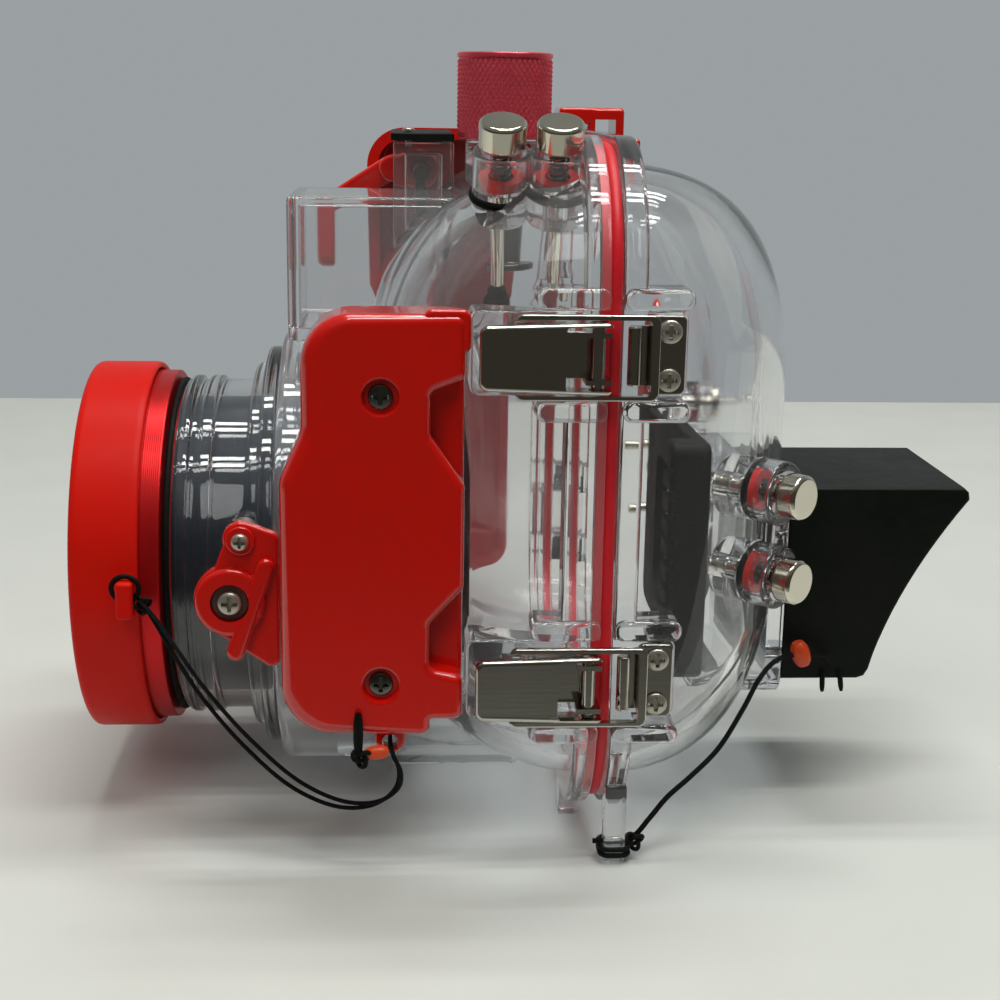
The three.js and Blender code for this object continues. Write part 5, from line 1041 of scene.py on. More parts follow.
def latch_rib():
    high, low = LATCH.heights
    reach = LATCH.pad_tall / 2 + LATCH.ledge_gap
    ease = LATCH.rib_ease
    outline = rounded(LATCH.rib_start, -FLANGE.face, low + reach, high - reach, ease)
    return placed(plate(outline, SHELL.near - SHELL.wall, SHELL.near + FLANGE.rim, 0, ease), NEAR)


HINGE_ACROSS = -(SHELL.far + FLANGE.rim + HINGE.offset)


def knuckles(side):
    """Hinge knuckles of one side with the lugs that tie them to the flange."""
    pieces = []
    half = HINGE.middle / 2
    start = half + SEAT
    for height in HINGE.heights:
        spans = ((height - half, height + half),) if side > 0 else (
            (height + start, height + start + HINGE.outer), (height - start - HINGE.outer, height - start))
        for low, high in spans:
            pieces.append(rod(HINGE.knuckle, low, high, HINGE_ACROSS, 0, 40, HINGE.ease))
            reach = -(SHELL.far + FLANGE.rim) + HINGE.lap
            near, far = FLANGE.face, FLANGE.face + FLANGE.thick - SEAT
            along = (-far, -near) if side > 0 else (near, far)
            pieces.append(block((HINGE_ACROSS, reach), along, (low, high), HINGE.lug_ease))
    return pieces


def hinge_bore():
    high, low = HINGE.heights
    reach = HINGE.middle + HINGE.outer + OVERRUN
    return rod(HINGE.pin + SEAT, low - reach, high + reach, HINGE_ACROSS, 0, 32)


def fins(side, places):
    start, end = FLANGE.face, FLANGE.face + FLANGE.thick
    along = (-end, -start) if side > 0 else (start, end)
    half = FEET.fin_wide / 2
    return [block((x - half, x + half), along, (-FEET.ground, -FEET.fin_top), FEET.ease) for x in places]


def top_button_frame(along):
    lean = math.radians(TOP_BUTTON.lean)
    origin = (TOP_BUTTON.across, along, TOP_BUTTON.height)
    return outward(origin, (math.sin(lean), 0, math.cos(lean)), (0, 1, 0))


def corner_button_frame(height):
    turn = math.radians(CORNER_BUTTON.turn)
    origin = (CORNER_BUTTON.across, CORNER_BUTTON.along, height)
    return outward(origin, (math.cos(turn), math.sin(turn), 0), (0, 0, 1))


def rear_button_frame(across, up):
    origin = (REAR_BUTTON.across + across * REAR_BUTTON.spread, REAR_BUTTON.along,
              REAR_BUTTON.height + up * REAR_BUTTON.spread)
    return outward(origin, (0, 1, 0), (0, 0, 1))


TOP_FRAMES = [top_button_frame(along) for along in TOP_BUTTON.alongs]
CORNER_FRAMES = [corner_button_frame(height) for height in CORNER_BUTTON.heights]
REAR_STEPS = {"up": (0, 1), "down": (0, -1), "left": (1, 0), "right": (-1, 0)}
REAR_FRAMES = [rear_button_frame(*step) for step in REAR_STEPS.values()]


def boss(size, where):
    """Clear boss that a push control stands in."""
    profile = softened([(CORE, -size.root), (size.boss, -size.root), (size.boss, size.boss_tall),
                        (CORE, size.boss_tall)], PRESS.boss_ease)
    return placed(turned(profile, 56), where)


def boss_bores(size, reach, where):
    wide = size.cap + SEAT
    return [
        placed(rod(wide, size.boss_tall - size.counterbore, size.boss_tall + OVERRUN), where),
        placed(rod(size.shaft + SEAT, -reach, size.boss_tall, segments=32), where),
    ]


def front_case():
    """The front shell with its turret, posts, bosses, latch seats, hinge knuckles and fins."""
    centre, half = FEET.block_centre, FEET.block_wide / 2
    turret = placed(plate(circle(PORT.turret), PORT.turret_back, PORT.turret_front, 0,
                          PORT.turret_ease), FORWARD)
    bosses = [boss(TOP_BUTTON, where) for where in TOP_FRAMES]
    posts = [
        placed(rod(COVER.post, root, COVER.cup_foot - SEAT, COVER.screw_along, height), NEAR)
        for root, height in zip(COVER.post_roots, COVER.screws)
    ]
    joined = [
        flange_plate(1), turret, *posts,
        block((centre - half, centre + half), (-FEET.block_front, -FEET.block_back),
              (-FEET.ground, -FEET.block_top + FEET.block_lap), FEET.block_ease),
        block((SHUTTER.far, SHUTTER.near), (SHUTTER.front, SHUTTER.back),
              (SHUTTER.foot, SHUTTER.top), SHUTTER.block_ease),
        rod(KNOB.boss, KNOB.boss_root, KNOB.boss_top, KNOB.across, KNOB.along, 48,
            KNOB.boss_ease),
        *latch_seats(1), latch_rib(), *knuckles(1), *fins(1, FEET.front), *bosses,
    ]
    wall = SHUTTER.wall
    hollow = block(
        (SHUTTER.far + wall, SHUTTER.near - wall), (SHUTTER.front + wall, SHUTTER.back - wall),
        (SHUTTER.hollow_foot, SHUTTER.top - wall), SHUTTER.block_ease,
    )
    shaft = placed(rod(SHUTTER.shaft + SEAT, -SHUTTER.finger, -SHUTTER.hub_far,
                       -SHUTTER.along, SHUTTER.height, 32), FAR)
    cavity = carved("cavity", dome(FRONT_DOME, SHELL.wall, 0), cuts=bosses)
    cuts = [
        cavity,
        placed(rod(PORT.bore, PORT.bore_back, PORT.turret_front + OVERRUN, segments=96), FORWARD),
        placed(rod(PORT.seat, PORT.turret_front - PORT.seat_deep, PORT.turret_front + OVERRUN,
                   segments=96), FORWARD),
        hollow, shaft, hinge_bore(), *latch_notches(), seal_tongue(SEAT),
        rod(KNOB.bore, KNOB.shaft_foot, KNOB.boss_top + OVERRUN, KNOB.across, KNOB.along, 32),
        *[bore for where, reach in zip(TOP_FRAMES, TOP_BUTTON.reaches)
          for bore in boss_bores(TOP_BUTTON, reach, where)],
        *[placed(rod(COVER.shank + SEAT, COVER.outer - COVER.recess_deep - COVER.shank_deep,
                     COVER.outer, COVER.screw_along, height, 24), NEAR) for height in COVER.screws],
        rod(FEET.socket, -FEET.ground - OVERRUN, -FEET.ground + FEET.socket_deep, centre,
            -(FEET.block_front + FEET.block_back) / 2, 40),
    ]
    return carved("front_case_clear", dome(FRONT_DOME, 0, FLANGE.face), joined, cuts)


def circle(radius, segments=96):
    angle = round_angles(segments)
    return radius * np.stack([np.cos(angle), np.sin(angle)], -1)


def seal_tongue(clear):
    """Ring that keys the seal into the front flange, or the groove it lies in."""
    start = SEAL.edge + SEAL.inset - clear
    end = SEAL.edge + SEAL.inset + SEAL.tongue + clear
    low, high = SEAL.half - OVERRUN / 2, FLANGE.face + SEAL.depth + clear
    rings = [(flange_outline(start), low), (flange_outline(start), high), (flange_outline(end), high),
             (flange_outline(end), low)]
    return placed(skin(layers(rings), closed=True), FORWARD)


def screen_outline(edge):
    return rounded(SCREEN.far + edge, SCREEN.near - edge, SCREEN.foot + edge, SCREEN.top - edge,
                   SCREEN.corner - edge / 2)


def rear_door():
    """The door shell with its screen window, bosses, latch seats, knuckles and fins."""
    controls = [(CORNER_BUTTON, where) for where in CORNER_FRAMES]
    controls += [(REAR_BUTTON, where) for where in REAR_FRAMES]
    bosses = [boss(size, where) for size, where in controls]
    window = placed(plate(screen_outline(0), -SCREEN.out, -SCREEN.inner, SCREEN.window_ease), FORWARD)
    well = placed(plate(screen_outline(SCREEN.wall), -SCREEN.out + SHELL.wall,
                        -SCREEN.inner + OVERRUN), FORWARD)
    cavity = carved("cavity", dome(DOOR_DOME, SHELL.wall, 0), cuts=[window, *bosses])
    joined = [flange_plate(-1), window, *latch_seats(-1), *knuckles(-1), *fins(-1, FEET.door), *bosses]
    reach = FLANGE.face + FLANGE.thick + OVERRUN
    cuts = [
        cavity, well, hinge_bore(), *latch_notches(),
        placed(rod(FEET.hole, -reach, reach, FEET.door[0], -FEET.hole_height, 24), FORWARD),
        *[bore for size, where in controls for bore in boss_bores(size, size.reach, where)],
    ]
    return carved("rear_door_clear", dome(DOOR_DOME, 0, FLANGE.face), joined, cuts)


made("front_case", "clear", front_case(), "clear_case", "case")
made("rear_door", "clear", rear_door(), "clear_door", "door")


# Lens port, turned about the lens axis

def port_solid(profile, ease, segments=128):
    """Turned ring from a profile of radius and depth in front of the seal plane, all its corners eased."""
    profile = np.array(profile, float)
    profile = softened(np.concatenate([profile, profile[:2]]), ease)[1:-1]
    return placed(turned(profile, segments, True), FORWARD)


def port_barrel():
    seat = PORT.turret_front - PORT.seat_deep + SEAT
    collar_front = PORT.collar_back + PORT.collar_deep
    step = collar_front - PORT.collar_step
    profile = [
        (PORT.tube_bore, seat), (PORT.tube, seat), (PORT.tube, PORT.collar_back),
        (PORT.collar, PORT.collar_back), (PORT.collar, step), (PORT.step, step),
        (PORT.step, collar_front), (PORT.tube, collar_front),
        *[(radius, depth) for rib in PORT.ribs for radius, depth in (
            (PORT.tube, rib[0]), (PORT.rib, rib[0]), (PORT.rib, rib[1]), (PORT.tube, rib[1]))],
        (PORT.tube, PORT.tube_front), (PORT.tube_bore, PORT.tube_front),
    ]
    root, end = PORT.tube_bore + PORT.post_root, BRACKET.inner - SEAT
    posts = [
        placed(rod(BRACKET.post, root, end, BRACKET.eye_along, BRACKET.eye_height, 48,
                   BRACKET.post_ease), NEAR),
        placed(rod(BRACKET.small_post, root, end, BRACKET.small_along, BRACKET.small_height, 40,
                   BRACKET.small_post_ease), NEAR),
    ]
    return carved("port_barrel_clear", port_solid(profile, PORT.barrel_ease, 144), posts)


made("port_barrel", "clear", port_barrel(), "clear_plastic", "case")
made("port_liner", "turned", port_solid([
    (PORT.liner_bore, PORT.liner_back), (PORT.liner, PORT.liner_back),
    (PORT.liner, PORT.tube_front - SEAT), (PORT.liner_bore, PORT.tube_front - SEAT),
], PORT.ease), "liner_plastic", "case", 35)
made("port_ring", "turned", port_solid([
    (PORT.ring_lip, PORT.ring_front - PORT.lip_deep),
    (PORT.glass_seat, PORT.ring_front - PORT.lip_deep),
    (PORT.glass_seat, PORT.tube_front + SEAT), (PORT.spigot, PORT.tube_front + SEAT),
    (PORT.spigot, PORT.ring_back), (PORT.ring, PORT.ring_back),
    (PORT.ring, PORT.ring_front), (PORT.ring_lip + PORT.lip_deep / 2, PORT.ring_front),
], PORT.ring_ease), "red_anodised", "case", 35)


def seal_profile():
    """Round section of the port's seal ring."""
    back, front = PORT.tube_front + SEAT, PORT.ring_back - SEAT
    turn = round_angles(20)
    middle, half = (PORT.o_ring + PORT.o_ring_bore) / 2, (PORT.o_ring - PORT.o_ring_bore) / 2
    tall = (front - back) / 2
    return np.stack([middle + half * np.cos(turn), (back + front) / 2 + tall * np.sin(turn)], -1)


made("port_o_ring", "turned", placed(turned(seal_profile(), 128, True), FORWARD), "black_rubber", "case")


def port_window():
    front = PORT.ring_front - PORT.lip_deep - SEAT
    back, edge = front - PORT.glass_deep, PORT.glass_seat - SEAT
    profile = [(CORE, back), (edge, back), (edge, front), (CORE, front)]
    return placed(turned(softened(profile, PORT.glass_ease), 128), FORWARD)


def port_cap():
    """Soft cap over the ring: a cup with a rounded lip, and the lug of its lanyard."""
    bore, shoulder = PORT.ring + SEAT, PORT.ring_front + SEAT
    profile = np.array([
        (CORE, CAP.front - CAP.web), (CAP.shoulder, CAP.front - CAP.web),
        (CAP.shoulder, shoulder), (bore, shoulder), (bore, CAP.back), (CAP.radius, CAP.back),
        (CAP.radius, CAP.front), (CORE, CAP.front),
    ], float)
    cup = placed(turned(softened(profile, CAP.ease, 6), 160), FORWARD)
    lug_back = -CAP.back - CAP.lug_back
    start, end = CAP.radius - CAP.wall / 2, CAP.radius + CAP.lug_reach
    tall = CAP.lug_tall / 2
    lug = block((start, end), (lug_back - CAP.lug_wide, lug_back), (-tall, tall), CAP.lug_ease)
    hole = placed(rod(CAP.lug_hole, CAP.back - OVERRUN, CAP.front, (CAP.radius + end) / 2, 0, 24),
                  FORWARD)
    return carved("port_cap_turned", cup, [lug], [hole])


made("port_window", "turned", port_window(), "window_glass", "case")
made("port_cap", "turned", port_cap(), "satin_red", "cap")


# Outlines with fillets

def filleted(corners, steps=8):
    """Outline of a polygon of (x, y, radius) corners: each corner is an arc of its own radius."""
    corners = np.array(corners, float)
    result = []
    for before, here, after in zip(np.roll(corners, 1, 0), corners, np.roll(corners, -1, 0)):
        point, radius = here[:2], here[2]
        one, two = before[:2] - point, after[:2] - point
        one, two = one / np.linalg.norm(one), two / np.linalg.norm(two)
        half = math.acos(np.clip(one @ two, -1, 1)) / 2
        if radius <= 0 or half > 1.55:
            result.append(point[None])
            continue
        middle = point + (one + two) / np.linalg.norm(one + two) * radius / math.sin(half)
        first = point + one * radius / math.tan(half) - middle
        last = point + two * radius / math.tan(half) - middle
        start = math.atan2(first[1], first[0])
        sweep = (math.atan2(last[1], last[0]) - start + math.pi) % (2 * math.pi) - math.pi
        turn = start + sweep * np.linspace(0, 1, steps + 1)
        result.append(middle + radius * np.stack([np.cos(turn), np.sin(turn)], -1))
    return np.concatenate(result)


def hull(circles, steps=56):
    """Convex outline round a set of (x, y, radius) circles, counter-clockwise."""
    points = np.concatenate([circle(radius, steps) + (x, y) for x, y, radius in circles])
    points = points[np.lexsort((points[:, 1], points[:, 0]))]

    def chain(sequence):
        kept = []
        for point in sequence:
            while len(kept) > 1 and np.cross(kept[-1] - kept[-2], point - kept[-2]) <= 1e-9:
                kept.pop()
            kept.append(point)
        return kept[:-1]

    return np.array(chain(points) + chain(points[::-1]))


def cross_rod(radius, half, along, out, segments=28, soften=0.0):
    """Round rod along the height, in a frame seen from the side."""
    points, faces = rod(radius, -half, half, segments=segments, soften=soften)
    return np.stack([points[:, 0] + along, points[:, 2], out - points[:, 1]], -1), faces


# Screws: pan heads with a cross recess

def cross_screw(node, radius, tall, shank, depth, where, body, look="screw_steel"):
    """Screw whose head top is at the frame's origin; its head is a quarter of an ellipse."""
    turn = np.linspace(0, math.pi / 2, 8)
    head = np.stack([radius * np.cos(turn), tall * SCREW_SHARES.crown * (np.sin(turn) - 1)], -1)
    head[-1, 0] = CORE
    profile = np.concatenate([[(CORE, -depth), (shank, -depth), (shank, -tall), (radius, -tall)], head])
    long, wide, deep = radius * SCREW_SHARES.long, radius * SCREW_SHARES.wide, -tall
    root, mouth = wide * SCREW_SHARES.root, wide * SCREW_SHARES.mouth
    cuts = [
        placed(block((-long, long), (-wide, wide), (deep, OVERRUN)), where),
        placed(block((-wide, wide), (-long, long), (deep, OVERRUN)), where),
        placed(turned([(CORE, deep), (root, deep), (mouth, SEAT), (CORE, SEAT)], 16), where),
    ]
    mesh = carved(node + "_pan", placed(turned(profile, 40), where), cuts=cuts)
    return made(node, "pan", mesh, look, body, 35)


# Side cover over the port

def cover_outline(scalloped=True):
    """The cover seen from the side, with or without the two scallops that clear the latches."""
    back, deep, bend, small = COVER.back, COVER.scallop_deep, COVER.bend, COVER.scallop_bend
    notches = []
    for foot, low, high, top in COVER.scallops[::-1] if scalloped else ():
        notches += [(back, foot, bend), (back - deep, low, small)]
        notches += [(back - deep, high, small), (back, top, bend)]
    return filleted([
        (back, COVER.below + COVER.step, bend), *notches, (back, COVER.above, bend),
        (COVER.shoulder, COVER.above, COVER.corner),
        (COVER.shoulder, COVER.waist_top, COVER.waist_bend),
        (COVER.front, COVER.waist_low, COVER.waist_bend),
        (COVER.front, COVER.below, COVER.corner), (COVER.step_at, COVER.below, bend),
        (COVER.step_at, COVER.below + COVER.step, COVER.nick),
    ])


def cover_hollow():
    """Outline of the room inside the cover, in front of its scallops."""
    wall = COVER.wall
    back = COVER.back - COVER.scallop_deep - wall
    return filleted([
        (back, COVER.below + wall, COVER.hollow_bend), (back, COVER.above - wall, COVER.hollow_bend),
        (COVER.shoulder + wall, COVER.above - wall, COVER.corner - wall),
        (COVER.shoulder + wall, COVER.waist_top, COVER.waist_bend),
        (COVER.front + wall, COVER.waist_low, COVER.waist_bend),
        (COVER.front + wall, COVER.below + wall, COVER.corner - wall),
    ])


def eased_plate(outline, low, high, rounds, steps=9):
    """Plate whose upper edge is a quarter circle with a radius of its own at each point of the outline."""
    away = inset(outline, 1.0) - outline
    rings = [np.column_stack([outline, np.full(len(outline), low)])]
    for a in np.linspace(0, math.pi / 2, steps + 1):
        moved = outline + away * rounds[:, None] * (1 - math.cos(a))
        rings.append(np.column_stack([moved, high - rounds * (1 - math.sin(a))]))
    return skin(np.stack(rings))


def side_cover():
    outline, wall = cover_outline(), COVER.wall
    share = np.clip((outline[:, 0] - COVER.shoulder) / (COVER.screw_along - COVER.shoulder), 0, 1)
    rounds = COVER.round + (COVER.back_round - COVER.round) * share
    shell = eased_plate(outline, COVER.inner, COVER.outer, rounds)
    shelf = plate(cover_outline(False), COVER.inner, COVER.outer - COVER.shelf, 0, COVER.shelf_ease)
    hollow = plate(cover_hollow(), COVER.inner - OVERRUN, COVER.outer - wall, 0,
                   COVER.hollow_ease)
    back, above, proud = COVER.back, COVER.above, COVER.tab_proud
    top = COVER.outer - COVER.tab_sunk
    long, tall = COVER.tab
    tab_outline = rounded(back - long, back + proud, above - tall, above + proud, COVER.tab_bend)
    corner_tab = plate(tab_outline, top - COVER.tab_thick, top, *COVER.tab_ease)
    eye_out = COVER.outer - COVER.round - COVER.eye_thick
    eye_height = COVER.below - COVER.eye_drop / 2
    tab = filleted([
        (COVER.eye_along - COVER.eye, eye_height - COVER.eye, COVER.eye_bend),
        (COVER.eye_along + COVER.eye, eye_height - COVER.eye, COVER.eye_bend),
        (COVER.eye_along + COVER.eye, COVER.below + wall / 2, 0),
        (COVER.eye_along - COVER.eye, COVER.below + wall / 2, 0),
    ])
    eye = plate(tab, eye_out, eye_out + COVER.eye_thick, COVER.eye_ease, COVER.eye_ease)
    eye_hole = rod(COVER.eye_hole, eye_out - OVERRUN, eye_out + COVER.eye_thick + OVERRUN,
                   COVER.eye_along, eye_height - COVER.eye_hole / 2, 24)
    across, face, floor = COVER.screw_along, COVER.outer, COVER.outer - COVER.recess_deep
    rim, clear = [(COVER.recess + out, face + rise) for out, rise in COVER.mouth], face + OVERRUN
    mouth = [(CORE, floor), (COVER.recess, floor), *rim, (rim[-1][0], clear), (CORE, clear)]
    cups, wells = [], []
    for height in COVER.screws:
        cups.append(rod(COVER.recess + wall / 2, COVER.cup_foot, face - wall / 2, across, height))
        wells.append(placed(turned(mouth, 56), at(UPRIGHT, across, height, 0)))
        wells.append(rod(COVER.shank + SEAT, COVER.inner, face + OVERRUN, across, height, 24))
    shell_mesh = carved("cover_shell", placed(shell, NEAR), all_placed([shelf, corner_tab], NEAR),
                        all_placed([hollow], NEAR))
    return carved("side_cover_moulded", placed(eye, NEAR), [shell_mesh, *all_placed(cups, NEAR)],
                  all_placed([eye_hole, *wells], NEAR))


made("side_cover", "moulded", side_cover(), "red_plastic", "case", 38)
# The cover screws take the dark steel partly as painted shade: the dark heads make the shallow screw
# recesses read as shaded.
for height, name in zip(COVER.screws, ("upper", "lower")):
    cross_screw(
        f"cover_screw_{name}", COVER.screw, COVER.screw_tall, COVER.shank, COVER.screw_long,
        at(NEAR, COVER.screw_along, height, COVER.outer - COVER.recess_deep + SEAT + COVER.screw_tall),
        "case", "dark_steel",
    )


# Bracket between the port and the cover

def side_bracket():
    low, high = BRACKET.inner, BRACKET.inner + BRACKET.thick
    eye = (BRACKET.eye_along, BRACKET.eye_height)
    small = (BRACKET.small_along, BRACKET.small_height)
    corner = BRACKET.small_eye / 2
    tail = BRACKET.tail_along - corner
    low_arm = hull([(*eye, BRACKET.eye), (tail, BRACKET.eye_height + corner, corner),
                    (tail, BRACKET.tail_low + corner, corner)])
    high_arm = hull([(*small, BRACKET.small_eye), (tail, BRACKET.tail_high - corner, corner),
                     (tail, BRACKET.eye_height, corner)])
    eye_share, small_share = BRACKET.web_shares
    web = hull([(*eye, BRACKET.eye * eye_share), (*small, BRACKET.small_eye * small_share)])
    rib = hull([(*end, BRACKET.rib_wide) for end in BRACKET.rib])
    top = high + BRACKET.rise
    joined = [
        plate(high_arm, low, high, 0, BRACKET.ease),
        plate(web, low, high, 0, BRACKET.ease),
        plate(rib, high - SEAT, top + SEAT, 0, BRACKET.rib_ease),
        rod(BRACKET.eye - SEAT, high - SEAT, top, *eye, 72, BRACKET.eye_ease),
        rod(BRACKET.small_eye - BRACKET.small_in, high - SEAT, high + BRACKET.rise / 2, *small, 48,
            BRACKET.small_ease),
    ]
    cuts = [
        rod(BRACKET.washer + SEAT, high, top + OVERRUN, *eye),
        rod(BRACKET.shank + SEAT, low - OVERRUN, top, *eye, 24),
        rod(BRACKET.small_shank + SEAT, low - OVERRUN, top + OVERRUN, *small, 20),
    ]
    return carved("side_bracket_moulded", placed(plate(low_arm, low, high, 0, BRACKET.ease), NEAR),
                  all_placed(joined, NEAR), all_placed(cuts, NEAR))


def bracket_fasteners():
    """The brown washer and the two screws of the bracket."""
    face = BRACKET.inner + BRACKET.thick
    shank_end = BRACKET.inner - BRACKET.shank_deep + SEAT
    eye = at(NEAR, BRACKET.eye_along, BRACKET.eye_height, 0)
    foot, bore, wide = face + SEAT, BRACKET.shank + SEAT, BRACKET.washer
    top = foot + BRACKET.washer_tall
    ring = [(bore, foot), (wide, foot), (wide, top), (bore, top)]
    washer = placed(turned(ring, 56, True), eye)
    made("bracket_washer", "turned", washer, "brown_washer", "case")
    large = top + SEAT + BRACKET.screw_tall
    small = face + BRACKET.rise / 2 + SEAT + BRACKET.screw_tall
    cross_screw("bracket_screw_large", BRACKET.screw, BRACKET.screw_tall, BRACKET.shank,
                large - shank_end, at(NEAR, BRACKET.eye_along, BRACKET.eye_height, large), "case")
    cross_screw("bracket_screw_small", BRACKET.small_screw, BRACKET.screw_tall, BRACKET.small_shank,
                small - shank_end, at(NEAR, BRACKET.small_along, BRACKET.small_height, small), "case")


made("side_bracket", "moulded", side_bracket(), "red_plastic", "case", 38)
bracket_fasteners()


# Draw latches

def latch_base():
    foot, half = LATCH.pad_out + SEAT, LATCH.plate_tall / 2
    along, reach = LATCH.pivot_along, LATCH.ear_half
    ears = [
        block((along - reach, along + reach), sorted(way * side for side in LATCH.ears),
              (foot, LATCH.pivot_out + LATCH.pin + SEAT))
        for way in (-1, 1)
    ]
    pin = cross_rod(LATCH.pin, LATCH.lever_tall / 2 - LATCH.pin_in, along, LATCH.pivot_out, 32,
                    LATCH.pin_ease)
    outline = rounded(LATCH.plate_start, LATCH.plate_end, -half, half, LATCH.plate_bend, 6)
    return plate(outline, foot, foot + LATCH.plate_thick, 0, LATCH.plate_ease), [*ears, pin], []


def latch_lever():
    """Pressed lever: a tapered plate with turned-down cheeks, a window over the pin and a sunk panel."""
    root, tip, cheek = LATCH.lever_tall / 2, LATCH.lever_tip / 2, LATCH.cheek_thick
    start, end, top, thick = LATCH.lever_start, LATCH.cheek_end, LATCH.lever_out, LATCH.lever_thick
    tip_bend, root_bend, bend = LATCH.tip_bend, LATCH.root_bend, LATCH.border_bend
    skirt = filleted([
        (start, -tip, tip_bend), (end, -root, root_bend), (end, root, root_bend), (start, tip, tip_bend),
    ])
    (tip_in, tip_side), (root_in, root_side) = LATCH.border
    border_start, border_end = start + tip_in, LATCH.lever_end - root_in
    border = filleted([
        (border_start, tip_side - tip, bend), (border_end, root_side - root, bend),
        (border_end, root - root_side, bend), (border_start, tip - tip_side, bend),
    ])
    tip_long = LATCH.lever_tall * LATCH.tip_share
    cuts = [
        block((start + tip_long, end + OVERRUN), (-root + cheek, root - cheek),
              (LATCH.cheek_in - OVERRUN, top - thick)),
        block((start - OVERRUN, start + tip_long + OVERRUN), (-root, root),
              (LATCH.cheek_in - OVERRUN, top - LATCH.tip_skin)),
        plate(rounded(LATCH.lever_end, end + OVERRUN, -root + cheek, root - cheek, LATCH.window_bend, 5),
              top - thick - OVERRUN, top + OVERRUN),
        plate(border, top - LATCH.border_deep, top + OVERRUN),
        cross_rod(LATCH.pin + LATCH.pin_clear, root + OVERRUN, LATCH.pivot_along, LATCH.pivot_out),
        cross_rod(LATCH.bail_pin + LATCH.pin_clear, root + OVERRUN, LATCH.bail_pivot, LATCH.pivot_out),
    ]
    return plate(skirt, LATCH.cheek_in, top, 0, LATCH.lever_ease, 6), [], cuts


def latch_bail():
    """Flat loop that reaches over the keeper's hook, with the pin it turns on."""
    half, wide, thick = LATCH.bail_tall / 2, LATCH.bail_wide, LATCH.bail_thick
    low, high = LATCH.pivot_out - wide / 2, LATCH.pivot_out + wide / 2
    start = LATCH.bail_pivot - wide
    opening = plate(rounded(start - OVERRUN, LATCH.bail_end - wide, -half + thick, half - thick, thick, 6),
                    low - OVERRUN, high + OVERRUN)
    pin = cross_rod(LATCH.bail_pin, half - thick / 2, LATCH.bail_pivot, LATCH.pivot_out)
    frame_plate = plate(rounded(start, LATCH.bail_end, -half, half, wide, 8), low, high,
                        LATCH.bail_ease, LATCH.bail_ease)
    return frame_plate, [pin], [opening]


def latch_keeper():
    """Keeper plate with its rolled hook."""
    half, foot = LATCH.keeper_tall / 2, LATCH.pad_out + SEAT
    top = foot + LATCH.keeper_thick
    hook_out = LATCH.pivot_out - LATCH.bail_wide / 2 - LATCH.hook_clear - LATCH.hook
    along, wide, hook_half = LATCH.hook_along, LATCH.hook / 2, LATCH.hook_tall / 2
    joined = [
        block((along - wide, LATCH.keeper_start + LATCH.keeper_lap), (-hook_half, hook_half), (foot, top)),
        block((along - wide, along + wide), (-hook_half, hook_half), (foot, hook_out)),
        cross_rod(LATCH.hook, hook_half, along, hook_out, 36, LATCH.hook_ease),
    ]
    cuts = [rod(LATCH.screw_shank + SEAT, foot - OVERRUN, top + OVERRUN, LATCH.screw_along,
                way * LATCH.screw_spread / 2, 20) for way in (-1, 1)]
    outline = rounded(LATCH.keeper_start, LATCH.keeper_end, -half, half, LATCH.keeper_bend, 6)
    return plate(outline, foot, top, 0, LATCH.keeper_ease), joined, cuts


def add_latches():
    shapes = {"base": latch_base(), "lever": latch_lever(), "bail": latch_bail(), "keeper": latch_keeper()}
    for side, height in zip(("upper", "lower"), LATCH.heights):
        where = at(NEAR, 0, height, 0)
        bodies = {"base": "case", "lever": side + "_lever", "bail": side + "_bail", "keeper": "door"}
        for part, (host, joined, cuts) in shapes.items():
            name = f"{side}_latch_{part}"
            mesh = carved(name + "_pressed", placed(host, where), all_placed(joined, where),
                          all_placed(cuts, where))
            made(name, "pressed", mesh, "steel", bodies[part], 30)
        head = LATCH.pad_out + SEAT + LATCH.keeper_thick + SEAT + LATCH.screw_tall
        for way, title in ((1, "upper"), (-1, "lower")):
            place = at(NEAR, LATCH.screw_along, height + way * LATCH.screw_spread / 2, head)
            name = f"{side}_keeper_screw_{title}"
            cross_screw(name, LATCH.screw, LATCH.screw_tall, LATCH.screw_shank, LATCH.screw_long, place,
                        "door")


add_latches()


# Mode knob: a grip cut with crossed grooves between plain rims

def knurled_wall(radius, low, high, count, pitch, deep):
    """Radius of a knurled band over (angle, height): r = radius - deep (1 - min(ridge(a), ridge(b))), where
    a and b run along two families of crossed grooves; ridge is a triangle wave, 0 in a groove."""
    angle = round_angles(count * 6)[None]
    height = np.linspace(low, high, int((high - low) / pitch * 8))[:, None]
    turn, climb = angle * count / (2 * math.pi), (height - low) / pitch

    def ridge(share):
        return 1 - 2 * np.abs(share - np.round(share))

    fade = np.clip(np.minimum(height - low, high - height) / KNOB.fade, 0, 1)
    cut = 1 - np.minimum(ridge(turn + climb), ridge(turn - climb))
    reach = radius - deep * (1 - fade + fade * cut)
    return np.stack([reach * np.cos(angle), reach * np.sin(angle), height + 0 * angle], -1)


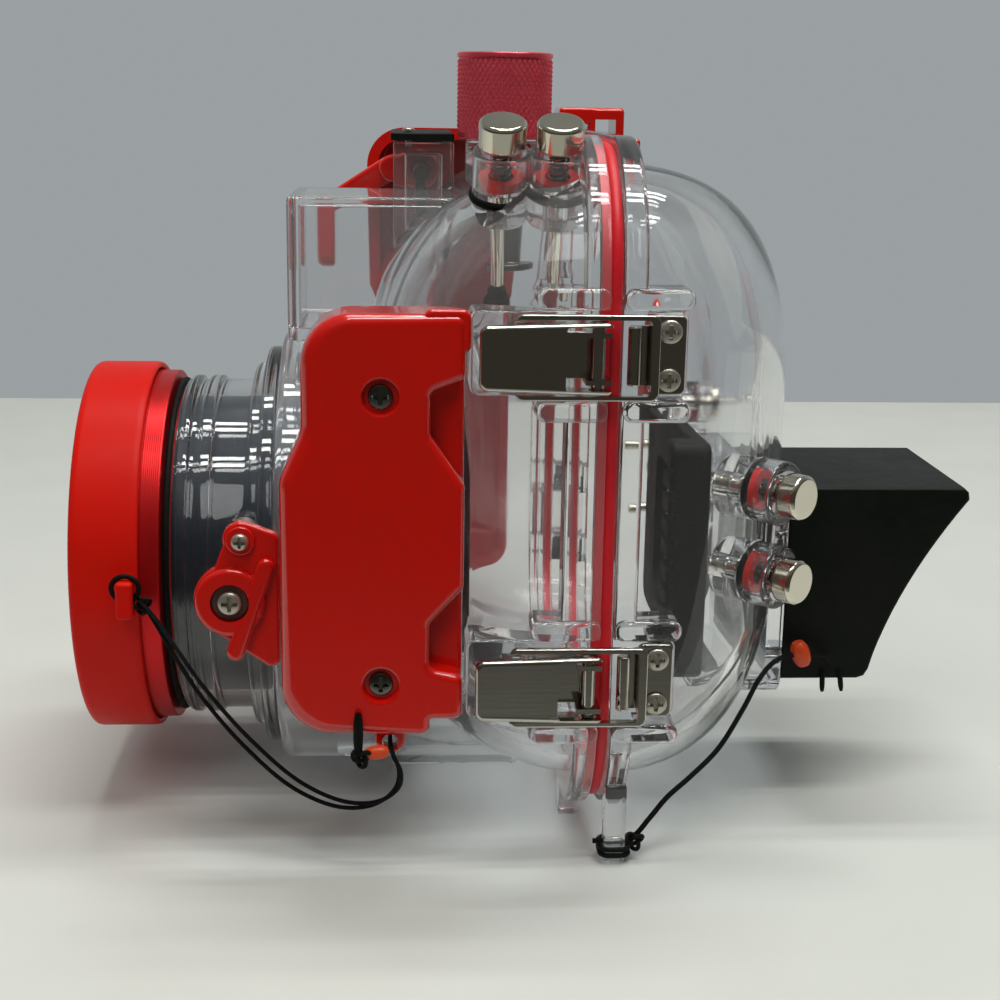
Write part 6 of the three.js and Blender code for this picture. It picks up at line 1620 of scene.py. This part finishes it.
def mode_knob():
    low, high, radius = KNOB.base, KNOB.top, KNOB.radius
    deep, ease, crown = KNOB.groove, KNOB.ease, KNOB.crown_ease
    foot_band, top_band = KNOB.band
    wall = knurled_wall(radius, low + foot_band, high - top_band, KNOB.ridges, KNOB.pitch, deep)
    columns = wall.shape[1]
    angle = round_angles(columns)

    def ring(reach, height):
        return np.stack([reach * np.cos(angle), reach * np.sin(angle), 0 * angle + height], -1)

    inner = radius - deep
    foot = [ring(CORE, low), ring(inner - KNOB.foot_in, low), ring(inner, low + ease)]
    turn = np.linspace(0, math.pi / 2, 6)
    head = [ring(inner, high - KNOB.neck), ring(radius, high - KNOB.crown)]
    head += [ring(radius - crown * (1 - math.cos(a)), high - crown * (1 - math.sin(a))) for a in turn]
    head += [ring(KNOB.recess + ease, high), ring(KNOB.recess, high - ease),
             ring(KNOB.recess, high - KNOB.recess_deep), ring(CORE, high - KNOB.recess_deep)]
    points, faces = skin(np.concatenate([np.stack(foot), wall, np.stack(head)]))
    return points + (KNOB.across, KNOB.along, 0), faces


def knob_shaft():
    """Shaft under the knob with the thin wheel that turns the dial."""
    top, foot = (KNOB.base + KNOB.top) / 2 - SEAT, KNOB.wheel_foot
    wheel, shaft, rim = KNOB.wheel, KNOB.shaft, foot + KNOB.wheel_tall
    profile = [(CORE, foot), (wheel, foot), (wheel, rim), (shaft, rim), (shaft, top), (CORE, top)]
    points, faces = turned(softened(profile, KNOB.shaft_ease), 48)
    return points + (KNOB.across, KNOB.along, 0), faces


made("mode_knob", "knurled", mode_knob(), "knob_anodised", "knob", 30, False)
made("knob_shaft", "turned", knob_shaft(), "dark_steel", "knob")


# Push controls: plated caps on shafts, their springs and seal rings

def plunger(size, reach, where, name, body, tip=0.0):
    """Cap, shaft and clip of a push control, turned about its axis."""
    foot = size.boss_tall + SEAT
    top, clip = foot + size.cap_tall, -size.root - SEAT
    shaft, wide, cap = size.shaft, size.clip, size.cap
    clip_foot, low, high = clip - PRESS.clip_tall, PRESS.foot_ease, PRESS.top_ease
    profile = [
        (CORE, -reach + tip), (shaft, -reach + tip), (shaft, clip_foot), (wide, clip_foot), (wide, clip),
        (shaft, clip), (shaft, foot), (cap - low, foot), (cap, foot + low), (cap, top - high),
        (cap - high, top), (CORE, top),
    ]
    solid = placed(turned(softened(profile, PRESS.ease), 72), where)
    made(name, "turned", solid, "nickel", body, 34)


def seal_ring(name, where, radius, thick, height, body):
    """Round ring of a push control's seal."""
    turn = round_angles(16)
    profile = np.stack([radius + thick * np.cos(turn), height + thick * np.sin(turn)], -1)
    piece(name, placed(turned(profile, 48, True), where), LOOK["black_rubber"], body)


def spring(size, where, name, body):
    """Wound wire between the boss floor and the cap; its end turns lie flat."""
    wire = SPRING.wire
    low = size.boss_tall - size.counterbore + SEAT + wire
    high = size.boss_tall - wire
    radius = size.shaft + SPRING.clear + wire
    turns = int((high - low) / SPRING.pitch) + 1
    share = np.linspace(0, 1, turns * 32 + 1)
    angle = 2 * math.pi * turns * share
    flat = SPRING.flat_turns
    climb = np.clip((share * turns - flat) / (turns - 2 * flat), 0, 1)
    line = np.stack([radius * np.cos(angle), radius * np.sin(angle), low + (high - low) * climb], -1)
    rows, origin = where
    coil = skin(tube(line @ rows + origin, wire, 10))
    thing = made(name, "wound", coil, "dark_steel", body, 60, False)
    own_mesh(thing)


def cup_washer(name, size, where, body):
    """Red cup washer on the boss floor, round the spring."""
    floor = size.boss_tall - size.counterbore
    low, high, wide = floor + CUP.low, floor + CUP.high, size.cap - CUP.clear
    profile = [(CUP.bore, low), (wide, low), (wide, high), (CUP.bore, high)]
    piece(name, placed(turned(profile, 48, True), where), LOOK["red_plastic"], body)


def add_controls():
    kinds = (
        ("top", "case", TOP_BUTTON, ("front", "rear"), TOP_FRAMES, TOP_BUTTON.reaches, RING.top),
        ("corner", "door", CORNER_BUTTON, ("upper", "lower"), CORNER_FRAMES, [CORNER_BUTTON.reach] * 2,
         RING.corner),
    )
    for kind, body, size, names, frames, reaches, ring in kinds:
        for name, where, reach in zip(names, frames, reaches):
            node, moving = f"{kind}_button_{name}", f"{kind}_{name}"
            plunger(size, reach, where, node, moving, TOP_BUTTON.tip_tall if moving == "top_front" else 0)
            spring(size, where, node + "_spring", body)
            seal_ring(moving + "_o_ring", where, *ring, body)
            cup_washer(moving + "_cup", size, where, body)
    for name, where in zip(REAR_STEPS, REAR_FRAMES):
        plunger(REAR_BUTTON, REAR_BUTTON.reach, where, "rear_button_" + name, "rear_" + name)


def button_tip():
    """Soft foot on the front top button's shaft, pulled in at its middle."""
    reach, wide, tall = TOP_BUTTON.reaches[0], TOP_BUTTON.tip, TOP_BUTTON.tip_tall
    low, high = -reach, -reach + tall - SEAT
    waist, (waist_low, waist_high) = wide * TIP.waist_share, TIP.waist
    profile = [
        (CORE, low), (wide * TIP.toe_share, low), (wide, low + TIP.toe), (wide, low + waist_low),
        (waist, low + waist_high), (waist, high - TIP.neck), (wide * TIP.neck_share, high), (CORE, high),
    ]
    return placed(turned(softened(profile, TIP.ease), 48), TOP_FRAMES[0])


add_controls()
made("top_button_front_tip", "moulded", button_tip(), "black_rubber", "top_front")


# Shutter lever, its shaft and the block's lid

def elbow():
    radius = SHUTTER.arm_deep / 2
    along = SHUTTER.along - SHUTTER.hub * SHUTTER.elbow_share
    return along, SHUTTER.height + SHUTTER.arm_rise - radius, radius


def shutter_lever():
    near, far = SHUTTER.hub_near, SHUTTER.hub_far
    front, back = SHUTTER.paddle_front, SHUTTER.paddle_front + SHUTTER.paddle_thick
    wrist = ((front + back) / 2, SHUTTER.paddle_top - SHUTTER.wrist_drop,
             SHUTTER.arm_deep * SHUTTER.wrist_share)
    ease = SHUTTER.arm_ease
    hub_outline = hull([(SHUTTER.along, SHUTTER.height, SHUTTER.hub), elbow()])
    hub = placed(plate(hub_outline, far, near, ease, ease), NEAR)
    arm = placed(plate(hull([elbow(), wrist]), far, far + SHUTTER.arm_thick, ease, ease), NEAR)
    outline = rounded(SHUTTER.paddle_far, SHUTTER.paddle_near, SHUTTER.paddle_foot,
                      SHUTTER.paddle_top, SHUTTER.paddle_bend)
    paddle = placed(plate(outline, -back, -front, *SHUTTER.paddle_ease), FORWARD)
    bore = placed(rod(SHUTTER.shaft + SEAT, far + SHUTTER.shaft_in, near + OVERRUN, SHUTTER.along,
                      SHUTTER.height, 24), NEAR)
    return carved("shutter_lever_moulded", hub, [arm, paddle], [bore])


def shutter_shaft():
    far, ease = SHUTTER.hub_far + SHUTTER.shaft_in + SEAT, SHUTTER.shaft_ease
    axle = placed(rod(SHUTTER.shaft, far, SHUTTER.shaft_near, SHUTTER.along, SHUTTER.height, 32,
                      ease), NEAR)
    half = SHUTTER.finger_thick / 2
    outline = rounded(SHUTTER.along - half, SHUTTER.along + half,
                      SHUTTER.height - SHUTTER.finger_reach, SHUTTER.height,
                      half * SHUTTER.finger_share, 5)
    start = SHUTTER.finger - SHUTTER.finger_wide / 2
    finger = placed(plate(outline, start, start + SHUTTER.finger_wide, ease, ease), NEAR)
    return carved("shutter_shaft_turned", axle, [finger])


def block_lid():
    foot, edge = SHUTTER.top + SEAT, SHUTTER.lid_edge
    outline = rounded(SHUTTER.far - edge, SHUTTER.near + edge, SHUTTER.front - edge, SHUTTER.back,
                      edge, 5)
    hole = rod(SHUTTER.lid_shank + SEAT, foot - OVERRUN, foot + SHUTTER.lid_thick + OVERRUN,
               SHUTTER.lid_across, SHUTTER.lid_along, 20)
    lid = plate(outline, foot, foot + SHUTTER.lid_thick, 0, SHUTTER.lid_ease)
    return carved("block_lid_moulded", lid, cuts=[hole])


made("shutter_lever", "moulded", shutter_lever(), "red_plastic", "shutter", 38)
made("shutter_shaft", "turned", shutter_shaft(), "dark_steel", "shutter")
made("block_lid", "moulded", block_lid(), "black_plastic", "case")
cross_screw("lid_screw", SHUTTER.lid_screw, SHUTTER.lid_screw_tall, SHUTTER.lid_shank,
            SHUTTER.lid_screw_long,
            at(UPRIGHT, SHUTTER.lid_across, SHUTTER.lid_along,
               SHUTTER.top + 2 * SEAT + SHUTTER.lid_thick + SHUTTER.lid_screw_tall), "case")


# Flash window box, seal, screen frame and hood

def flash_box():
    wall = FLASH.wall
    outer = block((FLASH.far, FLASH.near), (FLASH.front, FLASH.back), (FLASH.foot, FLASH.top),
                  FLASH.ease)
    cuts = [
        block((FLASH.far + wall, FLASH.near - wall), (FLASH.front + wall, FLASH.back + OVERRUN),
              (FLASH.foot + wall, FLASH.top - FLASH.roof), FLASH.hollow_ease),
        dome(FRONT_DOME, -SEAT, 0),
        placed(rod(PORT.turret + SEAT, PORT.turret_back, PORT.turret_front + OVERRUN,
                   segments=128), FORWARD),
    ]
    return carved("flash_box_clear", outer, cuts=cuts)


def main_gasket():
    """Face ring with rounded edges and the tongue that keys it into the front flange."""
    start, end, half = SEAL.edge, SEAL.edge + SEAL.width, SEAL.half
    turn = np.linspace(-math.pi / 2, math.pi / 2, 9)
    edge = start + SEAL.narrow
    rings = [(flange_outline(edge + SEAL.ease * (1 - math.cos(a))), half * math.sin(a)) for a in turn]
    rings += [(flange_outline(end), half), (flange_outline(end), -half)]
    face = placed(skin(layers(rings), closed=True), FORWARD)
    return carved("main_gasket_moulded", face, [seal_tongue(0.0)])


def camera_cushion():
    """Rubber frame round the screen: a thick toothed bar on the near side, thin bars elsewhere, and notches
    for the corner buttons."""
    back = SCREEN.inner - SEAT
    low, high = -back, -back + SCREEN.frame_thick
    outline = rounded(SCREEN.frame_far, SCREEN.frame_near, SCREEN.frame_foot, SCREEN.frame_top,
                      SCREEN.corner)
    edge, raised = SCREEN.wall + SCREEN.frame_edge, SCREEN.frame_raise
    opening = rounded(SCREEN.far + edge, SCREEN.near - edge, SCREEN.foot + edge + raised,
                      SCREEN.top - edge + raised, SCREEN.corner)
    heights = np.arange(SCREEN.frame_foot + SCREEN.pitch, SCREEN.frame_top - SCREEN.pitch,
                        SCREEN.pitch)
    start = SCREEN.frame_near - SCREEN.bar
    long, tall = SCREEN.frame_near + OVERRUN, SCREEN.pitch * SCREEN.tooth_share
    across, along = (start - OVERRUN, long), (-high - OVERRUN, -high + SCREEN.tooth)
    grooves = [block(across, along, (height, height + tall)) for height in heights]
    bar = plate(rounded(start, SCREEN.frame_near, SCREEN.frame_foot, SCREEN.frame_top,
                        SCREEN.bar_bend), low, high, *SCREEN.bar_ease)
    notch = rod(CORNER_BUTTON.clip + SCREEN.clip_clear, -CORNER_BUTTON.reach - SCREEN.reach_clear,
                -CORNER_BUTTON.root, segments=32)
    notches = [placed(notch, where) for where in CORNER_FRAMES]
    thin = plate(outline, low, low + SCREEN.thin, *SCREEN.thin_ease)
    hole = plate(opening, low - OVERRUN, high + OVERRUN)
    return carved("camera_cushion_moulded", placed(thin, FORWARD), [placed(bar, FORWARD)],
                  [placed(hole, FORWARD), *grooves, *notches])


def lcd_hood():
    """Hood seen from the side: level top and bottom, and a swept rear edge that runs in a shallow curve."""
    start, foot, top = SCREEN.out + SEAT, HOOD.foot, HOOD.top
    tip, heel = HOOD.tip, HOOD.heel
    share = np.linspace(0, 1, 13)[1:-1]
    sag = 4 * share * (1 - share) * HOOD.waist
    climb = foot + HOOD.round + (top - foot - 2 * HOOD.round) * share
    swept = np.stack([heel + (tip - heel) * share - sag, climb], -1)
    heel_bend = [(heel + away, foot + rise) for away, rise in HOOD.heel_curve]
    tip_bend = [(tip + away, top + rise) for away, rise in HOOD.tip_curve]
    outline = np.concatenate([[(start, foot)], heel_bend, swept, tip_bend, [(start, top)]])
    shell = placed(plate(outline, HOOD.far, HOOD.near, HOOD.ease, HOOD.ease, 4), NEAR)
    wall = HOOD.wall
    hollow = block((HOOD.far + wall, HOOD.near - wall), (start - OVERRUN, tip + OVERRUN),
                   (foot + wall, top - wall), HOOD.hollow_ease)
    return carved("lcd_hood_moulded", shell, cuts=[hollow])


made("flash_box", "clear", flash_box(), "clear_case", "case")
made("main_gasket", "moulded", main_gasket(), "seal_rubber", "case")
made("camera_cushion", "moulded", camera_cushion(), "black_rubber", "door")
made("lcd_hood", "moulded", lcd_hood(), "black_plastic", "hood", 38)


# Far side: grip cover, thumb rest, strap lug and hinge pin

def grip_outline():
    """The grip from the far side: finger hollows along its front edge are half waves of a sine."""
    left, right, corner = -GRIP.back, -GRIP.front, GRIP.corner
    back = corner * GRIP.back_share
    outline = filleted([
        (left, GRIP.foot, back), (right, GRIP.foot, corner), (right, GRIP.top, corner),
        (left, GRIP.top, back),
    ], 12)
    front = GRIP.finger_foot + (GRIP.finger_top - GRIP.finger_foot) * np.linspace(0, 1, 49)
    share = np.linspace(0, 3, 49) % 1.0
    edge = np.stack([right - GRIP.finger_deep * np.sin(math.pi * share), front], -1)
    return np.concatenate([outline[:26], edge[1:-1], outline[26:]])


def grip_cover():
    outline, wall = grip_outline(), GRIP.wall
    shell = placed(plate(outline, -GRIP.inner, -GRIP.outer, 0, GRIP.round, 8), FAR)
    hollow = placed(plate(inset(outline, wall), -GRIP.inner - OVERRUN, -GRIP.outer - wall, 0,
                          GRIP.hollow_ease), FAR)
    return carved("grip_cover_moulded", shell, cuts=[hollow, dome(FRONT_DOME, -SEAT, 0)])


def thumb_rest():
    """Domed pad: an ellipsoid leaning on the door, cut by the door's surface."""
    lean, reach = math.radians(THUMB.lean), THUMB.climb
    across, along, up = THUMB.half
    turn, climb = np.meshgrid(round_angles(56), np.linspace(-reach, reach, 30))
    x = across * np.cos(climb) * np.cos(turn)
    y, z = along * np.cos(climb) * np.sin(turn), up * np.sin(climb)
    y, z = y * math.cos(lean) + z * math.sin(lean), z * math.cos(lean) - y * math.sin(lean)
    rings = np.stack([x, y, z], -1) + THUMB.centre
    return carved("thumb_rest_moulded", skin(rings), cuts=[dome(DOOR_DOME, -SEAT, 0)])


def strap_lug():
    across, along = (LUG.far, LUG.near), (LUG.front, LUG.back)
    high = block(across, along, (LUG.foot, LUG.top), LUG.ease)
    low = block(across, (LUG.back - LUG.lap, LUG.low_back), (LUG.foot, LUG.low_top),
                LUG.low_ease)
    tongue = block(across, (LUG.tongue_front, LUG.front + OVERRUN), (LUG.tongue_foot, LUG.top),
                   LUG.low_ease)
    wide, tall = LUG.slot_wide / 2, LUG.slot_tall / 2
    slot_along, slot_height = LUG.slot_along, LUG.slot_height
    slot = block((LUG.far - OVERRUN, LUG.near + OVERRUN), (slot_along - wide, slot_along + wide),
                 (slot_height - tall, slot_height + tall))
    return carved("strap_lug_moulded", high, [low, tongue], [slot, dome(DOOR_DOME, -SEAT, 0)])


def hinge_pin():
    high, low = HINGE.heights
    reach = HINGE.middle / 2 + HINGE.gap + HINGE.outer + SEAT
    foot, top, head, tall = low - reach, high + reach, HINGE.head, HINGE.head_tall
    profile = softened([
        (CORE, foot - tall), (head, foot - tall), (head, foot), (HINGE.pin, foot), (HINGE.pin, top),
        (head, top), (head, top + tall), (CORE, top + tall),
    ], HINGE.pin_ease)
    points, faces = turned(profile, 32)
    return points + (HINGE_ACROSS, 0, 0), faces


made("grip_cover", "moulded", grip_cover(), "red_plastic", "case", 38)
made("thumb_rest", "moulded", thumb_rest(), "red_plastic", "door", 38)
made("strap_lug", "moulded", strap_lug(), "red_plastic", "door", 38)
made("hinge_pin", "turned", hinge_pin(), "steel", "case")


# Room: a pale table before a pale wall, ceiling lamps and a soft fill

def table_top():
    """Pale table top with rounded edges; it ends a little in front of the object."""
    outline = rounded(*TABLE.depth, *TABLE.width, TABLE.corner, 8)
    points, faces = plate(outline, -TABLE.thick, 0, TABLE.edge, TABLE.edge)
    thing = loose("table_top", (points - ORIGIN, faces))
    mesh = thing.data
    mesh.shade_smooth()
    mesh.set_sharp_from_angle(angle=math.radians(40))
    finish = Finish("table_top", (0.66, 0.68, 0.64), 0.5)
    shade = noise(finish.tree, finish.place, 2.4, 2.0, 0.4)
    finish.tinted(shade, (0.64, 0.66, 0.62), (0.7, 0.71, 0.67))
    finish.handled(0.4, 0.6)
    mesh.materials.append(finish.material)


def lamp(name, place, target, size, power, colour):
    data = bpy.data.lights.new(name, "AREA")
    data.shape = "RECTANGLE"
    data.size, data.size_y = size
    data.energy = power
    data.color = colour
    thing = added(name, data)
    direction = Vector(target) - Vector(place)
    thing.matrix_world = Matrix.Translation(place) @ direction.to_track_quat("-Z", "Y").to_matrix().to_4x4()
    return thing


def room_walls():
    """Surroundings by direction: a pale wall behind, a dim side in front with the table below it, a grey
    ceiling. The camera itself sees the pale wall all round."""
    world = bpy.data.worlds.new("room")
    bpy.context.scene.world = world
    world.use_nodes = True
    tree = world.node_tree
    place = tree.nodes.new("ShaderNodeTexCoord").outputs["Generated"]
    parts = tree.nodes.new("ShaderNodeSeparateXYZ")
    tree.links.new(place, parts.inputs["Vector"])
    shares = []
    for axis, span in (("Z", "below"), ("X", "behind"), ("Z", "overhead")):
        socket, (start, end) = parts.outputs[axis], ROOM[span]
        node = tree.nodes.new("ShaderNodeMapRange")
        node.interpolation_type = "SMOOTHSTEP"
        node.inputs["From Min"].default_value = start
        node.inputs["From Max"].default_value = end
        tree.links.new(socket, node.inputs["Value"])
        shares.append(node.outputs["Result"])
    front = blended(tree, shares[0], ROOM["front"], ROOM["table"])
    level = blended(tree, shares[1], front, ROOM["wall"])
    surroundings = blended(tree, shares[2], level, ROOM["ceiling"])
    path = tree.nodes.new("ShaderNodeLightPath")
    seen = blended(tree, path.outputs["Is Camera Ray"], surroundings, ROOM["wall"])
    tree.links.new(seen, tree.nodes["Background"].inputs["Color"])


table_top()
room_walls()
for index, (across, along) in enumerate(TUBES.places):
    lamp(f"tube_{index}", (across, along, TUBES.height), (across, along, 0), TUBES.size, TUBES.power,
         TUBES.colour)
fill = lamp("fill", FILL.place, FILL.target, FILL.size, FILL.power, FILL.colour)
fill.visible_glossy = False
bpy.context.scene.view_settings.view_transform = "Standard"
